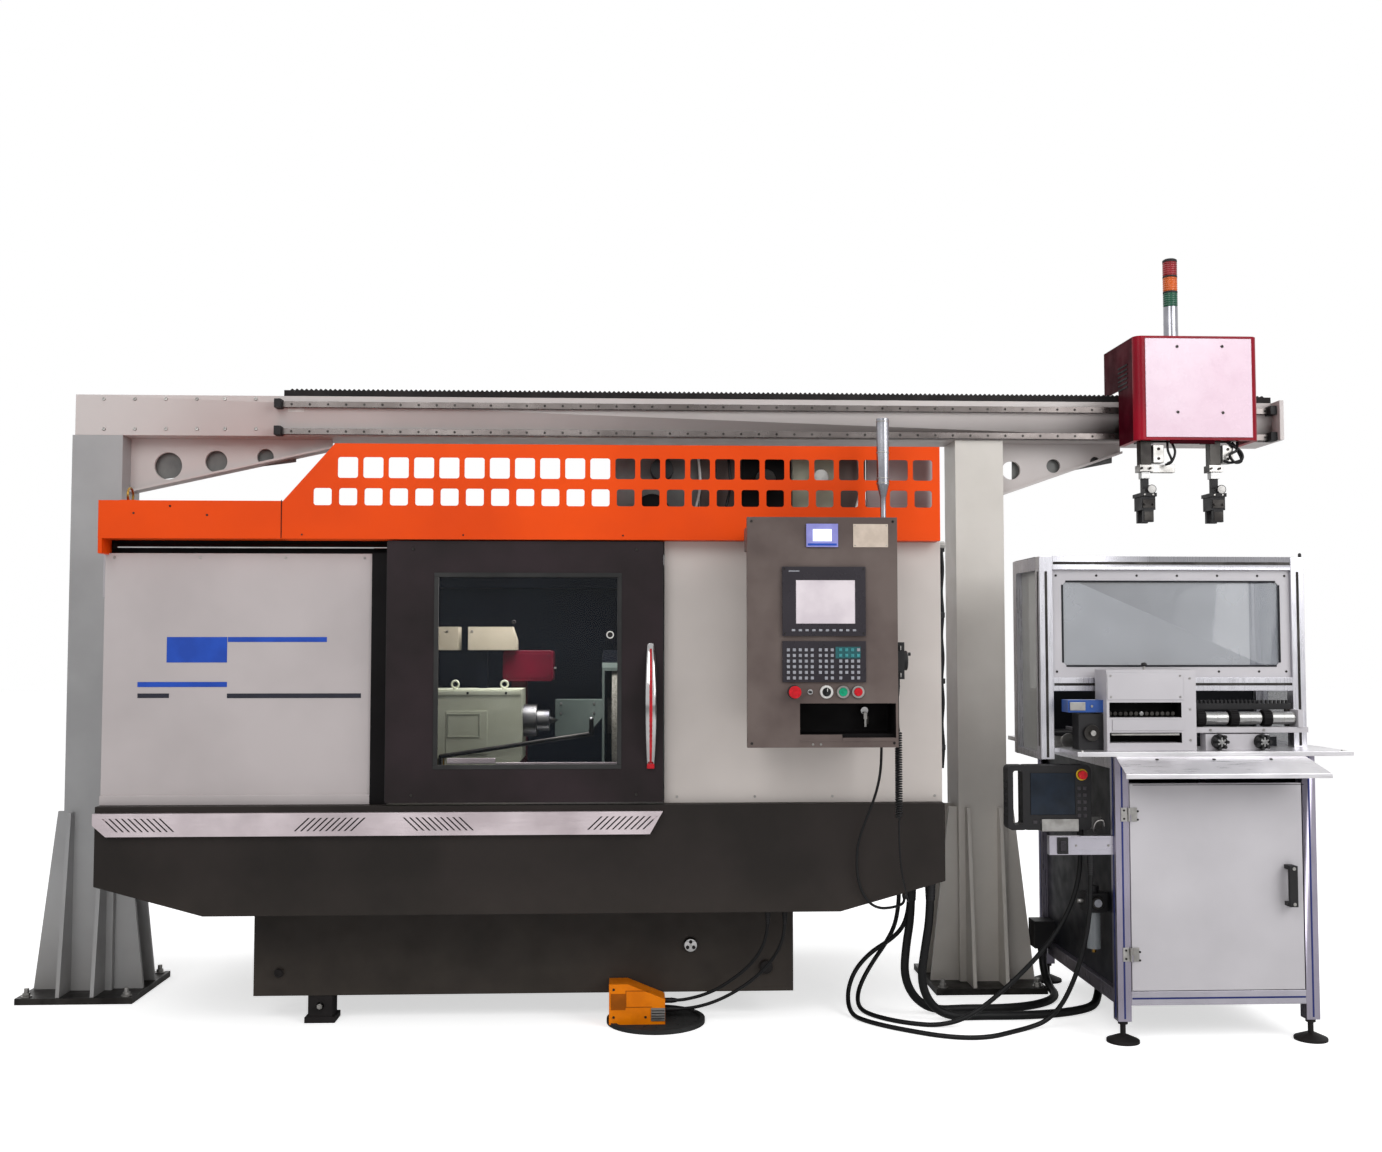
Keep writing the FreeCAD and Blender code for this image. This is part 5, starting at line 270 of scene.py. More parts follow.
class Paintbox:
    """Makes each finish's material once and hands it out."""

    specular = {Surface.ENAMEL: 0.45, Surface.DARK_ENAMEL: 0.16, Surface.PLASTIC: 0.30, Surface.RUBBER: 0.22,
                Surface.STONE: 0.12, Surface.GLOW: 0.5, Surface.GLASS: 0.5}

    def __init__(self) -> None:
        """Start with no material."""
        self._made: dict[str, bpy.types.Material] = {}

    def get(self, finish: Finish) -> bpy.types.Material:
        """Return the material of a finish.

        Args:
            finish: The finish to look up.

        Returns:
            Its node-based material.
        """
        if finish.name not in self._made:
            self._made[finish.name] = self._make(finish)
        return self._made[finish.name]

    def _make(self, finish: Finish) -> bpy.types.Material:
        """Build the nodes of one finish.

        Args:
            finish: The finish to build.

        Returns:
            The new material.
        """
        made = bpy.data.materials.new(finish.name)
        made.use_nodes = True
        tree = made.node_tree
        shader = tree.nodes["Principled BSDF"]
        place = add(tree, "TexCoord", {}, {}).outputs["Object"]
        drift = add(tree, "TexNoise", {"Scale": 1000 / finish.patch, "Detail": 4}, {"Vector": place})
        share = add(tree, "MapRange", {"From Min": 0.38, "From Max": 0.62}, {"Value": drift.outputs["Fac"]})
        tones = add(tree, "Mix", {6: srgb(finish.colour), 7: srgb(finish.second)},
                    {0: share.outputs["Result"]}, data_type="RGBA")
        colour = tones.outputs[2]
        if finish.dust:
            colour = self._dusty(tree, place, colour, finish.dust)
        tree.links.new(colour, shader.inputs["Base Color"])
        streaks = add(tree, "Mapping", {"Scale": finish.brush}, {"Vector": place})
        grain = add(tree, "TexNoise", {"Scale": 1000 / finish.grain, "Detail": 3},
                    {"Vector": streaks.outputs["Vector"]})
        wear = add(tree, "TexNoise", {"Scale": 20, "Detail": 5}, {"Vector": place})
        source = grain if finish.surface is Surface.BRUSHED else wear
        rough = add(tree, "MapRange", {"From Min": 0.35, "From Max": 0.68,
                                       "To Min": max(finish.rough - 0.06, 0.02),
                                       "To Max": min(finish.rough + 0.09, 1.0)},
                    {"Value": source.outputs["Fac"]})
        tree.links.new(rough.outputs["Result"], shader.inputs["Roughness"])
        relief = add(tree, "Bump", {"Strength": finish.bump, "Distance": 0.0008},
                     {"Height": grain.outputs["Fac"]})
        tree.links.new(relief.outputs["Normal"], shader.inputs["Normal"])
        self._body(shader, finish)
        return made

    def _body(self, shader: bpy.types.Node, finish: Finish) -> None:
        """Set the constants that follow from the kind of surface.

        Args:
            shader: The material's shader.
            finish: The finish to build.
        """
        if finish.surface in (Surface.METAL, Surface.BRUSHED):
            shader.inputs["Metallic"].default_value = 1.0
            return
        shader.inputs["Specular IOR Level"].default_value = self.specular[finish.surface] * finish.shine
        if finish.surface is Surface.ENAMEL:
            shader.inputs["Coat Weight"].default_value = 0.10
            shader.inputs["Coat Roughness"].default_value = 0.20
        elif finish.surface is Surface.GLASS:
            shader.inputs["Alpha"].default_value = 1 - finish.clear
            shader.inputs["IOR"].default_value = 1.49
        elif finish.surface is Surface.GLOW:
            shader.inputs["Emission Color"].default_value = srgb(finish.colour)
            shader.inputs["Emission Strength"].default_value = finish.glow

    def _dusty(self, tree: bpy.types.NodeTree, place: bpy.types.NodeSocket, colour: bpy.types.NodeSocket,
               most: float) -> bpy.types.NodeSocket:
        """Lay pale workshop dust over the lowest half metre.

        Args:
            tree: Node tree to add to.
            place: Object coordinates.
            colour: Colour without dust.
            most: Share of dust at the floor.

        Returns:
            The colour with dust.
        """
        split = add(tree, "SeparateXYZ", {}, {"Vector": place})
        fade = add(tree, "MapRange", {"From Max": DUST_TOP, "To Min": most, "To Max": 0.0},
                   {"Value": split.outputs["Z"]})
        cloud = add(tree, "TexNoise", {"Scale": 9, "Detail": 6}, {"Vector": place})
        share = add(tree, "Math", {}, {0: fade.outputs["Result"], 1: cloud.outputs["Fac"]},
                    operation="MULTIPLY")
        mixed = add(tree, "Mix", {7: srgb(DUST)}, {0: share.outputs["Value"], 6: colour}, data_type="RGBA")
        return mixed.outputs[2]


PAINT = Paintbox()


class Sightline:
    """The photograph's camera, to stand detail on a plane where its picture point falls."""

    frame_size = (1382.0, 1152.0)
    focal = 1382.0
    place = Vector((0.0, -4060.0, 1148.0))
    yaw = math.radians(2.4)
    pitch = math.radians(2.86)

    @classmethod
    def axes(cls) -> tuple[Vector, Vector, Vector]:
        """Return the camera's forward, right and up directions."""
        ahead = Vector((math.sin(cls.yaw) * math.cos(cls.pitch), math.cos(cls.yaw) * math.cos(cls.pitch),
                        math.sin(cls.pitch)))
        right = Vector((math.cos(cls.yaw), -math.sin(cls.yaw), 0.0))
        return ahead, right, right.cross(ahead)

    @classmethod
    def on_y(cls, across: float, down: float, y: float) -> tuple[float, float]:
        """Meet an upright plane that faces the camera.

        Args:
            across: Picture column.
            down: Picture row.
            y: Depth of the plane in millimetres.

        Returns:
            X and Z on the plane in millimetres.
        """
        ahead, right, up = cls.axes()
        ray = ahead + right * ((across - cls.frame_size[0] / 2) / cls.focal)
        ray -= up * ((down - cls.frame_size[1] / 2) / cls.focal)
        meet = cls.place + ray * ((y - cls.place.y) / ray.y)
        return meet.x, meet.z


def finished(made: bpy.types.Object, body: str, stands_for: tuple[str, ...] = ()) -> None:
    """Link a finished object, even out its normals and name its body.

    Args:
        made: The object.
        body: Body that it rides on.
        stands_for: CAD nodes that it replaces.
    """
    bpy.context.scene.collection.objects.link(made)
    evened = made.modifiers.new("flat_faces_stay_flat", "WEIGHTED_NORMAL")
    evened.keep_sharp = True
    evened.weight = 90
    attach(made, body)
    if stands_for:
        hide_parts(*stands_for)
    LOG.info("made %s, which rides on %s", made.name, body)


class Piece:
    """One object of the dressed model, gathered from bevelled solids in drawn millimetres."""

    def __init__(self, name: str, body: str) -> None:
        """Start an empty piece.

        Args:
            name: Name of the object.
            body: Body that it rides on.
        """
        self.name = name
        self.body = body
        self.mesh = bmesh.new()
        self.finishes: list[Finish] = []

    def _paint(self, finish: Finish, faces: list[bmesh.types.BMFace]) -> None:
        """Give faces a finish.

        Args:
            finish: Finish of the faces.
            faces: Faces to paint.
        """
        if finish not in self.finishes:
            self.finishes.append(finish)
        index = self.finishes.index(finish)
        for face in faces:
            face.material_index = index
            face.smooth = True

    def _round(self, verts: list[bmesh.types.BMVert], bevel: float) -> list[bmesh.types.BMFace]:
        """Bevel the sharp edges of new geometry.

        Args:
            verts: Vertices of the new solid.
            bevel: Width of the bevel in millimetres.

        Returns:
            All faces of the solid.
        """
        edges = {edge for vert in verts for edge in vert.link_edges if edge.calc_face_angle(0) > 0.5}
        faces = {face for vert in verts for face in vert.link_faces}
        if bevel > 0 and edges:
            made = bmesh.ops.bevel(self.mesh, geom=list(edges), offset=bevel, segments=2, profile=0.5,
                                   affect="EDGES", material=-1, clamp_overlap=True)
            faces = {face for face in faces if face.is_valid} | set(made["faces"])
            near = {vert for face in faces for vert in face.verts}
            faces |= {face for vert in near for face in vert.link_faces}
        return list(faces)

    def box(self, x0: float, x1: float, y0: float, y1: float, z0: float, z1: float, finish: Finish,
            bevel: float = 0.8) -> "Piece":
        """Add a block with bevelled edges.

        Args:
            x0: Left side.
            x1: Right side.
            y0: Front.
            y1: Back.
            z0: Bottom.
            z1: Top.
            finish: Finish of its faces.
            bevel: Bevel width.

        Returns:
            The piece itself.
        """
        size = Vector((x1 - x0, y1 - y0, z1 - z0))
        middle = Vector(((x0 + x1) / 2, (y0 + y1) / 2, (z0 + z1) / 2))
        place = Matrix.Translation(middle) @ Matrix.Diagonal((size.x, size.y, size.z, 1))
        made = bmesh.ops.create_cube(self.mesh, size=1, matrix=place)
        self._paint(finish, self._round(made["verts"], min(bevel, min(size) * 0.45)))
        return self

    def border(self, sides: Sides, y0: float, y1: float, wide: float, lap: float, finish: Finish,
               bevel: float) -> "Piece":
        """Add four blocks that frame an upright rectangle.

        Args:
            sides: Outer left, right, bottom and top.
            y0: Front.
            y1: Back.
            wide: Width of the blocks.
            lap: How far the upright ones reach into the level ones.
            finish: Finish of their faces.
            bevel: Bevel width.

        Returns:
            The piece itself.
        """
        x0, x1, z0, z1 = sides
        for low in (z0, z1 - wide):
            self.box(x0, x1, y0, y1, low, low + wide, finish, bevel)
        for left in (x0, x1 - wide):
            self.box(left, left + wide, y0, y1, z0 + wide - lap, z1 - wide + lap, finish, bevel)
        return self

    def rod(self, start: Point, axis: Axis, radius: float, length: float, finish: Finish,
            bevel: float = 0.6, sides: int = 32) -> "Piece":
        """Add a round bar along an axis.

        Args:
            start: Centre of its first end.
            axis: Axis that it runs along.
            radius: Radius of the bar.
            length: Length; negative runs the other way.
            finish: Finish of its faces.
            bevel: Bevel width of its end edges.
            sides: Faces around it.

        Returns:
            The piece itself.
        """
        place = Matrix.Translation(Vector(start) + Vector(axis.value) * (length / 2)) @ axis.turn
        made = bmesh.ops.create_cone(self.mesh, cap_ends=True, segments=sides, radius1=radius, radius2=radius,
                                     depth=abs(length), matrix=place)
        self._paint(finish, self._round(made["verts"], min(bevel, abs(length) * 0.4, radius * 0.4)))
        return self

    def prism(self, outline: list[Pair], axis: Axis, low: float, high: float, finish: Finish,
              bevel: float = 0.8) -> "Piece":
        """Extrude an outline along an axis.

        Args:
            outline: Corner points in the two other axes, in their X, Y, Z order.
            axis: Axis of the extrusion.
            low: Start along it.
            high: End along it.
            finish: Finish of its faces.
            bevel: Bevel width.

        Returns:
            The piece itself.
        """
        at = list(Axis).index(axis)
        corners = [self.mesh.verts.new([*pair[:at], low, *pair[at:]]) for pair in outline]
        base = self.mesh.faces.new(corners)
        made = bmesh.ops.extrude_face_region(self.mesh, geom=[base], use_keep_orig=True)
        moved = [item for item in made["geom"] if isinstance(item, bmesh.types.BMVert)]
        bmesh.ops.translate(self.mesh, verts=moved, vec=Vector(axis.value) * (high - low))
        verts = corners + moved
        faces = list({face for vert in verts for face in vert.link_faces})
        bmesh.ops.recalc_face_normals(self.mesh, faces=faces)
        self._paint(finish, self._round(verts, bevel))
        return self

    def lathe(self, base: Point, axis: Axis, profile: list[Pair], finish: Finish,
              sides: int = 32, hollow: bool = False) -> "Piece":
        """Turn a profile about an axis.

        Args:
            base: Point on the axis from which heights count.
            axis: Axis of the turned form.
            profile: Pairs of radius and height, from one end of the axis to the other.
            finish: Finish of its faces.
            sides: Faces around it.
            hollow: Whether the profile closes on itself and leaves a bore, as in a ring.

        Returns:
            The piece itself.
        """
        ends = [*profile, profile[0]] if hollow else [(0.0, profile[0][1]), *profile, (0.0, profile[-1][1])]
        shape = [pair for place, pair in enumerate(ends) if place == 0 or pair != ends[place - 1]]
        turn = Matrix.Translation(Vector(base)) @ axis.turn
        verts = [self.mesh.verts.new(turn @ Vector((radius, 0, height))) for radius, height in shape]
        edges = [self.mesh.edges.new(pair) for pair in zip(verts, verts[1:])]
        before = set(self.mesh.faces)
        bmesh.ops.spin(self.mesh, geom=verts + edges, cent=Vector(base), axis=Vector(axis.value),
                       angle=2 * math.pi, steps=sides, use_merge=True)
        faces = [face for face in self.mesh.faces if face not in before]
        around = list({vert for face in faces for vert in face.verts})
        bmesh.ops.remove_doubles(self.mesh, verts=around, dist=0.004)
        faces = [face for face in self.mesh.faces if face not in before]
        bmesh.ops.recalc_face_normals(self.mesh, faces=faces)
        self._paint(finish, faces)
        return self

    def screw(self, at: Point, radius: float, finish: Finish = ZINC, axis: Axis = Axis.Y,
              out: float = -1) -> "Piece":
        """Add a domed socket screw that stands on a face.

        Args:
            at: Middle of the head's seat.
            radius: Radius of its head.
            finish: Finish of the head.
            axis: Axis of the screw.
            out: +1 when the head points along the axis, else -1.

        Returns:
            The piece itself.
        """
        high = radius * 0.55
        profile = [(radius, -0.2), (radius, high * 0.5), (radius * 0.82, high), (radius * 0.45, high),
                   (radius * 0.40, high * 0.35)]
        return self.lathe(at, axis, [(r, out * h) for r, h in profile], finish, sides=14)

    def screws(self, xs: Iterable[float], ys: Iterable[float], zs: Iterable[float], radius: float,
               finish: Finish = ZINC, axis: Axis = Axis.Y, out: float = -1) -> "Piece":
        """Add a screw at each crossing of the given places.

        Args:
            xs: Places along X.
            ys: Places along Y.
            zs: Places along Z.
            radius: Radius of the heads.
            finish: Finish of the heads.
            axis: Axis of the screws.
            out: +1 when the heads point along the axis, else -1.

        Returns:
            The piece itself.
        """
        for at in product(xs, ys, zs):
            self.screw(at, radius, finish, axis, out)
        return self

    def ring(self, place: Matrix, across: float, deep: float, sides: int = 16) -> list[bmesh.types.BMEdge]:
        """Add an open oval ring, to be bridged to its neighbours.

        Args:
            place: Frame of the ring, which lies in its X and Y.
            across: Half of its width along X in millimetres.
            deep: Half of its width along Y in millimetres.
            sides: Edges around it.

        Returns:
            The ring's edges.
        """
        shape = place @ Matrix.Diagonal((across, deep, 1, 1))
        made = bmesh.ops.create_circle(self.mesh, cap_ends=False, radius=1, segments=sides, matrix=shape)
        return list({edge for vert in made["verts"] for edge in vert.link_edges})

    def bridge(self, rings: list[list[bmesh.types.BMEdge]], finish: Finish) -> "Piece":
        """Join rings into one closed skin.

        Args:
            rings: Edges of each ring in turn.
            finish: Finish of the skin.

        Returns:
            The piece itself.
        """
        faces = []
        for low, high in zip(rings, rings[1:]):
            faces += bmesh.ops.bridge_loops(self.mesh, edges=low + high)["faces"]
        for end in (rings[0], rings[-1]):
            faces += bmesh.ops.holes_fill(self.mesh, edges=end)["faces"]
        bmesh.ops.recalc_face_normals(self.mesh, faces=faces)
        self._paint(finish, faces)
        return self

    def pipe(self, points: list[Point], radius: float, finish: Finish) -> "Piece":
        """Run a round tube through points.

        Args:
            points: Places that the tube passes.
            radius: Radius of the tube.
            finish: Finish of the tube.

        Returns:
            The piece itself.
        """
        line = soft_line(points, 8)
        rings = []
        side = None
        for index, spot in enumerate(line):
            ahead = (line[min(index + 1, len(line) - 1)] - line[max(index - 1, 0)]).normalized()
            side = ahead.orthogonal() if side is None else side - ahead * side.dot(ahead)
            side.normalize()
            turn = Matrix((side, ahead.cross(side), ahead)).transposed().to_4x4()
            rings.append(self.ring(Matrix.Translation(spot) @ turn, radius, radius))
        return self.bridge(rings, finish)

    def make(self, slot: str, stands_for: tuple[str, ...] = ()) -> bpy.types.Object:
        """Turn the gathered solids into one object of the scene.

        Args:
            slot: Material slot of the record; not used.
            stands_for: CAD nodes that it replaces.

        Returns:
            The new object, riding on its body.
        """
        for vert in self.mesh.verts:
            vert.co = metres(vert.co)
        data = bpy.data.meshes.new(self.name)
        self.mesh.to_mesh(data)
        self.mesh.free()
        data.set_sharp_from_angle(angle=math.radians(40))
        for finish in self.finishes:
            data.materials.append(PAINT.get(finish))
        made = bpy.data.objects.new(self.name, data)
        finished(made, self.body, stands_for)
        return made


def soft_line(points: list[Point], steps: int) -> list[Vector]:
    """Run a smooth line through points.

    Args:
        points: Places that the line passes.
        steps: Pieces between two neighbours.

    Returns:
        Points along the line.
    """
    spots = [Vector(point) for point in points]
    if len(spots) < 3:
        return spots
    ends = [spots[0] * 2 - spots[1]] + spots + [spots[-1] * 2 - spots[-2]]
    line = []
    for index in range(1, len(ends) - 2):
        a, b, c, d = ends[index - 1:index + 3]
        for step in range(steps):
            t = step / steps
            line.append(0.5 * (2 * b + (c - a) * t + (2 * a - 5 * b + 4 * c - d) * t ** 2
                               + (3 * b - a - 3 * c + d) * t ** 3))
    return line + [spots[-1]]


class Dresser:
    """Gives CAD nodes their finishes and their softened edges."""

    def __init__(self) -> None:
        """Read the slots and bodies of the nodes from the record."""
        self.slots = {part["node"]: part["material_slot"] for part in frame["record"]["subparts"]}
        self.bodies = {node: body for body, nodes in frame["record"]["behaviour"]["bodies"].items()
                       for node in nodes}

    def paint(self, node: str, finish: Finish) -> None:
        """Put one finish on a CAD node as it is.

        Args:
            node: The node.
            finish: Its finish.
        """
        data = frame["nodes"][node].data
        data.materials.clear()
        data.materials.append(PAINT.get(finish))

    def soften(self, node: str, finish: Finish, bevel: float,
               zones: tuple[Zone, ...] = ()) -> bpy.types.Object:
        """Stand a copy with bevelled edges in for a CAD node.

        Args:
            node: The node.
            finish: Finish of its faces.
            bevel: Width of the bevel in millimetres.
            zones: Boxes in drawn millimetres whose faces get another finish.

        Returns:
            The new object.
        """
        work = bmesh.new()
        work.from_mesh(frame["nodes"][node].data)
        bmesh.ops.remove_doubles(work, verts=work.verts, dist=1e-6)
        bmesh.ops.dissolve_limit(work, angle_limit=math.radians(0.6), verts=work.verts, edges=work.edges)
        finishes = [finish]
        for _, _, other in zones:
            if other not in finishes:
                finishes.append(other)
        boxes = [(metres(low), metres(high), finishes.index(other)) for low, high, other in zones]
        for face in work.faces:
            middle = face.calc_center_median()
            face.material_index = 0
            for low, high, index in boxes:
                if all(low[axis] <= middle[axis] <= high[axis] for axis in range(3)):
                    face.material_index = index
        sharp = [edge for edge in work.edges if edge.is_manifold
                 and edge.calc_face_angle(0) > math.radians(35)]
        if bevel > 0 and sharp:
            bmesh.ops.bevel(work, geom=sharp, offset=bevel / 1000, segments=2, profile=0.5,
                            affect="EDGES", material=-1, clamp_overlap=True)
        for face in work.faces:
            face.smooth = True
        data = bpy.data.meshes.new(node + "_dressed")
        work.to_mesh(data)
        work.free()
        data.set_sharp_from_angle(angle=math.radians(38))
        for each in finishes:
            data.materials.append(PAINT.get(each))
        made = bpy.data.objects.new(node + "_dressed", data)
        finished(made, self.bodies[node], (node,))
        return made


DRESSER = Dresser()


class Assembly:
    """A sub-assembly whose make_ methods build its pieces and dress its CAD nodes."""

    def build(self) -> None:
        """Run the make_ methods in the order in which the class holds them."""
        for name, step in vars(type(self)).items():
            if name.startswith("make_"):
                LOG.info("%s: %s", type(self).__name__, name)
                step(self)


@dataclass(frozen=True)
class CordPlan:
    """One free cord: its route in drawn millimetres and its facts."""

    node: str
    route: tuple[Point, ...]
    diameter: float
    length: float
    stiffness: str
    lay: str = "loose"
    finish: Finish = CABLE
    steps: int = 8
    rounds: int = 5


class Cords:
    """The cell's free cables and the coiled lead of the handwheel."""

    plans = (
        CordPlan("trunk_cable_front",
                 ((856, 200, 416.8), (856, 200, 325), (842, 222, 215), (838, 232, 125), (874, 247, 53),
                  (940, 268, 13), (1040, 285, 13), (1147, 280, 13), (1250, 305, 13), (1330, 362, 13),
                  (1376, 440, 13), (1384, 525, 13), (1384, 578, 35), (1384, 604, 66), (1384, 612, 92),
                  (1384, 612, 130)), 26, 1197.0, "stiff"),
        CordPlan("trunk_cable_rear",
                 ((900, 130, 429.0), (900, 130, 335), (886, 150, 225), (876, 165, 130), (905, 178, 55),
                  (968, 192, 13), (1070, 200, 13), (1180, 196, 13), (1290, 210, 13), (1385, 245, 13),
                  (1455, 300, 13), (1479, 338, 34), (1489, 354, 68), (1489, 354, 104.5)),
                 26, 1090.2, "stiff"),
        CordPlan("feeder_cable",
                 ((880, 350, 423.5), (880, 350, 365), (878, 360, 300), (862, 372, 245), (822, 382, 205),
                  (765, 386, 170), (712, 376, 120), (682, 344, 68), (673, 295, 27), (680, 240, 7),
                  (708, 180, 7), (760, 118, 7), (830, 58, 7), (900, 8, 7), (975, -18, 7), (1050, -8, 7),
                  (1118, 38, 7), (1180, 80, 7), (1238, 92, 22), (1280, 74, 72), (1306, 42, 148),
                  (1322, 5, 235), (1332, -28, 335), (1335, -42, 430), (1335, -42, 516)),
                 14, 1794.3, "medium"),
        CordPlan("pendant_cable",
                 ((862, 425, 418.5), (862, 425, 360), (860, 432, 300), (850, 440, 240), (822, 444, 185),
                  (782, 440, 132), (748, 425, 85), (722, 395, 45), (712, 350, 17), (718, 298, 7),
                  (742, 240, 7), (786, 185, 7), (845, 142, 7), (912, 118, 7), (985, 112, 22),
                  (1052, 112, 60), (1115, 108, 112), (1172, 98, 168), (1225, 80, 232), (1272, 58, 305),
                  (1306, 38, 385), (1324, 28, 465), (1328, 26, 525), (1328, 26, 581)), 14, 1579.2, "medium"),
        CordPlan("panel_cable",
                 ((717, -80, 883), (717, -80, 835), (714, -74, 775), (703, -62, 718), (686, -50, 668),
                  (668, -38, 617), (655, -28, 570), (652, -20, 520), (656, -16, 465), (672, -14, 420),
                  (695, -10, 392), (725, 2, 378), (758, 22, 376), (785, 44, 377), (802, 57, 381),
                  (808, 62, 391), (808, 62, 403.5)), 8, 669.7, "medium", "hanging"),
        CordPlan("pedal_cable_near",
                 ((404, 100, 348), (404, 100, 310), (396, 110, 262), (375, 128, 215), (345, 150, 175),
                  (305, 172, 138), (260, 192, 104), (212, 210, 80), (166, 224, 66), (140, 229, 62),
                  (121, 229, 62)), 10, 466.7, "medium", "hanging"),
        CordPlan("pedal_cable_far",
                 ((455, 100, 348), (455, 100, 305), (446, 112, 255), (422, 132, 205), (385, 152, 158),
                  (340, 170, 118), (290, 187, 84), (238, 203, 58), (188, 218, 42), (150, 229, 36),
                  (121, 229, 36)), 10, 525.3, "medium", "hanging"),
    )
    curly = CordPlan("handwheel_curly_cord",
                     ((752, -154, 1030), (752, -154, 916), (752, -154, 905), (752, -154, 780),
                      (752, -154, 660.2), (752, -154, 649.2), (752, -154, 600), (757, -140, 545),
                      (768, -112, 492), (784, -75, 445), (800, -30, 412), (811, 15, 396), (818, 48, 388),
                      (820, 72, 386), (820, 88, 391), (820, 95, 399), (820, 95, 406.8)),
                     5.0, 2510.3, "limp", "hanging", HOSE, steps=2, rounds=3)
    curl_top = 905.0
    curl_pitch = 6.8
    curl_count = 36
    curl_radius = 8.5
    curl_steps = 16
    curl_clear = 0.011

    def _spline(self, name: str, points: list[Vector], radius: float, steps: int = 8,
                rounds: int = 5) -> bpy.types.Object:
        """Make a curve of one open spline whose control points are given.

        Args:
            name: Name of the object.
            points: Control points in metres.
            radius: Radius of the tube in metres; none for a bare line.
            steps: Pieces between two control points.
            rounds: Fineness of the tube's section.

        Returns:
            The curve object, linked to the scene.
        """
        data = bpy.data.curves.new(name, "CURVE")
        data.dimensions = "3D"
        data.bevel_depth = radius
        data.bevel_resolution = rounds
        data.use_fill_caps = True
        spline = data.splines.new("NURBS")
        spline.points.add(len(points) - 1)
        for spot, point in zip(spline.points, points):
            spot.co = (*point, 1)
        spline.order_u = 3
        spline.use_endpoint_u = True
        spline.resolution_u = steps
        made = bpy.data.objects.new(name, data)
        bpy.context.scene.collection.objects.link(made)
        return made

    def _curled(self) -> list[Vector]:
        """Wind the handwheel lead's curls about the line read from its route.

        Returns:
            Control points of the curly cord, in metres.
        """
        guide = self._spline("curl_guide", [metres(point) for point in self.curly.route], 0)
        line = bpy.data.meshes.new_from_object(guide)
        spots = [vert.co.copy() for vert in line.vertices]
        bpy.data.objects.remove(guide)
        bpy.data.meshes.remove(line)
        top = self.curl_top / 1000
        pitch = self.curl_pitch / 1000
        low = top - pitch * self.curl_count
        points = [spot for spot in spots if spot.z > top + self.curl_clear]
        centre = metres(self.curly.route[0])
        for step in range(self.curl_count * self.curl_steps + 1):
            turn = step / self.curl_steps
            edge = min(turn, self.curl_count - turn, 0.5) / 0.5
            radius = self.curl_radius / 1000 * (0.25 + 0.75 * edge)
            angle = 2 * math.pi * turn
            points.append(Vector((centre.x + radius * math.cos(angle), centre.y + radius * math.sin(angle),
                                  top - pitch * turn)))
        points.extend(spot for spot in spots if spot.z < low - self.curl_clear)
        return points

    def make(self) -> None:
        """Make every cord and its tapered strain reliefs."""
        for plan in (*self.plans, self.curly):
            name = plan.node.removesuffix("_cord")
            points = self._curled() if plan is self.curly else [metres(point) for point in plan.route]
            made = self._spline(name + "_run", points, plan.diameter / 2000, plan.steps, plan.rounds)
            made.data.materials.append(PAINT.get(plan.finish))
            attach(made, "machine")
            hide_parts(plan.node)
            LOG.info("made %s", made.name)
            self._boots(name, plan.route, plan.diameter / 2)

    def _boots(self, name: str, route: tuple[Point, ...], radius: float) -> None:
        """Put a tapered, ribbed strain relief at both ends of a route.

        Args:
            name: Start of the piece's name.
            route: The cord's route.
            radius: Radius of the cord.
        """
        piece = Piece(name + "_boots", "machine")
        for end, near in ((route[0], route[1]), (route[-1], route[-2])):
            way = Vector(near) - Vector(end)
            axis = Axis.X if abs(way.x) > abs(way.z) else Axis.Z
            sign = math.copysign(1, way.x if axis is Axis.X else way.z)
            long = min(way.length * 0.8, 20 + radius * 2.5)
            profile = [(radius + 0.2, -3), (radius + 3.4, -3)]
            for rib in range(6):
                at = long * rib / 6
                wide = radius + 3.2 - 2.4 * rib / 6
                profile += [(wide, at), (wide, at + long / 9), (wide - 0.9, at + long / 8)]
            profile += [(radius + 0.3, long)]
            piece.lathe(end, axis, [(r, sign * h) for r, h in profile], MATT_BLACK, sides=24)
        piece.make("cable_black")


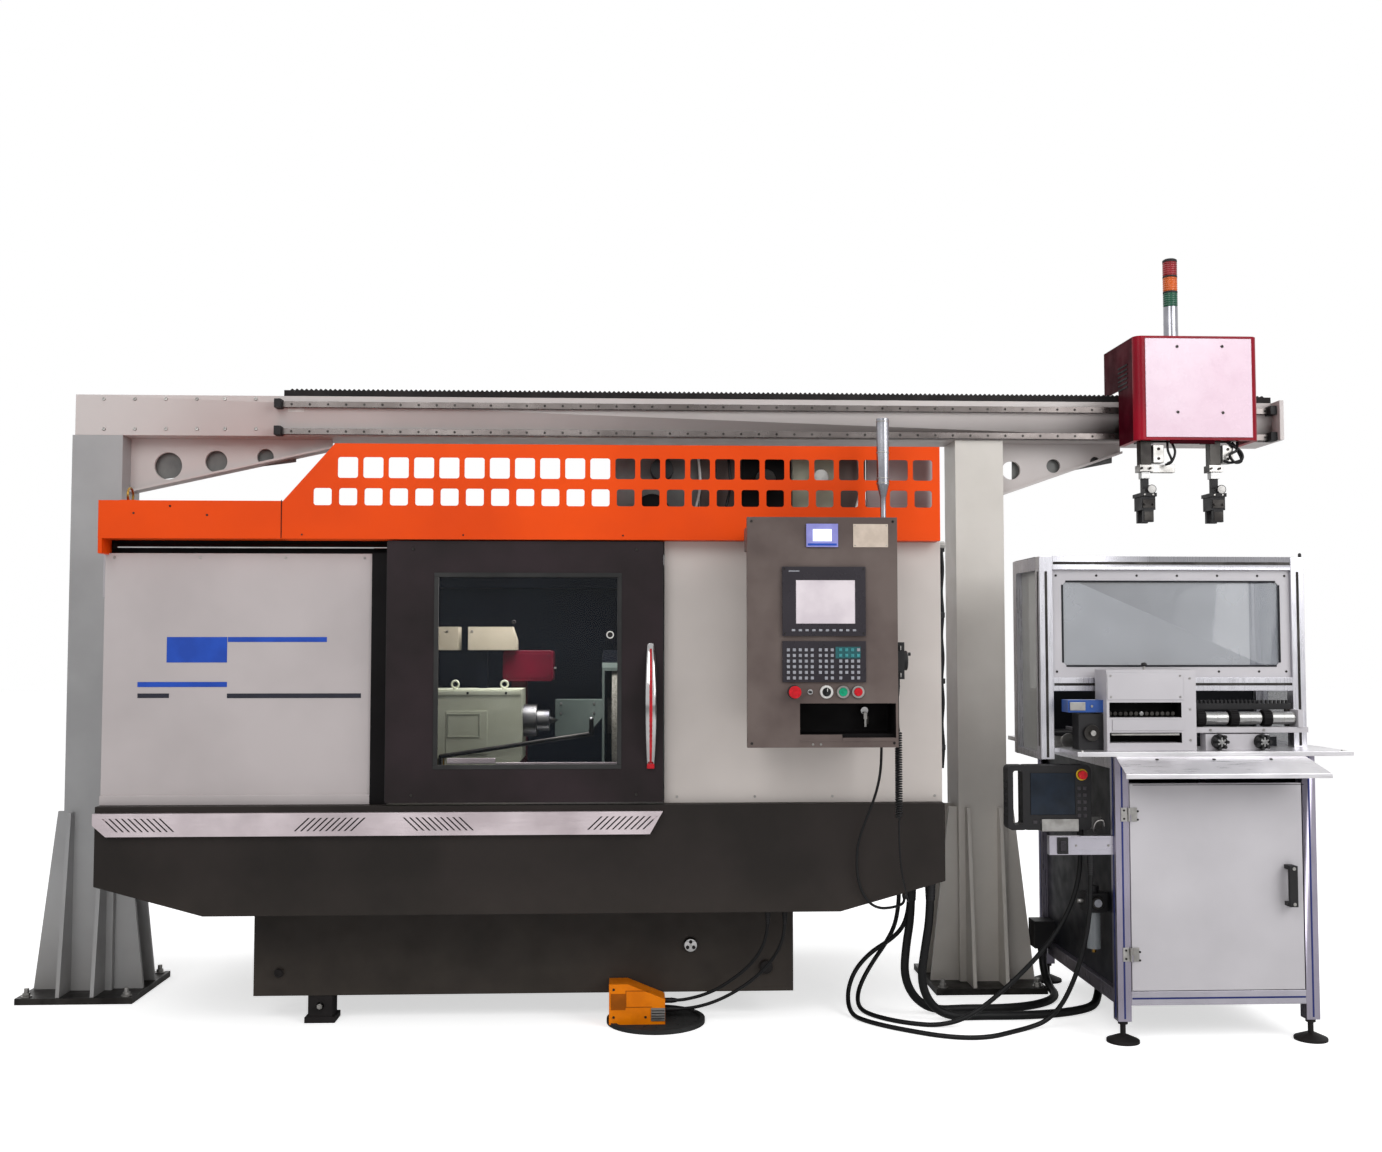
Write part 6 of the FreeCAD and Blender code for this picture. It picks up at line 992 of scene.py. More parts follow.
class Studio:
    """Camera, floor and lights."""

    def make(self) -> None:
        """Set the camera at the photograph's place and light the object softly."""
        camera = bpy.data.objects.new("camera", bpy.data.cameras.new("camera"))
        camera.data.lens = 36
        camera.data.sensor_width = 36
        camera.data.sensor_fit = "HORIZONTAL"
        camera.location = metres(tuple(Sightline.place))
        camera.rotation_euler = (math.radians(90) + Sightline.pitch, 0, -Sightline.yaw)
        camera.data.clip_end = 60
        bpy.context.scene.collection.objects.link(camera)
        bpy.context.scene.camera = camera
        bpy.context.scene.view_settings.view_transform = "Standard"
        self._floor()
        self._world()
        self._lamp("key", (-2.0, -4.7, 4.4), (0.2, 0.0, 0.9), 3.2, 112)
        self._lamp("fill", (3.8, -3.8, 3.2), (0.6, 0.0, 1.0), 3.0, 122)
        self._lamp("over", (0.5, 0.6, 5.2), (0.3, 0.0, 0.8), 4.5, 85)
        self._lamp("inside", (-0.45, -0.15, 1.40), (-0.55, -0.12, 0.9), 0.4, 9)

    def _floor(self) -> None:
        """Lay the pale floor."""
        work = bmesh.new()
        bmesh.ops.create_grid(work, x_segments=1, y_segments=1, size=30)
        data = bpy.data.meshes.new("floor")
        work.to_mesh(data)
        work.free()
        floor = bpy.data.objects.new("floor", data)
        bpy.context.scene.collection.objects.link(floor)
        made = bpy.data.materials.new("floor_white")
        made.use_nodes = True
        tree = made.node_tree
        shader = tree.nodes["Principled BSDF"]
        shader.inputs["Base Color"].default_value = (0.9, 0.9, 0.9, 1)
        shader.inputs["Roughness"].default_value = 0.85
        shader.inputs["Emission Color"].default_value = (1, 1, 1, 1)
        path = add(tree, "LightPath", {}, {})
        lift = add(tree, "Math", {1: 0.62}, {0: path.outputs["Is Camera Ray"]}, operation="MULTIPLY")
        tree.links.new(lift.outputs["Value"], shader.inputs["Emission Strength"])
        data.materials.append(made)

    def _world(self) -> None:
        """Surround the object with plain light, white where it is looked at."""
        world = bpy.data.worlds.new("studio")
        world.use_nodes = True
        bpy.context.scene.world = world
        tree = world.node_tree
        tree.nodes.clear()
        white = (1.0, 1.0, 1.0, 1.0)
        soft = add(tree, "Background", {"Color": white, "Strength": 0.40}, {})
        seen = add(tree, "Background", {"Color": white, "Strength": 1.0}, {})
        path = add(tree, "LightPath", {}, {})
        mirror = add(tree, "Math", {}, {0: path.outputs["Is Camera Ray"], 1: path.outputs["Is Glossy Ray"]},
                     operation="MAXIMUM")
        plain = add(tree, "Math", {}, {0: mirror.outputs["Value"], 1: path.outputs["Is Transmission Ray"]},
                    operation="MAXIMUM")
        mix = add(tree, "MixShader", {}, {"Fac": plain.outputs["Value"], 1: soft.outputs["Background"],
                                          2: seen.outputs["Background"]})
        add(tree, "OutputWorld", {}, {"Surface": mix.outputs["Shader"]})

    def _lamp(self, name: str, place: Point, aim: Point, size: float, power: float) -> None:
        """Add one soft square lamp.

        Args:
            name: Name of the lamp.
            place: Where it stands, in metres.
            aim: Where it points, in metres.
            size: Side of its panel, in metres.
            power: Power in watts.
        """
        data = bpy.data.lights.new(name, "AREA")
        data.shape = "SQUARE"
        data.size = size
        data.energy = power
        lamp = bpy.data.objects.new(name, data)
        lamp.location = place
        lamp.rotation_euler = (Vector(aim) - Vector(place)).to_track_quat("-Z", "Y").to_euler()
        bpy.context.scene.collection.objects.link(lamp)


@dataclass
class Enclosure(Assembly):
    """Sheet enclosure, splash pan, base and roof of the grinder."""

    left_x: float = -1542.0
    right_x: float = 918.0
    left_y: float = 40.0
    right_y: float = 32.0
    canopy_y: float = -20.0
    base_y: float = 238.0
    back_y: float = 1240.0
    top: float = 1457.0
    hose_y: float = 60.0
    hose_step: float = 66.0

    def make_shells(self) -> None:
        """Dress the fixed sheet work in enamel, with soft folds."""
        DRESSER.soften("machine_bed", CHARCOAL, 2.0)
        DRESSER.soften("levelling_feet", CAST_BLACK, 1.2)
        DRESSER.soften("splash_pan", CHARCOAL, 2.5)
        DRESSER.soften("door_track_cover", STAINLESS, 0.8)
        DRESSER.soften("enclosure_panels", WARM_GREY, 2.0, (
            # The inside faces of the enclosure in near-black grey: painted shade.
            ((-1541, 41, 685), (917, 1238.5, 1454.5), SHADE_GREY),
            # The right panel's front takes the paler grey, painted light.
            ((85, 28, 660), (920, 33, 1460), PANEL_PAINTED_LIGHT),
        ))
        DRESSER.soften("door_portal", BLACK_AND_PAINTED_SHADE, 1.5, (((-1525, 34, 1400), (80, 62, 1436), CHROME),))
        DRESSER.soften("orange_canopy", ORANGE, 1.2, (((-1510, 30, 1573.5), (-1450, 90, 1630), BRASS),))
        DRESSER.soften("electrical_cabinet", WARM_GREY, 2.0)

    def make_stripes(self) -> None:
        """Lay the bare plate and the plain stripes on the left panel."""
        piece = Piece("panel_stripes", "machine")
        y = self.left_y
        for u0, v0, u1, v1, finish in (
                (167, 637, 227, 662.5, LABEL_BLUE), (228, 637, 327, 642, LABEL_BLUE),
                (137.5, 682, 227, 687, LABEL_BLUE), (137.5, 693.5, 169, 698, LABEL_DARK),
                (227, 693.5, 361, 698, LABEL_DARK)):
            x0, z1 = Sightline.on_y(u0, v0, y)
            x1, z0 = Sightline.on_y(u1, v1, y)
            piece.box(x0, x1, y - 0.9, y - 0.05, z0, z1, finish, 0.3)
        piece.make("grey_paint")

    def make_folds(self) -> None:
        """Add the fold, the seam and the flange that edge the left panel and the roof box."""
        piece = Piece("left_fold", "machine")
        y = self.left_y
        _, z = Sightline.on_y(230, 795, y)
        piece.box(-1541, -720, y - 1.6, y + 0.5, z - 2.5, z, WARM_GREY, 1.0)
        # A white strip at the post's right edge: painted highlight of the door's edge flange.
        piece.box(-724, -719, y - 2.5, y + 0.5, 690, 1410, SHEET_WHITE, 1.2)
        for u0, u1, finish in ((104, 117, SHEET_WHITE), (145, 158, GAUGE_RED), (176, 196, DARK_STEEL)):
            x0, _ = Sightline.on_y(u0, 540, 120)
            x1, _ = Sightline.on_y(u1, 540, 120)
            piece.box(x0, x1, 118, 150, 1290, 1454, finish, 2.0)
        piece.make("grey_paint")
        roof = Piece("roof_box_trims", "machine")
        y = self.canopy_y
        x, _ = Sightline.on_y(281.5, 510, y)
        _, top = Sightline.on_y(200, 499.5, y)
        roof.box(x - 1.2, x + 1.2, y - 1.2, y + 0.3, self.top, top, BLACK_AND_PAINTED_SHADE, 0.4)
        roof.box(self.left_x, self.left_x + 12, y, 60, 1412, self.top, ORANGE, 1.5)
        roof.make("orange_paint")

    def make_roof_kit(self) -> None:
        """Stand the housings and hoses behind the right-hand openings of the fascia."""
        piece = Piece("roof_equipment", "machine")
        for u0, u1, v_top, depth, finish in (
                (612, 700, 446, 70, EQUIPMENT), (700, 742, 452, 50, TAUPE), (742, 792, 447, 40, BLACK_AND_PAINTED_SHADE),
                (792, 838, 450, 46, SHADE_CREAM), (838, 866, 447, 52, TAUPE), (866, 936, 447, 74, WARM_GREY)):
            x0, z1 = Sightline.on_y(u0, v_top, depth)
            x1, _ = Sightline.on_y(u1, v_top, depth)
            piece.box(x0, x1 - 2, depth, 86, 1459, min(z1, 1732), finish, 3)
        for u, v, radius, finish in ((652, 512, 52, BLACK_AND_PAINTED_SHADE), (662, 470, 34, MATT_BLACK),
                                     (765, 480, 30, DARK_STEEL), (820, 478, 24, ZINC)):
            x, z = Sightline.on_y(u, v, 40)
            piece.rod((x, 16, z), Axis.Y, radius, 70, finish, 3)
        for u in (696, 712, 726, 856):
            x, _ = Sightline.on_y(u, 480, 30)
            piece.pipe([(x - 14, 30, 1459), (x - 4, 24, 1540), (x + 12, 30, 1620), (x + 6, 36, 1728)], 4,
                       BUTTON_WHITE if u in (696, 856) else HOSE)
        piece.make("grey_paint")

    def make_hose_run(self) -> None:
        """Hang the air hose in its clips down the right front corner of the enclosure."""
        piece = Piece("side_hose", "machine")
        wall, y, out = self.right_x, self.hose_y, 10
        line = [(wall + out + (2 if index % 2 else -2), y + index, 1440 - self.hose_step * index)
                for index in range(11)]
        piece.pipe(line, 6, HOSE)
        for _, near, z in line[::3]:
            piece.box(wall - 0.5, wall + out + 8, near - 8, near + 8, z - 12, z + 4, MATT_BLACK, 1.5)
        piece.rod((wall - 1, y, 1448), Axis.X, 12, 20, ZINC, 2)
        piece.make("cable_black")

    def make_back_rail(self) -> None:
        """Close the top of the back wall, pale outside, with painted shade in near-black grey within."""
        piece = Piece("back_top_rail", "machine")
        piece.box(-1538, 914, 1200, 1237, 1364, 1452, SHADE_GREY, 2)
        piece.box(-1538, 914, 1236, 1239.8, 1364, 1452, WARM_GREY, 1)
        piece.make("grey_paint")

    def make_strip_shade(self) -> None:
        """Put a near-black sheet behind the slots of the track strip: painted shade seen through them."""
        piece = Piece("strip_painted_shade", "machine")
        piece.box(-1505, 60, -15.4, -13.4, 606, 662, BLACK_AND_PAINTED_SHADE, 0.3)
        piece.make("charcoal_paint")

    def make_fasteners(self) -> None:
        """Put the screws of the roof box and the panels in their places."""
        piece = Piece("enclosure_screws", "machine")
        for u, v in ((133.5, 513), (170, 506), (207, 515)):
            x, z = Sightline.on_y(u, v, self.canopy_y)
            piece.screw((x, self.canopy_y, z), 3.2, DARK_STEEL)
        piece.screws((-1515, -1268, -1020, -790), (self.left_y,), (1404,), 4)
        piece.screws((130, 360, 590, 895), (self.right_y,), (702,), 4)
        piece.screws(range(-960, 900, 465), (self.canopy_y,), (1468,), 2.6, DARK_STEEL)
        for x, out in ((self.right_x, 1), (self.left_x, -1)):
            piece.screws((x,), (120, 620, 1180), (720, 1000, 1280), 4, axis=Axis.X, out=out)
        piece.screws(range(-1480, 900, 330), (self.back_y,), (704, 1366), 4, out=1)
        piece.make("steel")

    def make_base_fittings(self) -> None:
        """Add the lobed lock, the plug and the knob caps on the front of the base."""
        piece = Piece("base_fittings", "machine")
        y = self.base_y
        lock_x, lock_z = 179, 226
        piece.lathe((lock_x, y, lock_z), Axis.Y, [(0, -4), (12, -4), (19, -3), (21.5, 0)], CHROME)
        for turn in range(3):
            angle = math.radians(90 + 120 * turn)
            piece.rod((lock_x + 11 * math.cos(angle), y - 3, lock_z + 11 * math.sin(angle)), Axis.Y, 5.5, -3,
                      CAST_BLACK)
        piece.rod((lock_x, y - 4, lock_z), Axis.Y, 4, -2.5, ZINC, 0.5)
        piece.lathe((412, y, 157), Axis.Y, [(0, -5), (14, -5), (19, -3.5), (20.5, 0)], CAST_BLACK)
        piece.lathe((-1073, y, 153), Axis.Y, [(0, -2), (7, -2), (7, -4), (11, -4), (13.5, 0)], CAST_BLACK)
        for x in (-950, 3):
            piece.rod((x, y + 12, 50), Axis.Y, 9, -7, ZINC, 1.0, sides=6)
            piece.rod((x, y + 14, 50), Axis.Y, 5, -13, ZINC)
        piece.make("charcoal_paint")

    def make_rear(self) -> None:
        """Add the service doors, louvres and glands on the back and the side."""
        piece = Piece("rear_service_doors", "machine")
        y = self.back_y
        for x0, x1 in ((215, 545), (551, 885)):
            piece.box(x0, x1, y, y + 3, 730, 1350, WARM_GREY, 1.2)
            for z in (800, 1280):
                piece.box(x0 + 6, x0 + 18, y + 2, y + 12, z, z + 60, CAST_BLACK, 2)
            piece.lathe((x1 - 28, y + 3, 1040), Axis.Y, [(15, 0), (15, 4), (8, 5), (8, 9)], CHROME)
            for z in range(1180, 1306, 18):
                piece.box(x0 + 90, x1 - 90, y + 2, y + 7, z, z + 9, WARM_GREY, 2)
        for x0, x1 in ((-1480, -1000), (-980, -500), (-480, 160)):
            piece.box(x0, x1, y, y + 2.5, 720, 1340, WARM_GREY, 1.2)
            piece.screws((x0 + 20, x1 - 20), (y + 2.5,), (740, 1320), 4, out=1)
        piece.make("grey_paint")
        side = Piece("side_louvres", "machine")
        x = self.right_x
        side.box(x, x + 2, 700, 1130, 900, 1330, WARM_GREY, 1.0)
        for z in range(940, 1276, 28):
            side.box(x + 1, x + 8, 760, 1070, z, z + 12, WARM_GREY, 2.5)
        side.box(x, x + 26, 300, 380, 760, 860, MATT_BLACK, 3)
        side.rod((x + 26, 340, 810), Axis.X, 20, 14, BUTTON_RED, 2)
        side.make("grey_paint")
        outlets = Piece("pan_outlets", "machine")
        for x in (-1300, -1240):
            outlets.lathe((x, y + 10, 480), Axis.Y, [(28, 0), (28, 4), (20, 5), (20, 8)], CAST_BLACK)
        outlets.make("charcoal_paint")


@dataclass
class SlidingDoor(Assembly):
    """Black sliding door with its window and bow handle."""

    front: float = -8.0
    edges: Pair = (-712.0, 82.0)
    window: Sides = (-570.0, -42.0, 797.0, 1350.0)
    handle_x: float = 52.0
    handle_low: float = 789.0
    handle_long: float = 365.0
    reach: float = 52.0
    latch: Pair = (-67.0, 1178.0)

    def make_frame(self) -> None:
        """Dress the door frame and its window glass."""
        DRESSER.soften("door_frame", DOOR_BLACK, 2.5)
        DRESSER.paint("door_glass", GLASS)

    def make_gasket(self) -> None:
        """Set the rubber gasket round the window and the bright sills under it."""
        x0, x1, z0, z1 = self.window
        piece = Piece("window_gasket", "door")
        y = self.front
        piece.border((x0 - 9, x1 + 9, z0 - 9, z1 + 9), y - 2.5, y + 6, 13, 0, MAT, 1.6)
        piece.make("charcoal_paint")
        sill = Piece("window_sills", "door")
        sill.box(x0 + 30, x0 + 170, y + 15, y + 22, z0 + 6, z0 + 22, STAINLESS, 1.0)
        sill.box(x0 + 172, x1 - 4, y + 15, y + 22, z0 - 2, z0 + 9, STAINLESS, 1.0)
        sill.make("steel")

    def make_handle(self) -> None:
        """Replace the handle by its oval chrome bow with the red inlay."""
        piece = Piece("bow_handle", "door")
        x, y, low = self.handle_x, self.front, self.handle_low
        half_long = self.handle_long / 2
        radius = (half_long ** 2 + self.reach ** 2) / (2 * self.reach)
        centre_y = y - self.reach + radius
        widest = math.asin(half_long / radius)
        for finish, wide, thick, sunk, share in ((CHROME, 1.0, 11.0, 5.5, 1.0),
                                                 (STRIPE_RED, 0.34, 3.0, 1.1, 0.90)):
            rings = []
            for step in range(25):
                angle = widest * share * (step / 12 - 1)
                spot = Vector((x, centre_y - (radius - sunk) * math.cos(angle),
                               low + half_long + (radius - sunk) * math.sin(angle)))
                across = (11.5 + 4.5 * math.cos(math.pi / 2 * angle / widest)) * wide
                turn = Matrix.Translation(spot) @ Matrix.Rotation(-angle, 4, "X")
                rings.append(piece.ring(turn, across, thick / 2, 24))
            piece.bridge(rings, finish)
        for z in (low + 8, low + self.handle_long - 8):
            piece.rod((x, y, z), Axis.Y, 8, -9, CHROME, 1.0)
        piece.box(x - 11, x + 11, y - 15, y - 6, low, low + 15, STRIPE_RED, 2.5)
        x, z = self.latch
        piece.lathe((x, 0, z), Axis.Y, [(8, 2), (8, -3), (11, -3), (11, 2)], BUTTON_WHITE, hollow=True)
        piece.lathe((x, -3, z), Axis.Y, [(0, 0.5), (8.2, 0.5), (8.2, 3)], CAST_BLACK)
        piece.make("chrome_trim", ("door_handle",))

    def make_trims(self) -> None:
        """Add the door's edge seals and the screws of the wheels' cover plates."""
        piece = Piece("door_trims", "door")
        left, right = self.edges
        for x0, x1 in ((right, right + 8), (left - 6, left)):
            piece.box(x0, x1, self.front + 4, self.front + 32, 696, 1448, MAT, 1.5)
        piece.screws((-640, 10), (self.front,), (714, 1428), 4.5, DARK_STEEL)
        piece.make("charcoal_paint")


@dataclass
class WorkZone(Assembly):
    """Table, work head, tailstock and wheel head behind the window."""

    head_y: float = 335.0
    box_y: float = 440.0
    gauge_y: float = 488.6
    table_y: float = 299.0
    wheel_y: float = 740.0
    axis_z: float = 905.0

    def make_bodies(self) -> None:
        """Dress the castings and the ground parts."""
        DRESSER.soften("work_table", STEEL, 1.5, (((-640, 300.5, 774), (-90, 332, 910), DARK_STEEL),))
        DRESSER.soften("work_head_and_tailstock", CREAM, 4.0, (
            # The post between the guard box and the head in near-black grey: painted shade.
            ((-700, 330, 1045), (-440, 545, 1110), SHADE_GREY),
            ((-780, 430, 1112), (-340, 545, 1210), GUARD_BEIGE),
        ))
        DRESSER.soften("measuring_head", GAUGE_RED, 2.0)
        # The top of the wheel head's guard in near-black grey: painted shade.
        DRESSER.soften("wheel_head", GUARD_GREEN, 3.0, (((-260, 585, 1085), (380, 970, 1240), SHADE_GREY),))
        DRESSER.soften("work_spindle", HEAD_STEEL, 0.8)
        DRESSER.soften("tailstock_quill", STEEL, 0.6)
        DRESSER.paint("grinding_wheel", ABRASIVE)

    def make_head_details(self) -> None:
        """Add the cover plate, the seams and the screws of the work head and its guard boxes."""
        piece = Piece("work_head_details", "table")
        y = self.head_y
        for u0, v0, u1, v1, framed in ((446, 711, 487, 754, False), (447, 713.5, 480, 738, True)):
            x0, z1 = Sightline.on_y(u0, v0, y)
            x1, z0 = Sightline.on_y(u1, v1, y)
            if framed:
                # The frame round the cover plate in the darker cream: painted shade.
                piece.border((x0, x1, z0, z1), y - 2.5, y + 2, 6, 1, SHADE_CREAM, 1.0)
            else:
                piece.box(x0, x1, y - 1.5, y + 10, z0, z1, CREAM, 1.0)
        piece.box(-700, -372, y - 1.5, y + 2, 735, 739, SHADE_CREAM, 0.6)
        piece.box(-768, -356, y - 3, y + 1, 990, 1004, CREAM, 1.5)
        piece.screws((-745, -640, -520, -400), (y - 3,), (997,), 4, DARK_STEEL)
        x, z = Sightline.on_y(514, 622, self.box_y)
        piece.screw((x, self.box_y, z), 7, CAST_BLACK)
        piece.screws((-725, -600, -520), (self.box_y,), (1192,), 4)
        piece.box(300, 390, 358, 361, 780, 900, SHADE_CREAM, 1.0)
        piece.rod((345, 360, 850), Axis.Y, 9, -26, CHROME, 1.0)
        piece.rod((345, 334, 850), Axis.Y, 14, -12, MATT_BLACK, 3.0)
        piece.make("cream_paint")

    def make_gauge_details(self) -> None:
        """Add the cover seam, its screws and the cable gland of the measuring head."""
        piece = Piece("gauge_details", "table")
        y = self.gauge_y
        piece.box(-420, -266, y, y + 2.4, 1040, 1120, GAUGE_RED, 1.5)
        piece.screws((-412, -274), (y,), (1048, 1112), 2.8, DARK_STEEL)
        piece.rod((-262, 520, 1070), Axis.X, 7, 10, DARK_STEEL, 1.0, sides=6)
        piece.make("red_paint")

    def make_table_details(self) -> None:
        """Add the dark T-slot lines, the wiper strips and the coolant elbow of the table."""
        piece = Piece("table_details", "table")
        y = self.table_y
        for z0, z1 in ((700, 712), (640, 646)):
            piece.box(-895, 405, y - 0.4, y + 1.2, z0, z1, DARK_STEEL, 0.5)
        piece.screws(range(-860, 400, 120), (y,), (672,), 5, DARK_STEEL)
        piece.rod((-600, 322, 770), Axis.Z, 12, 24, BRASS, 1.5, sides=6)
        piece.rod((-130, 311, 866), Axis.Z, 10, 18, DARK_STEEL, 1.5, sides=6)
        piece.make("steel")

    def make_wheel_details(self) -> None:
        """Add the flange screws of the wheel and the screws of its guard."""
        y, z = self.wheel_y, self.axis_z
        wheel = Piece("wheel_flange", "wheel")
        wheel.lathe((-70, y, z), Axis.X, [(0, -6), (30, -6), (34, -2), (60, -2), (62, 0)], ZINC)
        for turn in range(6):
            angle = math.radians(60 * turn)
            wheel.screw((-72, y + 48 * math.cos(angle), z + 48 * math.sin(angle)), 4.5, DARK_STEEL, Axis.X)
        wheel.make("abrasive")
        guard = Piece("guard_screws", "wheel_slide")
        for turn in range(7):
            angle = math.radians(35 + 22 * turn)
            guard.screw((-103, y + 40 - 135.2 * math.cos(angle), z + 208 * math.sin(angle)), 5, axis=Axis.X)
        guard.screws((-240, -130), (590,), (920, 952), 4.5)
        guard.make("cream_paint")


@dataclass
class ControlPanel(Assembly):
    """Control box at the front: display, keys, buttons, recess and handwheel."""

    front: float = -230.0
    left: float = 317.0
    right: float = 738.0
    unit_y: float = -238.0
    button_z: float = 1018.0
    selector_x: float = 537.0
    lamp: Pair = (719.0, -120.0)
    wheel: Pair = (-154.0, 1104.0)
    wheel_x: float = 752.0
    dial_x: float = 776.2

    def make_boxes(self) -> None:
        """Dress the box and its units, each region in its own finish."""
        # The tool recess in near-black: painted shade.
        DRESSER.soften("control_box", TAUPE, 2.0, (((462, -226, 885), (732, -109, 987), BLACK_AND_PAINTED_SHADE),))
        DRESSER.soften("control_units", GLOSS_BLACK, 0.8, (
            ((481, -237, 1420), (572, -229, 1487), LILAC),
            ((613, -233, 1420), (713, -229, 1487), PLATE_BEIGE),
            ((425, -237, 1000), (645, -229, 1036), CHROME),
            ((737, -192, 1020), (766, -115, 1160), MATT_BLACK),
        ))
        DRESSER.paint("estop_button", BUTTON_RED)
        DRESSER.paint("start_button", BUTTON_GREEN)
        DRESSER.paint("stop_button", BUTTON_RED)
        DRESSER.soften("selector_knob", MATT_BLACK, 0.6)
        DRESSER.soften("handwheel_dial", MATT_BLACK, 0.8)
        DRESSER.soften("signal_lamp", SIGNAL_WHITE, 0.5)

    def make_display(self) -> None:
        """Add the screen, its blank panes and the soft keys."""
        piece = Piece("display_glass", "machine")
        y = self.unit_y
        piece.box(452.5, 617.5, y + 1.8, y + 3.2, 1207.5, 1328.5, SCREEN, 0.3)
        piece.box(432, 462, y - 0.7, y + 0.2, 1352, 1355, KEY_GREY, 0.2)
        for index in range(10):
            x = 440 + 18.9 * index
            piece.box(x, x + 9.5, y - 2, y + 0.4, 1186, 1192, KEY_GREY, 1.0)
        piece.screws((420, 641), (y,), (1180, 1359), 2.6, DARK_STEEL)
        piece.make("black_plastic")

    def make_keys(self) -> None:
        """Add the caps of the keyboard in its three groups."""
        piece = Piece("keyboard_caps", "machine")
        y = self.unit_y
        for row, column in product(range(6), range(12)):
            if column in (5, 9) and row == 5:
                continue
            x = 426 + 16.6 * column + (6 if column > 4 else 0) + (7 if column > 7 else 0)
            z = 1139 - 15.6 * row
            teal = column > 7 and row < 2 and (column, row) != (11, 0)
            piece.box(x, x + 8.5, y - 1.6, y + 2.2, z - 8.5, z, KEY_TEAL if teal else KEY_GREY, 0.9)
        # Darker teal behind the keys: painted shade in their gaps.
        piece.box(562, 632, y + 1.2, y + 2.2, 1111, 1143, TEAL_PAINTED_SHADE, 0.3)
        piece.make("black_plastic")

    def make_touch(self) -> None:
        """Add the bright face of the small touch panel and the rim of the bare plate."""
        piece = Piece("touch_face", "machine")
        y = self.unit_y
        piece.box(500, 553, y + 1, y + 2.2, 1437, 1471, SCREEN_BLUE, 0.3)
        piece.box(486, 567, y + 1.4, y + 2.2, 1425, 1431, LABEL_BLUE, 0.3)
        for x, z in product((619, 707), (1426, 1481)):
            piece.rod((x, y + 6, z), Axis.Y, 1.8, -1.2, ZINC, 0.3, sides=12)
        piece.make("black_plastic")

    def make_button_dress(self) -> None:
        """Add collars, the white selector ring, a small stalk and the pointer on the selector's own cap."""
        fixed = Piece("button_collars", "machine")
        y, z = self.front, self.button_z
        for x, finish in ((self.selector_x, BUTTON_WHITE), (583, ZINC), (625, ZINC)):
            fixed.lathe((x, y, z), Axis.Y, [(12.2, 0), (18.5, 0), (18.5, -5), (17.2, -6.6), (12.2, -6.6)],
                        finish, hollow=True)
        fixed.lathe((447, y, z), Axis.Y, [(15.3, 0), (19, 0), (19, -1.2), (18, -2), (15.3, -2)], MATT_BLACK,
                    hollow=True)
        fixed.rod((491, y - 6, z), Axis.Y, 2.2, -14, DARK_STEEL, 0.5)
        fixed.rod((491, y - 19, z), Axis.Y, 3.4, -4, MATT_BLACK, 1.2)
        fixed.make("black_plastic")
        pointer = Piece("selector_pointer", "selector")
        x = self.selector_x
        pointer.box(x - 0.8, x + 0.8, y - 22.4, y - 21, z + 1, z + 10, BUTTON_WHITE, 0.2)
        pointer.make("black_plastic")

    def make_recess(self) -> None:
        """Line the tool recess and hang the keys in it."""
        piece = Piece("recess_keys", "machine")
        piece.rod((659, -120, 962), Axis.Y, 11, -16, CHROME, 1.2)
        piece.box(654, 664, -150, -147, 938, 958, ZINC, 1.0)
        piece.box(656, 662, -149.5, -147.5, 916, 939, ZINC, 0.8)
        piece.box(664, 668, -147.5, -145.5, 924, 946, DARK_STEEL, 0.8)
        piece.make("chrome_trim")
        lip = Piece("recess_lip", "machine")
        y = self.front
        for x0, x1, top in ((464, 581, 885), (581, 731, 891)):
            lip.box(x0, x1, y - 1.5, y + 10, 880, top, TAUPE, 1.2)
        lip.screws((499, 521), (y,), (873,), 3.4)
        lip.make("charcoal_paint")

    def make_hardware(self) -> None:
        """Add hinges, rear seams and corner screws of the box."""
        piece = Piece("control_hardware", "machine")
        left, right = self.left, self.right
        for z in (930, 1200, 1430):
            piece.rod((left + 26, -204, z), Axis.Z, 6, 44, CAST_BLACK, 1.0)
        piece.screws((left + 12, right - 12), (self.front,), (876, 1493), 3.6, DARK_STEEL)
        piece.box(right, right + 1.5, -190, -60, 1210, 1440, TAUPE, 0.6)
        for z in range(1240, 1400, 20):
            piece.box(right, right + 5, -170, -80, z, z + 8, TAUPE, 1.8)
        piece.box(420, 600, -31, -28.5, 1130, 1400, TAUPE, 1.0)
        piece.make("charcoal_paint")

    def make_lamp_rings(self) -> None:
        """Add the rings and the dark foot of the lamp tube."""
        piece = Piece("lamp_rings", "machine")
        for z in (1612, 1626, 1700, 1790):
            piece.lathe((*self.lamp, z), Axis.Z, [(17.5, 0), (18.9, 0.8), (18.9, 3.2), (17.5, 4)], ZINC,
                        hollow=True)
        piece.lathe((*self.lamp, 1480), Axis.Z, [(24, 0), (24, 3), (17.4, 6), (17.4, 0)], MATT_BLACK,
                    hollow=True)
        piece.make("chrome_trim")

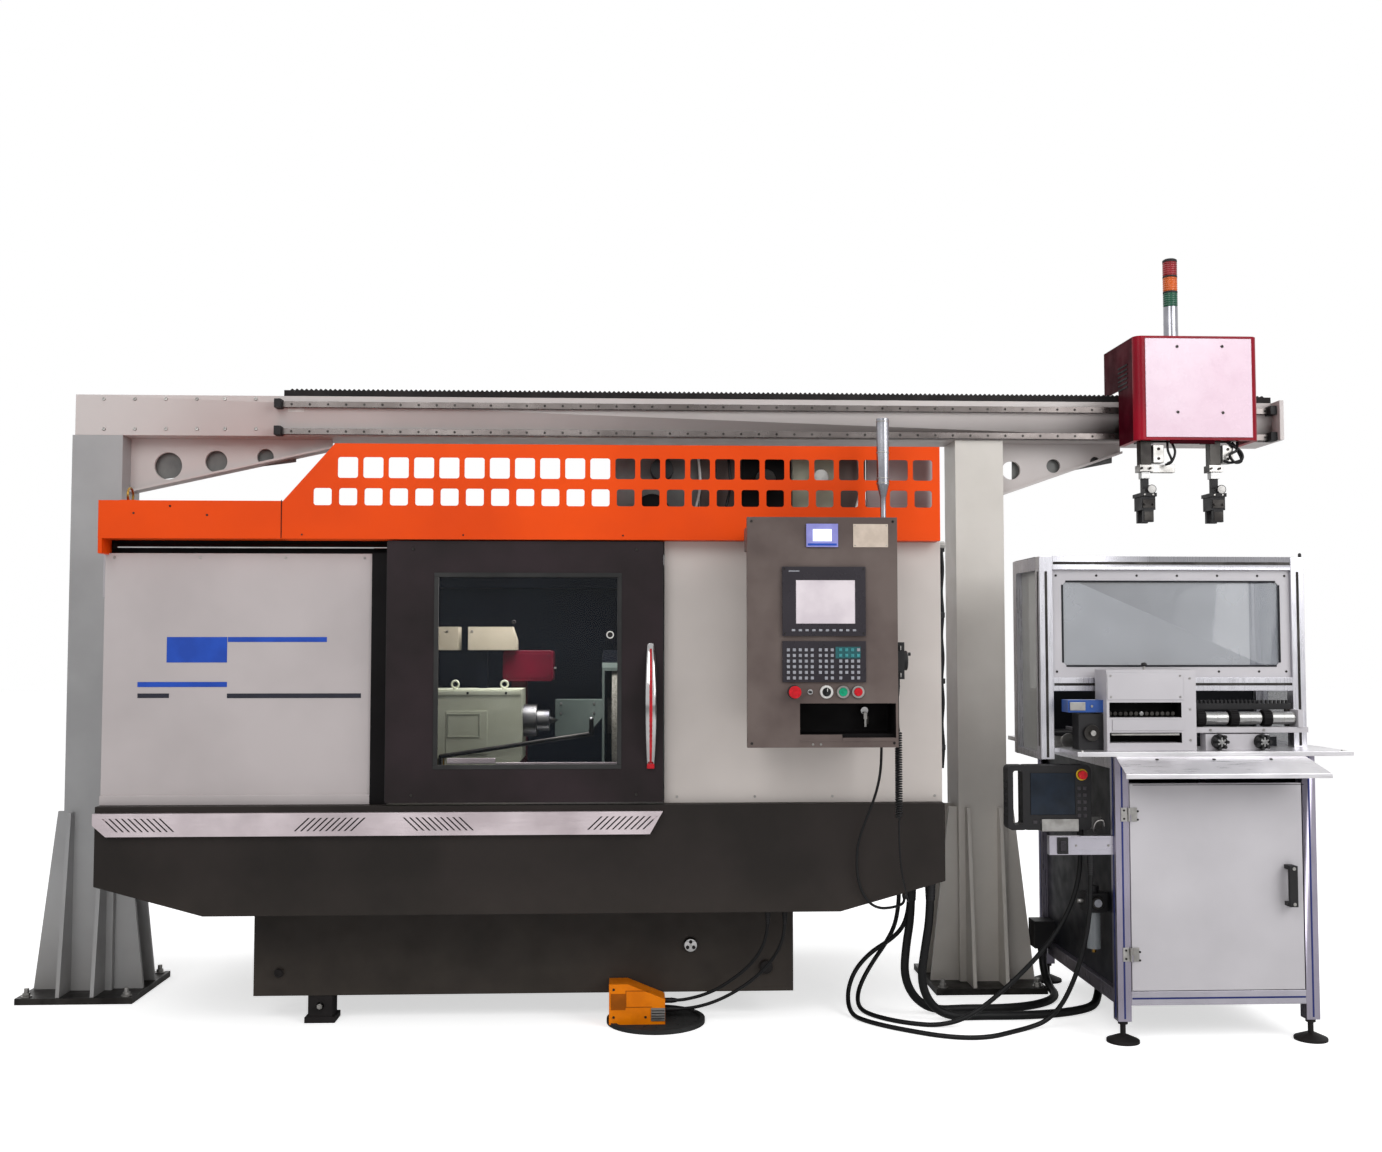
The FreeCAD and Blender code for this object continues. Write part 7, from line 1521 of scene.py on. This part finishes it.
    def make_handwheel(self) -> None:
        """Add the graduated ring of the handwheel and the two switches beside it."""
        dial = Piece("dial_graduations", "dial")
        x, (y, z) = self.dial_x, self.wheel
        dial.lathe((x, y, z), Axis.X, [(18, 0), (27, 0), (27, 0.8), (18, 0.8)], ZINC, hollow=True)
        for tick in range(50):
            angle = 2 * math.pi * tick / 50
            inner = 21.5 if tick % 5 == 0 else 23.5
            ends = [(y + reach * math.cos(angle), z + reach * math.sin(angle)) for reach in (inner, 26)]
            (y0, y1), (z0, z1) = (sorted(pair) for pair in zip(*ends))
            dial.box(x + 0.6, x + 1.3, y0 - 0.25, y1 + 0.25, z0 - 0.25, z1 + 0.25, MATT_BLACK, 0.05)
        dial.make("black_plastic")
        switches = Piece("handwheel_switches", "machine")
        x = self.wheel_x
        for z in (1064, 1140):
            switches.rod((x, -190, z), Axis.Y, 7, -6, MATT_BLACK, 1.0)
            switches.box(x - 1, x + 1, -199, -196, z - 6, z + 6, BUTTON_WHITE, 0.4)
        switches.make("black_plastic")


@dataclass
class Gantry(Assembly):
    """Columns, beam, rails and cable tray of the loader's gantry."""

    beam_y: float = 600.0
    beam_top: float = 1984.0
    rail_y: float = 582.0
    rail_left: float = -1173.0
    rail_right: float = 2204.0
    rail_screws: int = 56
    rack_teeth: int = 210
    anchor_x: Pair = (-1785.5, 1182.5)
    anchor_y: float = 682.5
    anchor_reach: float = 158.0
    tray_ends: Pair = (-1040.0, 1640.0)
    tray_near: float = 708.0
    tray_width: float = 96.0
    tray_height: float = 34.0

    def make_frames(self) -> None:
        """Dress the welded columns, the beam and the rails."""
        DRESSER.soften("gantry_columns", COLUMN_GREY, 2.5, (
            # The right column takes the paler grey, painted light.
            ((995, 480, 20.5), (1370, 890, 2000), COLUMN_PAINTED_LIGHT),
            ((-1980, 480, -1), (-1590, 890, 20.5), DARK_STEEL),
            ((995, 480, -1), (1370, 890, 20.5), DARK_STEEL),
        ))
        DRESSER.soften("gantry_beam", BEAM_GREY, 2.5)
        DRESSER.soften("beam_rails", RAIL_STEEL, 0.8, (
            ((-1200, 550, 1840), (-1172.5, 601, 1970), MATT_BLACK),
            ((-1200, 590, 1984.5), (2215, 660, 2020), CAST_BLACK),
            ((2181, 550, 1840), (2215, 601, 1970), MATT_BLACK),
            ((-1200, 601, 1983), (2215, 640, 2006), DARK_STEEL),
        ))

    def make_bolts(self) -> None:
        """Add the rail screws, the beam screws and the anchors with washers."""
        rails = Piece("rail_screws", "machine")
        pitch = (self.rail_right - self.rail_left - 60) / (self.rail_screws - 1)
        for z, index in product((1862, 1953), range(self.rail_screws)):
            rails.rod((self.rail_left + 30 + index * pitch, self.rail_y, z), Axis.Y, 4.2, -0.6, DARK_STEEL, 0,
                      sides=10)
        rails.make("steel")
        piece = Piece("gantry_bolts", "machine")
        for u, v in product((104, 135, 166, 197, 225, 256), (399, 429)):
            x, z = Sightline.on_y(u, v, self.beam_y)
            piece.screw((x, self.beam_y, z), 6)
        reach = (-self.anchor_reach, self.anchor_reach)
        for centre, dx, dy in product(self.anchor_x, reach, reach):
            x, y = centre + dx, self.anchor_y + dy
            piece.rod((x, y, 20), Axis.Z, 17, 3, ZINC, 0.5)
            piece.rod((x, y, 23), Axis.Z, 12, 10, ZINC, 1.0, sides=6)
            piece.rod((x, y, 33), Axis.Z, 7.5, 14, ZINC, 1.0)
        piece.screws((self.rail_right + 8,), (570,), (1870, 1900, 1930, 1960), 5, DARK_STEEL)
        piece.make("steel")

    def make_rack(self) -> None:
        """Cut the look of teeth on the rack along the beam."""
        piece = Piece("rack_teeth", "machine")
        low = self.beam_top + 20
        pitch = (self.rail_right - self.rail_left - 40) / self.rack_teeth
        for index in range(self.rack_teeth):
            x = self.rail_left + 20 + index * pitch
            piece.prism([(x, low), (x + pitch * 0.3, low + 5), (x + pitch * 0.5, low + 5),
                         (x + pitch * 0.8, low)], Axis.Y, 602, 628, CAST_BLACK, 0)
        piece.make("steel")

    def make_tray(self) -> None:
        """Lay the black cable tray with its cables along the back of the beam, clear of the head."""
        piece = Piece("cable_tray", "machine")
        x0, x1 = self.tray_ends
        near, base = self.tray_near, self.beam_top
        far, top = near + self.tray_width, base + self.tray_height
        for y0, y1, z in ((near, far, base + 3), (near - 2, near + 1, top), (far - 1, far + 2, top)):
            piece.box(x0, x1, y0, y1, base, z, MATT_BLACK, 0.6)
        for index in range(9):
            x = x0 + 40 + index * (x1 - x0 - 100) / 8
            piece.box(x, x + 20, near - 2, far + 2, top - 4, top + 2, MATT_BLACK, 1.0)
            piece.box(x, x + 30, 753, far - 4, base - 5, base + 0.5, ZINC, 1.0)
            piece.box(x, x + 30, 753.5, 758, base - 60, base + 0.5, ZINC, 1.0)
            piece.screw((x + 15, 758, base - 40), 6, DARK_STEEL)
        for shift, radius in ((24, 9), (48, 7), (70, 10)):
            piece.rod((x0 + 4, near + shift, base + 3 + radius), Axis.X, radius, x1 - x0 - 8, CABLE, 0.8,
                      sides=14)
        piece.make("cable_black")

    def make_hole_shade(self) -> None:
        """Close the wedge brackets behind their round holes with grey plates: painted shade seen through the
        holes.
        """
        piece = Piece("bracket_hole_shade", "machine")
        for corners in (((140, 452), (140, 482), (296, 462), (296, 448)),
                        ((1012, 450), (1012, 482), (1112, 463), (1112, 450))):
            outline = [Sightline.on_y(u, v, 700) for u, v in corners]
            piece.prism(outline, Axis.Y, 700, 706, EQUIPMENT, 1)
        piece.make("grey_paint")

    def make_labels(self) -> None:
        """Add an end cap under the beam's left end and the bare plate on the beam."""
        piece = Piece("beam_trims", "machine")
        y = self.beam_y
        piece.box(-1858, -1852, y + 6, 754, 1854, 1978, BEAM_GREY, 2)
        x0, z1 = Sightline.on_y(288, 406, y)
        x1, z0 = Sightline.on_y(304, 412, y)
        piece.box(x0, x1, y - 1, y, z0, z1, BUTTON_WHITE, 0.2)
        piece.make("grey_paint")


@dataclass
class LoaderHead(Assembly):
    """Carriage with its crimson cover, tower light and two telescopic arms."""

    face_y: float = 397.0
    left_x: float = 1655.0
    right_x: float = 2070.0
    top: float = 2171.0
    arms: Pair = (1699.0, 1933.0)
    grip_y: float = 412.0

    def make_bodies(self) -> None:
        """Dress the carriage, the cover and the arms."""
        DRESSER.soften("carriage", DARK_STEEL, 1.0, (
            ((1660, 425, 1700), (1770, 475, 1830), ZINC),
            ((1910, 425, 1700), (2000, 475, 1830), ZINC),
        ))
        DRESSER.soften("head_cover", CRIMSON, 1.2, (
            # The cover's front in pale pink: painted reflection on the crimson lacquer.
            ((1680, 396, 1840), (2050, 399.8, 2160), CRIMSON_PAINTED_REFLECTION),
            # The cover's left side in dark crimson: painted shade.
            ((1650, 430, 1823), (1655.6, 705, 2172), CRIMSON_DARK),
        ))
        for side in ("left", "right"):
            DRESSER.soften(f"arm_{side}_outer", STEEL, 0.5)
            DRESSER.soften(f"arm_{side}_inner", MATT_BLACK, 0.8, (
                ((1680, 445, 1660), (2000, 460, 2130), ZINC),
            ))
            DRESSER.soften(f"arm_{side}_jaw", MATT_BLACK, 0.8)

    def make_cover_details(self) -> None:
        """Add screws, vents, the top plate and the lower lip of the cover."""
        piece = Piece("cover_details", "loader")
        for u, v in ((1177, 346.5), (1222, 346.5), (1178, 412), (1223, 412.7)):
            x, z = Sightline.on_y(u, v, self.face_y)
            piece.screw((x, self.face_y, z), 5, DARK_STEEL)
        left, right = self.left_x, self.right_x
        for z, (x0, x1) in product(range(2010, 2100, 15), ((left - 1.2, left + 1), (right - 1, right + 1.2))):
            piece.box(x0, x1, 470, 560, z, z + 6, BLACK_AND_PAINTED_SHADE, 0.6)
        piece.box(1768, 1806, 470, 530, self.top, self.top + 4, BLACK_AND_PAINTED_SHADE, 1.0)
        # The lip under the cover in dark crimson: painted shade.
        piece.box(1770, 1920, 402, 410, 1812, 1825, CRIMSON_DARK, 1.5)
        piece.screws((1670, 2055), (430, 680), (self.top,), 4.5, DARK_STEEL, Axis.Z, 1)
        piece.make("crimson_paint")

    def make_tower(self) -> None:
        """Replace the tower light by ribbed lenses on a silver tube."""
        piece = Piece("tower_lenses", "loader")
        base = (1817, 500, self.top)
        piece.lathe(base, Axis.Z, [(0, 0), (32, 0), (32, 6), (24, 8.5), (23.6, 60), (24, 61), (24, 64),
                                   (23.6, 65), (23.6, 119), (0, 119)], SIGNAL_WHITE)
        low = 120.0
        for finish in (LENS_GREEN, LENS_AMBER, LENS_RED):
            profile = [(0, low), (22.5, low)]
            for rib in range(6):
                at = low + 2 + rib * 7.4
                profile += [(22.6, at), (24, at + 2), (24, at + 5), (22.6, at + 7)]
            profile += [(22.5, low + 47), (0, low + 47)]
            piece.lathe(base, Axis.Z, profile, finish)
            piece.lathe(base, Axis.Z, [(0, low + 47), (23.9, low + 47), (23.9, low + 52.5), (0, low + 52.5)],
                        MATT_BLACK)
            low += 53
        piece.lathe(base, Axis.Z, [(0, 278), (23.4, 278), (23.8, 280), (18, 284), (0, 285)], MATT_BLACK)
        piece.make("lamp_plastic", ("tower_light",))

    def make_guides(self) -> None:
        """Add hoses, fittings and clamps around the fixed guides of the arms."""
        piece = Piece("guide_fittings", "loader")
        for x in self.arms:
            piece.box(x + 24, x + 60, 430, 470, 1752, 1812, ZINC, 1.5)
            piece.screws((x + 42,), (430,), (1766, 1798), 5, DARK_STEEL)
            for dx in (-18, 10):
                piece.rod((x + dx, 424, 1733), Axis.Y, 4, -5, DARK_STEEL, 0.8)
        piece.pipe([(1770, 428, 1822), (1768, 418, 1790), (1778, 414, 1758), (1766, 420, 1748)], 4, HOSE)
        piece.pipe([(1784, 428, 1822), (1790, 414, 1786), (1776, 410, 1752), (1760, 422, 1744)], 4, HOSE)
        piece.pipe([(1972, 430, 1822), (2010, 415, 1790), (2014, 414, 1762), (1978, 420, 1752),
                    (1960, 428, 1760)], 4.5, HOSE)
        piece.pipe([(2008, 432, 1822), (1996, 412, 1792), (1972, 410, 1776), (1990, 412, 1752),
                    (2016, 420, 1760), (2004, 430, 1800), (1992, 438, 1822)], 4.5, HOSE)
        piece.make("steel")

    def make_grippers(self) -> None:
        """Add the air fittings, the pads and the screws on both grippers."""
        y = self.grip_y
        for side, x in zip(("left", "right"), self.arms):
            piece = Piece(f"gripper_{side}_details", f"{side}_inner")
            piece.lathe((x + 10.8, y, 1662), Axis.Y, [(0, -2), (9, -2), (13, 0)], BUTTON_WHITE)
            for dx in (-14, 14):
                piece.rod((x + dx, y + 4, 1612), Axis.Y, 4, -9, DARK_STEEL, sides=6)
                piece.screw((x + dx, y, 1644), 3.4)
            piece.box(x - 20, x + 20, y + 1.5, y + 4, 1600, 1628, DARK_STEEL)
            piece.make("black_plastic")
            jaw = Piece(f"jaw_{side}_pad", f"{side}_jaw")
            jaw.box(x - 15, x + 15, y + 2.6, y + 4.2, 1558, 1588, DARK_STEEL, 0.6)
            jaw.make("black_plastic")


@dataclass
class Bench(Assembly):
    """Feeder bench: profile frame, panels, door, table and hood."""

    left: float = 1401.0
    right: float = 1996.0
    front: float = -70.0
    table_top: float = 840.0
    apron_y: float = -122.0
    hood_y: float = 50.0
    window: Sides = (1295.0, 1961.0, 1085.0, 1340.0)
    hinge_screws: tuple[float, ...] = (242.0, 266.0, 644.0, 668.0)

    def make_frames(self) -> None:
        """Dress the frame, the panels, the door, the table and the hood's panes."""
        DRESSER.soften("bench_frame", ALUMINIUM, 1.8, (
            ((1441, -71, 100), (1956, 701, 150), ALUMINIUM_X),
            ((1441, -71, 780), (1956, 701, 827), ALUMINIUM_X),
            ((1221, 49, 805), (2035, 341, 1416), HOOD_ALUMINIUM),
            ((1405, -81, 230), (1441.2, -70.4, 680), ZINC),
        ))
        DRESSER.soften("bench_panels", BENCH_DARK, 0.8)
        DRESSER.soften("bench_door", SHEET_WHITE, 1.2, (
            ((1870, -107, 385), (1948, -50, 515), MATT_BLACK),
            ((1435, -90, 230), (1470, -70, 680), ZINC),
        ))
        DRESSER.soften("bench_table", PLATE_SILVER, 1.0)
        DRESSER.soften("hood_panes", ACRYLIC, 0.4, (
            ((1262, 61, 1049), (1994, 65.5, 1376), SHEET_WHITE),
            ((1262, 316, 839), (1994, 324, 1012), BENCH_DARK),
            ((1238, 90, 820), (1246, 300, 1376), FROST),
        ))

    def make_slots(self) -> None:
        """Lay the blue slot covers and the dark slots along the profiles."""
        piece = Piece("profile_slots", "machine")
        left, right, y = self.left, self.right, self.front
        for x in (left + 20, right - 20):
            piece.box(x - 2.6, x + 2.6, y - 0.8, y + 1, 70, 822, PROFILE_BLUE, 0.3)
        piece.box(left + 42, right - 42, y - 0.8, y + 1, 125.4, 130.6, PROFILE_BLUE, 0.3)
        for middle, (x0, x1) in product((y + 20, 680), ((left - 0.8, left + 1), (right - 1, right + 0.8))):
            piece.box(x0, x1, middle - 4, middle + 4, 70, 822, PROFILE_BLUE, 0.3)
        y = self.hood_y
        for x, low, side in ((1242, 812, 1221.2), (2014, 845, 2033)):
            piece.box(x - 4, x + 4, y - 0.8, y + 1, low, 1370, DARK_STEEL, 0.3)
            piece.box(side, side + 1.8, 66, 74, 845, 1370, DARK_STEEL, 0.3)
        for z in (1026, 1391):
            piece.box(1264, 1992, y - 0.8, y + 1, z, z + 8, DARK_STEEL, 0.3)
        piece.make("profile_aluminium")

    def make_door_hardware(self) -> None:
        """Add the hinge screws and the lock of the bench door."""
        door = Piece("bench_door_hardware", "cabinet_door")
        door.screws((1459,), (-93.2,), self.hinge_screws, 3.2, DARK_STEEL)
        for z in (400, 502):
            door.rod((1910, -106, z), Axis.Y, 5, -1.6, ZINC, 0.5)
        door.box(1446, 1951, -91.2, -90, 742, 744, BENCH_DARK, 0.2)
        door.make("bench_white")
        post = Piece("hinge_screws", "machine")
        post.screws((1426,), (-73,), self.hinge_screws, 3.2, DARK_STEEL)
        post.make("profile_aluminium")

    def make_table_details(self) -> None:
        """Add the screws of the apron and of the table plate's corners."""
        piece = Piece("bench_table_details", "machine")
        y = self.apron_y
        for u in (1157, 1214, 1271):
            x, _ = Sightline.on_y(u, 760, y)
            piece.screw((x, y, 818.5), 5, DARK_STEEL, Axis.Z, 1)
        piece.screws((1300, 2070), (-90, 600), (self.table_top,), 5, axis=Axis.Z, out=1)
        piece.make("bench_white")

    def make_hood_hardware(self) -> None:
        """Add the window's gasket, its screws and the corner brackets of the hood."""
        piece = Piece("hood_hardware", "machine")
        piece.screws((1276, 1400, 1524, 1648, 1772, 1896, 1980), (62,), (1068, 1358), 3.6, DARK_STEEL)
        x0, x1, z0, z1 = self.window
        for a, b, c, d in ((x0 + 10, x1 - 10, z0 - 3, z0 + 3), (x0 + 10, x1 - 10, z1 - 3, z1 + 3),
                           (x0 - 3, x0 + 3, z0 + 10, z1 - 10), (x1 - 3, x1 + 3, z0 + 10, z1 - 10)):
            piece.box(a, b, 60.5, 64, c, d, BENCH_DARK, 1.0)
        for x in (1250, 2006):
            piece.box(x - 12, x + 12, 88, 112, 1376, 1400, ZINC, 2)
        piece.lathe((2028, 60, 1415), Axis.Z, [(0, 0), (5, 0), (5, 8), (3, 12), (0, 13)], MATT_BLACK)
        piece.make("hood_pane")

    def make_conveyor(self) -> None:
        """Stand the small part conveyor on the table under the hood."""
        piece = Piece("part_conveyor", "machine")
        base = self.table_top
        piece.box(1266, 1378, 110, 285, base, 872, ZINC, 1.5)
        piece.box(1276, 1368, 118, 278, 872, 884, MATT_BLACK, 4)
        for x in (1270, 1374):
            piece.box(x - 4, x + 4, 110, 285, 872, 892, SHEET_WHITE, 1.0)
        piece.rod((1322, 104, 858), Axis.Y, 22, 8, ZINC, 1.5)
        for x in range(1420, 1960, 45):
            piece.rod((x, 120, 850), Axis.Y, 8, 150, ZINC, 0.8, sides=14)
        for y in (112, 270):
            piece.box(1400, 1970, y, y + 8, base, 868, BENCH_DARK, 1.0)
        piece.make("bench_white")


@dataclass
class Feeder(Assembly):
    """Magazine, feed rollers and knobs on the bench."""

    front: float = -60.0
    stop_y: float = -30.0
    roller_x: float = 1662.0
    roller_pitch: float = 100.0
    roller: Pair = (-20.0, 932.0)
    knob_x: Pair = (1722.0, 1850.0)
    knob: Pair = (-54.0, 864.0)

    def make_bodies(self) -> None:
        """Dress the magazine, the rollers and the knobs."""
        DRESSER.soften("magazine", SHEET_WHITE, 1.2, (
            ((1278, -31, 949), (1383.4, 31, 987), BLUE_PART),
            ((1308, -31, 839), (1383.4, 31, 946), MATT_BLACK),
            # The magazine's two slots in near-black: painted shade.
            ((1391, -59.5, 862), (1607, 11, 892), BLACK_AND_PAINTED_SHADE),
            ((1391, -59.5, 936), (1607, 11, 980), BLACK_AND_PAINTED_SHADE),
            ((1650.2, -50, 889), (2000, 10, 907), SHEET_WHITE),
        ))
        places = [self.roller_x + self.roller_pitch * index for index in range(3)]
        DRESSER.soften("feed_rollers", STEEL, 0.6,
                       tuple(((x - 0.5, -50, 900), (x + 26.2, 10, 960), BLACK_AND_PAINTED_SHADE) for x in places))
        DRESSER.soften("knob_left", MATT_BLACK, 1.0)
        DRESSER.soften("knob_right", MATT_BLACK, 1.0)

    def make_magazine_details(self) -> None:
        """Add the folded edges, the slide rails, the top knob and the screws of the magazine."""
        piece = Piece("magazine_details", "machine")
        y = self.front
        piece.box(1386, 1612, y - 3, y, 988, 1066, SHEET_WHITE, 1.5)
        piece.box(1400, 1612, y - 3, y, 898, 930, SHEET_WHITE, 1.5)
        piece.screws((1396, 1602), (y - 3,), (996, 1058), 3.2)
        piece.screws((1632,), (y,), (870, 960, 1050), 3.6)
        for index in range(13):
            x = 1398 + 15.6 * index
            # One roller of the row in chrome: a painted glint among the dark steel ones.
            piece.rod((x, y + 12, 947), Axis.Y, 6, 46, CHROME if index == 6 else DARK_STEEL, 0.8, sides=14)
        piece.box(1398, 1600, y + 2, y + 8, 884, 889, ZINC, 0.6)
        x, _ = Sightline.on_y(1144, 667, -10)
        piece.rod((x, -10, 1075), Axis.Z, 4, 10, ZINC, 0.6)
        piece.lathe((x, -10, 1085), Axis.Z, [(0, 0), (7, 0), (9, 4), (7, 10), (0, 12)], MATT_BLACK)
        piece.box(1284, 1330, y + 26, y + 30, 956, 980, ZINC, 1.0)
        y = self.stop_y
        piece.screws((1300, 1350), (y,), (968,), 4)
        piece.rod((1347, y, 890), Axis.Y, 24, -10, DARK_STEEL, 2)
        piece.rod((1347, y - 10, 890), Axis.Y, 8, -12, ZINC, 1)
        piece.make("bench_white")

    def make_comb(self) -> None:
        """Stand the black toothed strip behind the rollers on its two posts."""
        piece = Piece("part_comb", "machine")
        for x in (1668, 1948):
            piece.box(x, x + 12, 7, 17, 906, 962, DARK_STEEL, 1.0)
        piece.box(1662, 1966, 6, 18, 956, 974, MATT_BLACK, 1.0)
        for index in range(24):
            x = 1666 + 12.4 * index
            piece.box(x, x + 6, 6, 17, 973, 984, MATT_BLACK, 0.8)
        piece.screws((1700, 1860), (-40,), (898,), 4)
        piece.make("black_plastic")

    def make_roller_grooves(self) -> None:
        """Add the knurled sleeves and the grooved rings that turn with the rollers."""
        piece = Piece("roller_sleeves", "rollers")
        y, z = self.roller
        for index in range(3):
            x = self.roller_x + self.roller_pitch * index
            for step in range(18):
                angle = 2 * math.pi * step / 18
                piece.rod((x + 2, y + 24 * math.cos(angle), z + 24 * math.sin(angle)), Axis.X, 1.5, 22,
                          BLACK_AND_PAINTED_SHADE, 0, sides=6)
            for groove in (30, 60, 90):
                piece.lathe((x + groove, y, z), Axis.X, [(18.4, 0), (19.5, 0.6), (19.5, 2.4), (18.4, 3)],
                            ZINC, hollow=True)
        piece.make("steel")

    def make_knob_stars(self) -> None:
        """Add the lobed rims and silver stars of the two knobs."""
        y, z = self.knob
        for side, x in zip(("left", "right"), self.knob_x):
            piece = Piece(f"knob_{side}_star", f"{side}_knob")
            for lobe in range(7):
                angle = 2 * math.pi * lobe / 7
                piece.rod((x + 19 * math.cos(angle), y, z + 19 * math.sin(angle)), Axis.Y, 5, -13, MATT_BLACK,
                          1.2, sides=16)
            for arm in range(3):
                angle = math.radians(30 + 60 * arm)
                long = Vector((math.cos(angle), math.sin(angle))) * 13
                wide = Vector((-math.sin(angle), math.cos(angle))) * 2.6
                corners = [long + wide, wide - long, -long - wide, long - wide]
                piece.prism([(x + spot.x, z + spot.y) for spot in corners], Axis.Y, y - 13.6, y - 12.4,
                            CHROME, 0.3)
            piece.rod((x, y - 12.4, z), Axis.Y, 5, -2.2, CHROME, 0.5)
            piece.make("black_plastic")


@dataclass
class SideKit(Assembly):
    """Teach pendant, its holder, the switch bar, the air filter and the cable box."""

    pendant_y: float = 0.0
    plate_y: float = -55.0
    gauge: Point = (1376.0, 60.0, 385.0)

    def make_bodies(self) -> None:
        """Dress the pendant and the fittings."""
        DRESSER.soften("teach_pendant", MATT_BLACK, 4.0)
        DRESSER.paint("pendant_stop", BUTTON_RED)
        DRESSER.soften("side_fittings", MATT_BLACK, 1.0, (
            ((1210, -55, 537), (1402, -29.5, 593), ALUMINIUM_X),
            ((1330, 35, 243), (1400, 85, 354), SMOKE),
            ((1185, -6, 597), (1402, 60, 640), ZINC),
        ))

    def make_pendant_face(self) -> None:
        """Add the screen, the keys and the yellow stop ring of the pendant."""
        piece = Piece("pendant_face", "machine")
        y = self.pendant_y
        piece.box(1174, 1306, y + 0.6, y + 3.2, 648, 770, PENDANT_SCREEN, 0.4)
        for x, z in product((1313, 1330), range(640, 740, 20)):
            piece.box(x, x + 10, y - 2.2, y + 0.4, z, z + 10, KEY_DARK, 0.9)
        for x in range(1180, 1306, 21):
            piece.box(x, x + 12, y - 2.2, y + 0.4, 622, 631, KEY_DARK, 0.9)
        piece.lathe((1327, y, 765), Axis.Y, [(13.2, 0), (17, 0), (17, -1.2), (16, -2), (13.2, -2)],
                    PLATE_YELLOW, hollow=True)
        for z in range(640, 760, 20):
            piece.box(1103.8, 1108, 8, 44, z, z + 9, MAT, 1.5)
        piece.make("black_plastic")

    def make_fitting_details(self) -> None:
        """Add the rocker, the gauge, the fittings and the wire hook beside the pendant."""
        piece = Piece("fitting_details", "machine")
        y = self.plate_y
        piece.box(1234, 1266, y - 3.5, y, 541, 589, MATT_BLACK, 1.2)
        piece.box(1241, 1259, y - 7, y - 3, 550, 580, GLOSS_BLACK, 2.0)
        piece.screws((1290, 1385), (y + 1,), (565,), 3.6)
        x, y, z = self.gauge
        piece.lathe((x, y - 31, z), Axis.Y, [(0, -14), (17, -14), (18.5, -12), (18.5, 0)], DARK_STEEL)
        piece.lathe((x, y - 45, z), Axis.Y, [(0, -0.6), (11.5, -0.6), (11.5, 0.5)], KEY_GREY)
        piece.rod((x, y, 233), Axis.Z, 7, 13, BRASS, 1.0, sides=6)
        piece.lathe((x, y, 411), Axis.Z, [(12, 0), (16, 2), (16.6, 14), (14, 20), (0, 20.5)], MATT_BLACK)
        piece.rod((x - 31, y, z), Axis.X, 7, -16, ZINC, 1.0, sides=6)
        piece.box(1352, 1353.6, 590, 655, 142, 208, MATT_BLACK, 0.6)
        piece.pipe([(1352, -34, 600), (1340, -60, 616), (1344, -74, 636), (1362, -76, 640), (1372, -60, 622)],
                   2.2, ZINC)
        piece.make("black_plastic")


@dataclass
class Pedal(Assembly):
    """Foot pedal on its rubber mat."""

    face_y: float = 160.0
    mat: Pair = (72.0, 224.0)

    def make_bodies(self) -> None:
        """Dress the housing, the mat and the treadle."""
        DRESSER.soften("pedal_body", PEDAL, 3.0, (
            ((-90, 60, -5), (230, 380, 13.2), MAT),
            ((99.2, 200, 20), (130, 245, 80), MATT_BLACK),
        ))
        DRESSER.soften("pedal_treadle", ZINC, 0.8)

    def make_details(self) -> None:
        """Add the ribs, the screws and the darker orange marks of the housing and the nubs of the mat."""
        piece = Piece("pedal_details", "machine")
        y = self.face_y
        for x, z in ((-56, 30), (40, 30), (84, 30), (-56, 112)):
            piece.screw((x, y, z), 4, DARK_STEEL)
        # A darker orange patch and thin darker lines on the housing's face.
        piece.box(-64, -20, y - 1.4, y + 0.4, 52, 100, PEDAL_DARK, 1.2)
        x0, z1 = Sightline.on_y(651, 1008, y)
        x1, z0 = Sightline.on_y(665, 1021, y)
        piece.box(x0, x1, y - 2.4, y + 1, z0, z1, ZINC, 1.0)
        for share in (0.2, 0.4, 0.6, 0.8):
            z = z0 + (z1 - z0) * share
            piece.box(x0 + 1, x1 - 1, y - 3.8, y - 2, z - 1.2, z + 1.2, DARK_STEEL, 0.4)
        for x1, low, high in ((60, 59, 61), (60, 107, 109), (-18, 60, 108)):
            piece.box(-20, x1, y - 1.2, y + 0.3, low, high, PEDAL_DARK, 0.4)
        for radius, count in ((60, 10), (92, 16), (124, 22)):
            for step in range(count):
                angle = 2 * math.pi * step / count
                x = self.mat[0] + radius * math.cos(angle)
                y = self.mat[1] + radius * math.sin(angle)
                under = (-76 < x < 128 and 152 < y < 252) or (-52 < x < 56 and y > 238)
                if not under:
                    piece.rod((x, y, 8), Axis.Z, 4, 1.6, MAT, 0.5, sides=12)
        piece.make("orange_cast")

    def make_tread(self) -> None:
        """Add the ribbed tread that moves with the treadle."""
        piece = Piece("treadle_ribs", "treadle")
        for x in range(22, 94, 12):
            piece.box(x, x + 5, 170, 211, 37.6, 39.6, ZINC, 0.7)
        piece.make("steel")


def main() -> None:
    """Build the dressed model, one sub-assembly after the other."""
    logging.basicConfig(level=logging.INFO)
    Studio().make()
    Cords().make()
    for part in (Enclosure(), SlidingDoor(), WorkZone(), ControlPanel(), Gantry(), LoaderHead(), Bench(),
                 Feeder(), SideKit(), Pedal()):
        part.build()


if __name__ == "__main__":
    main()
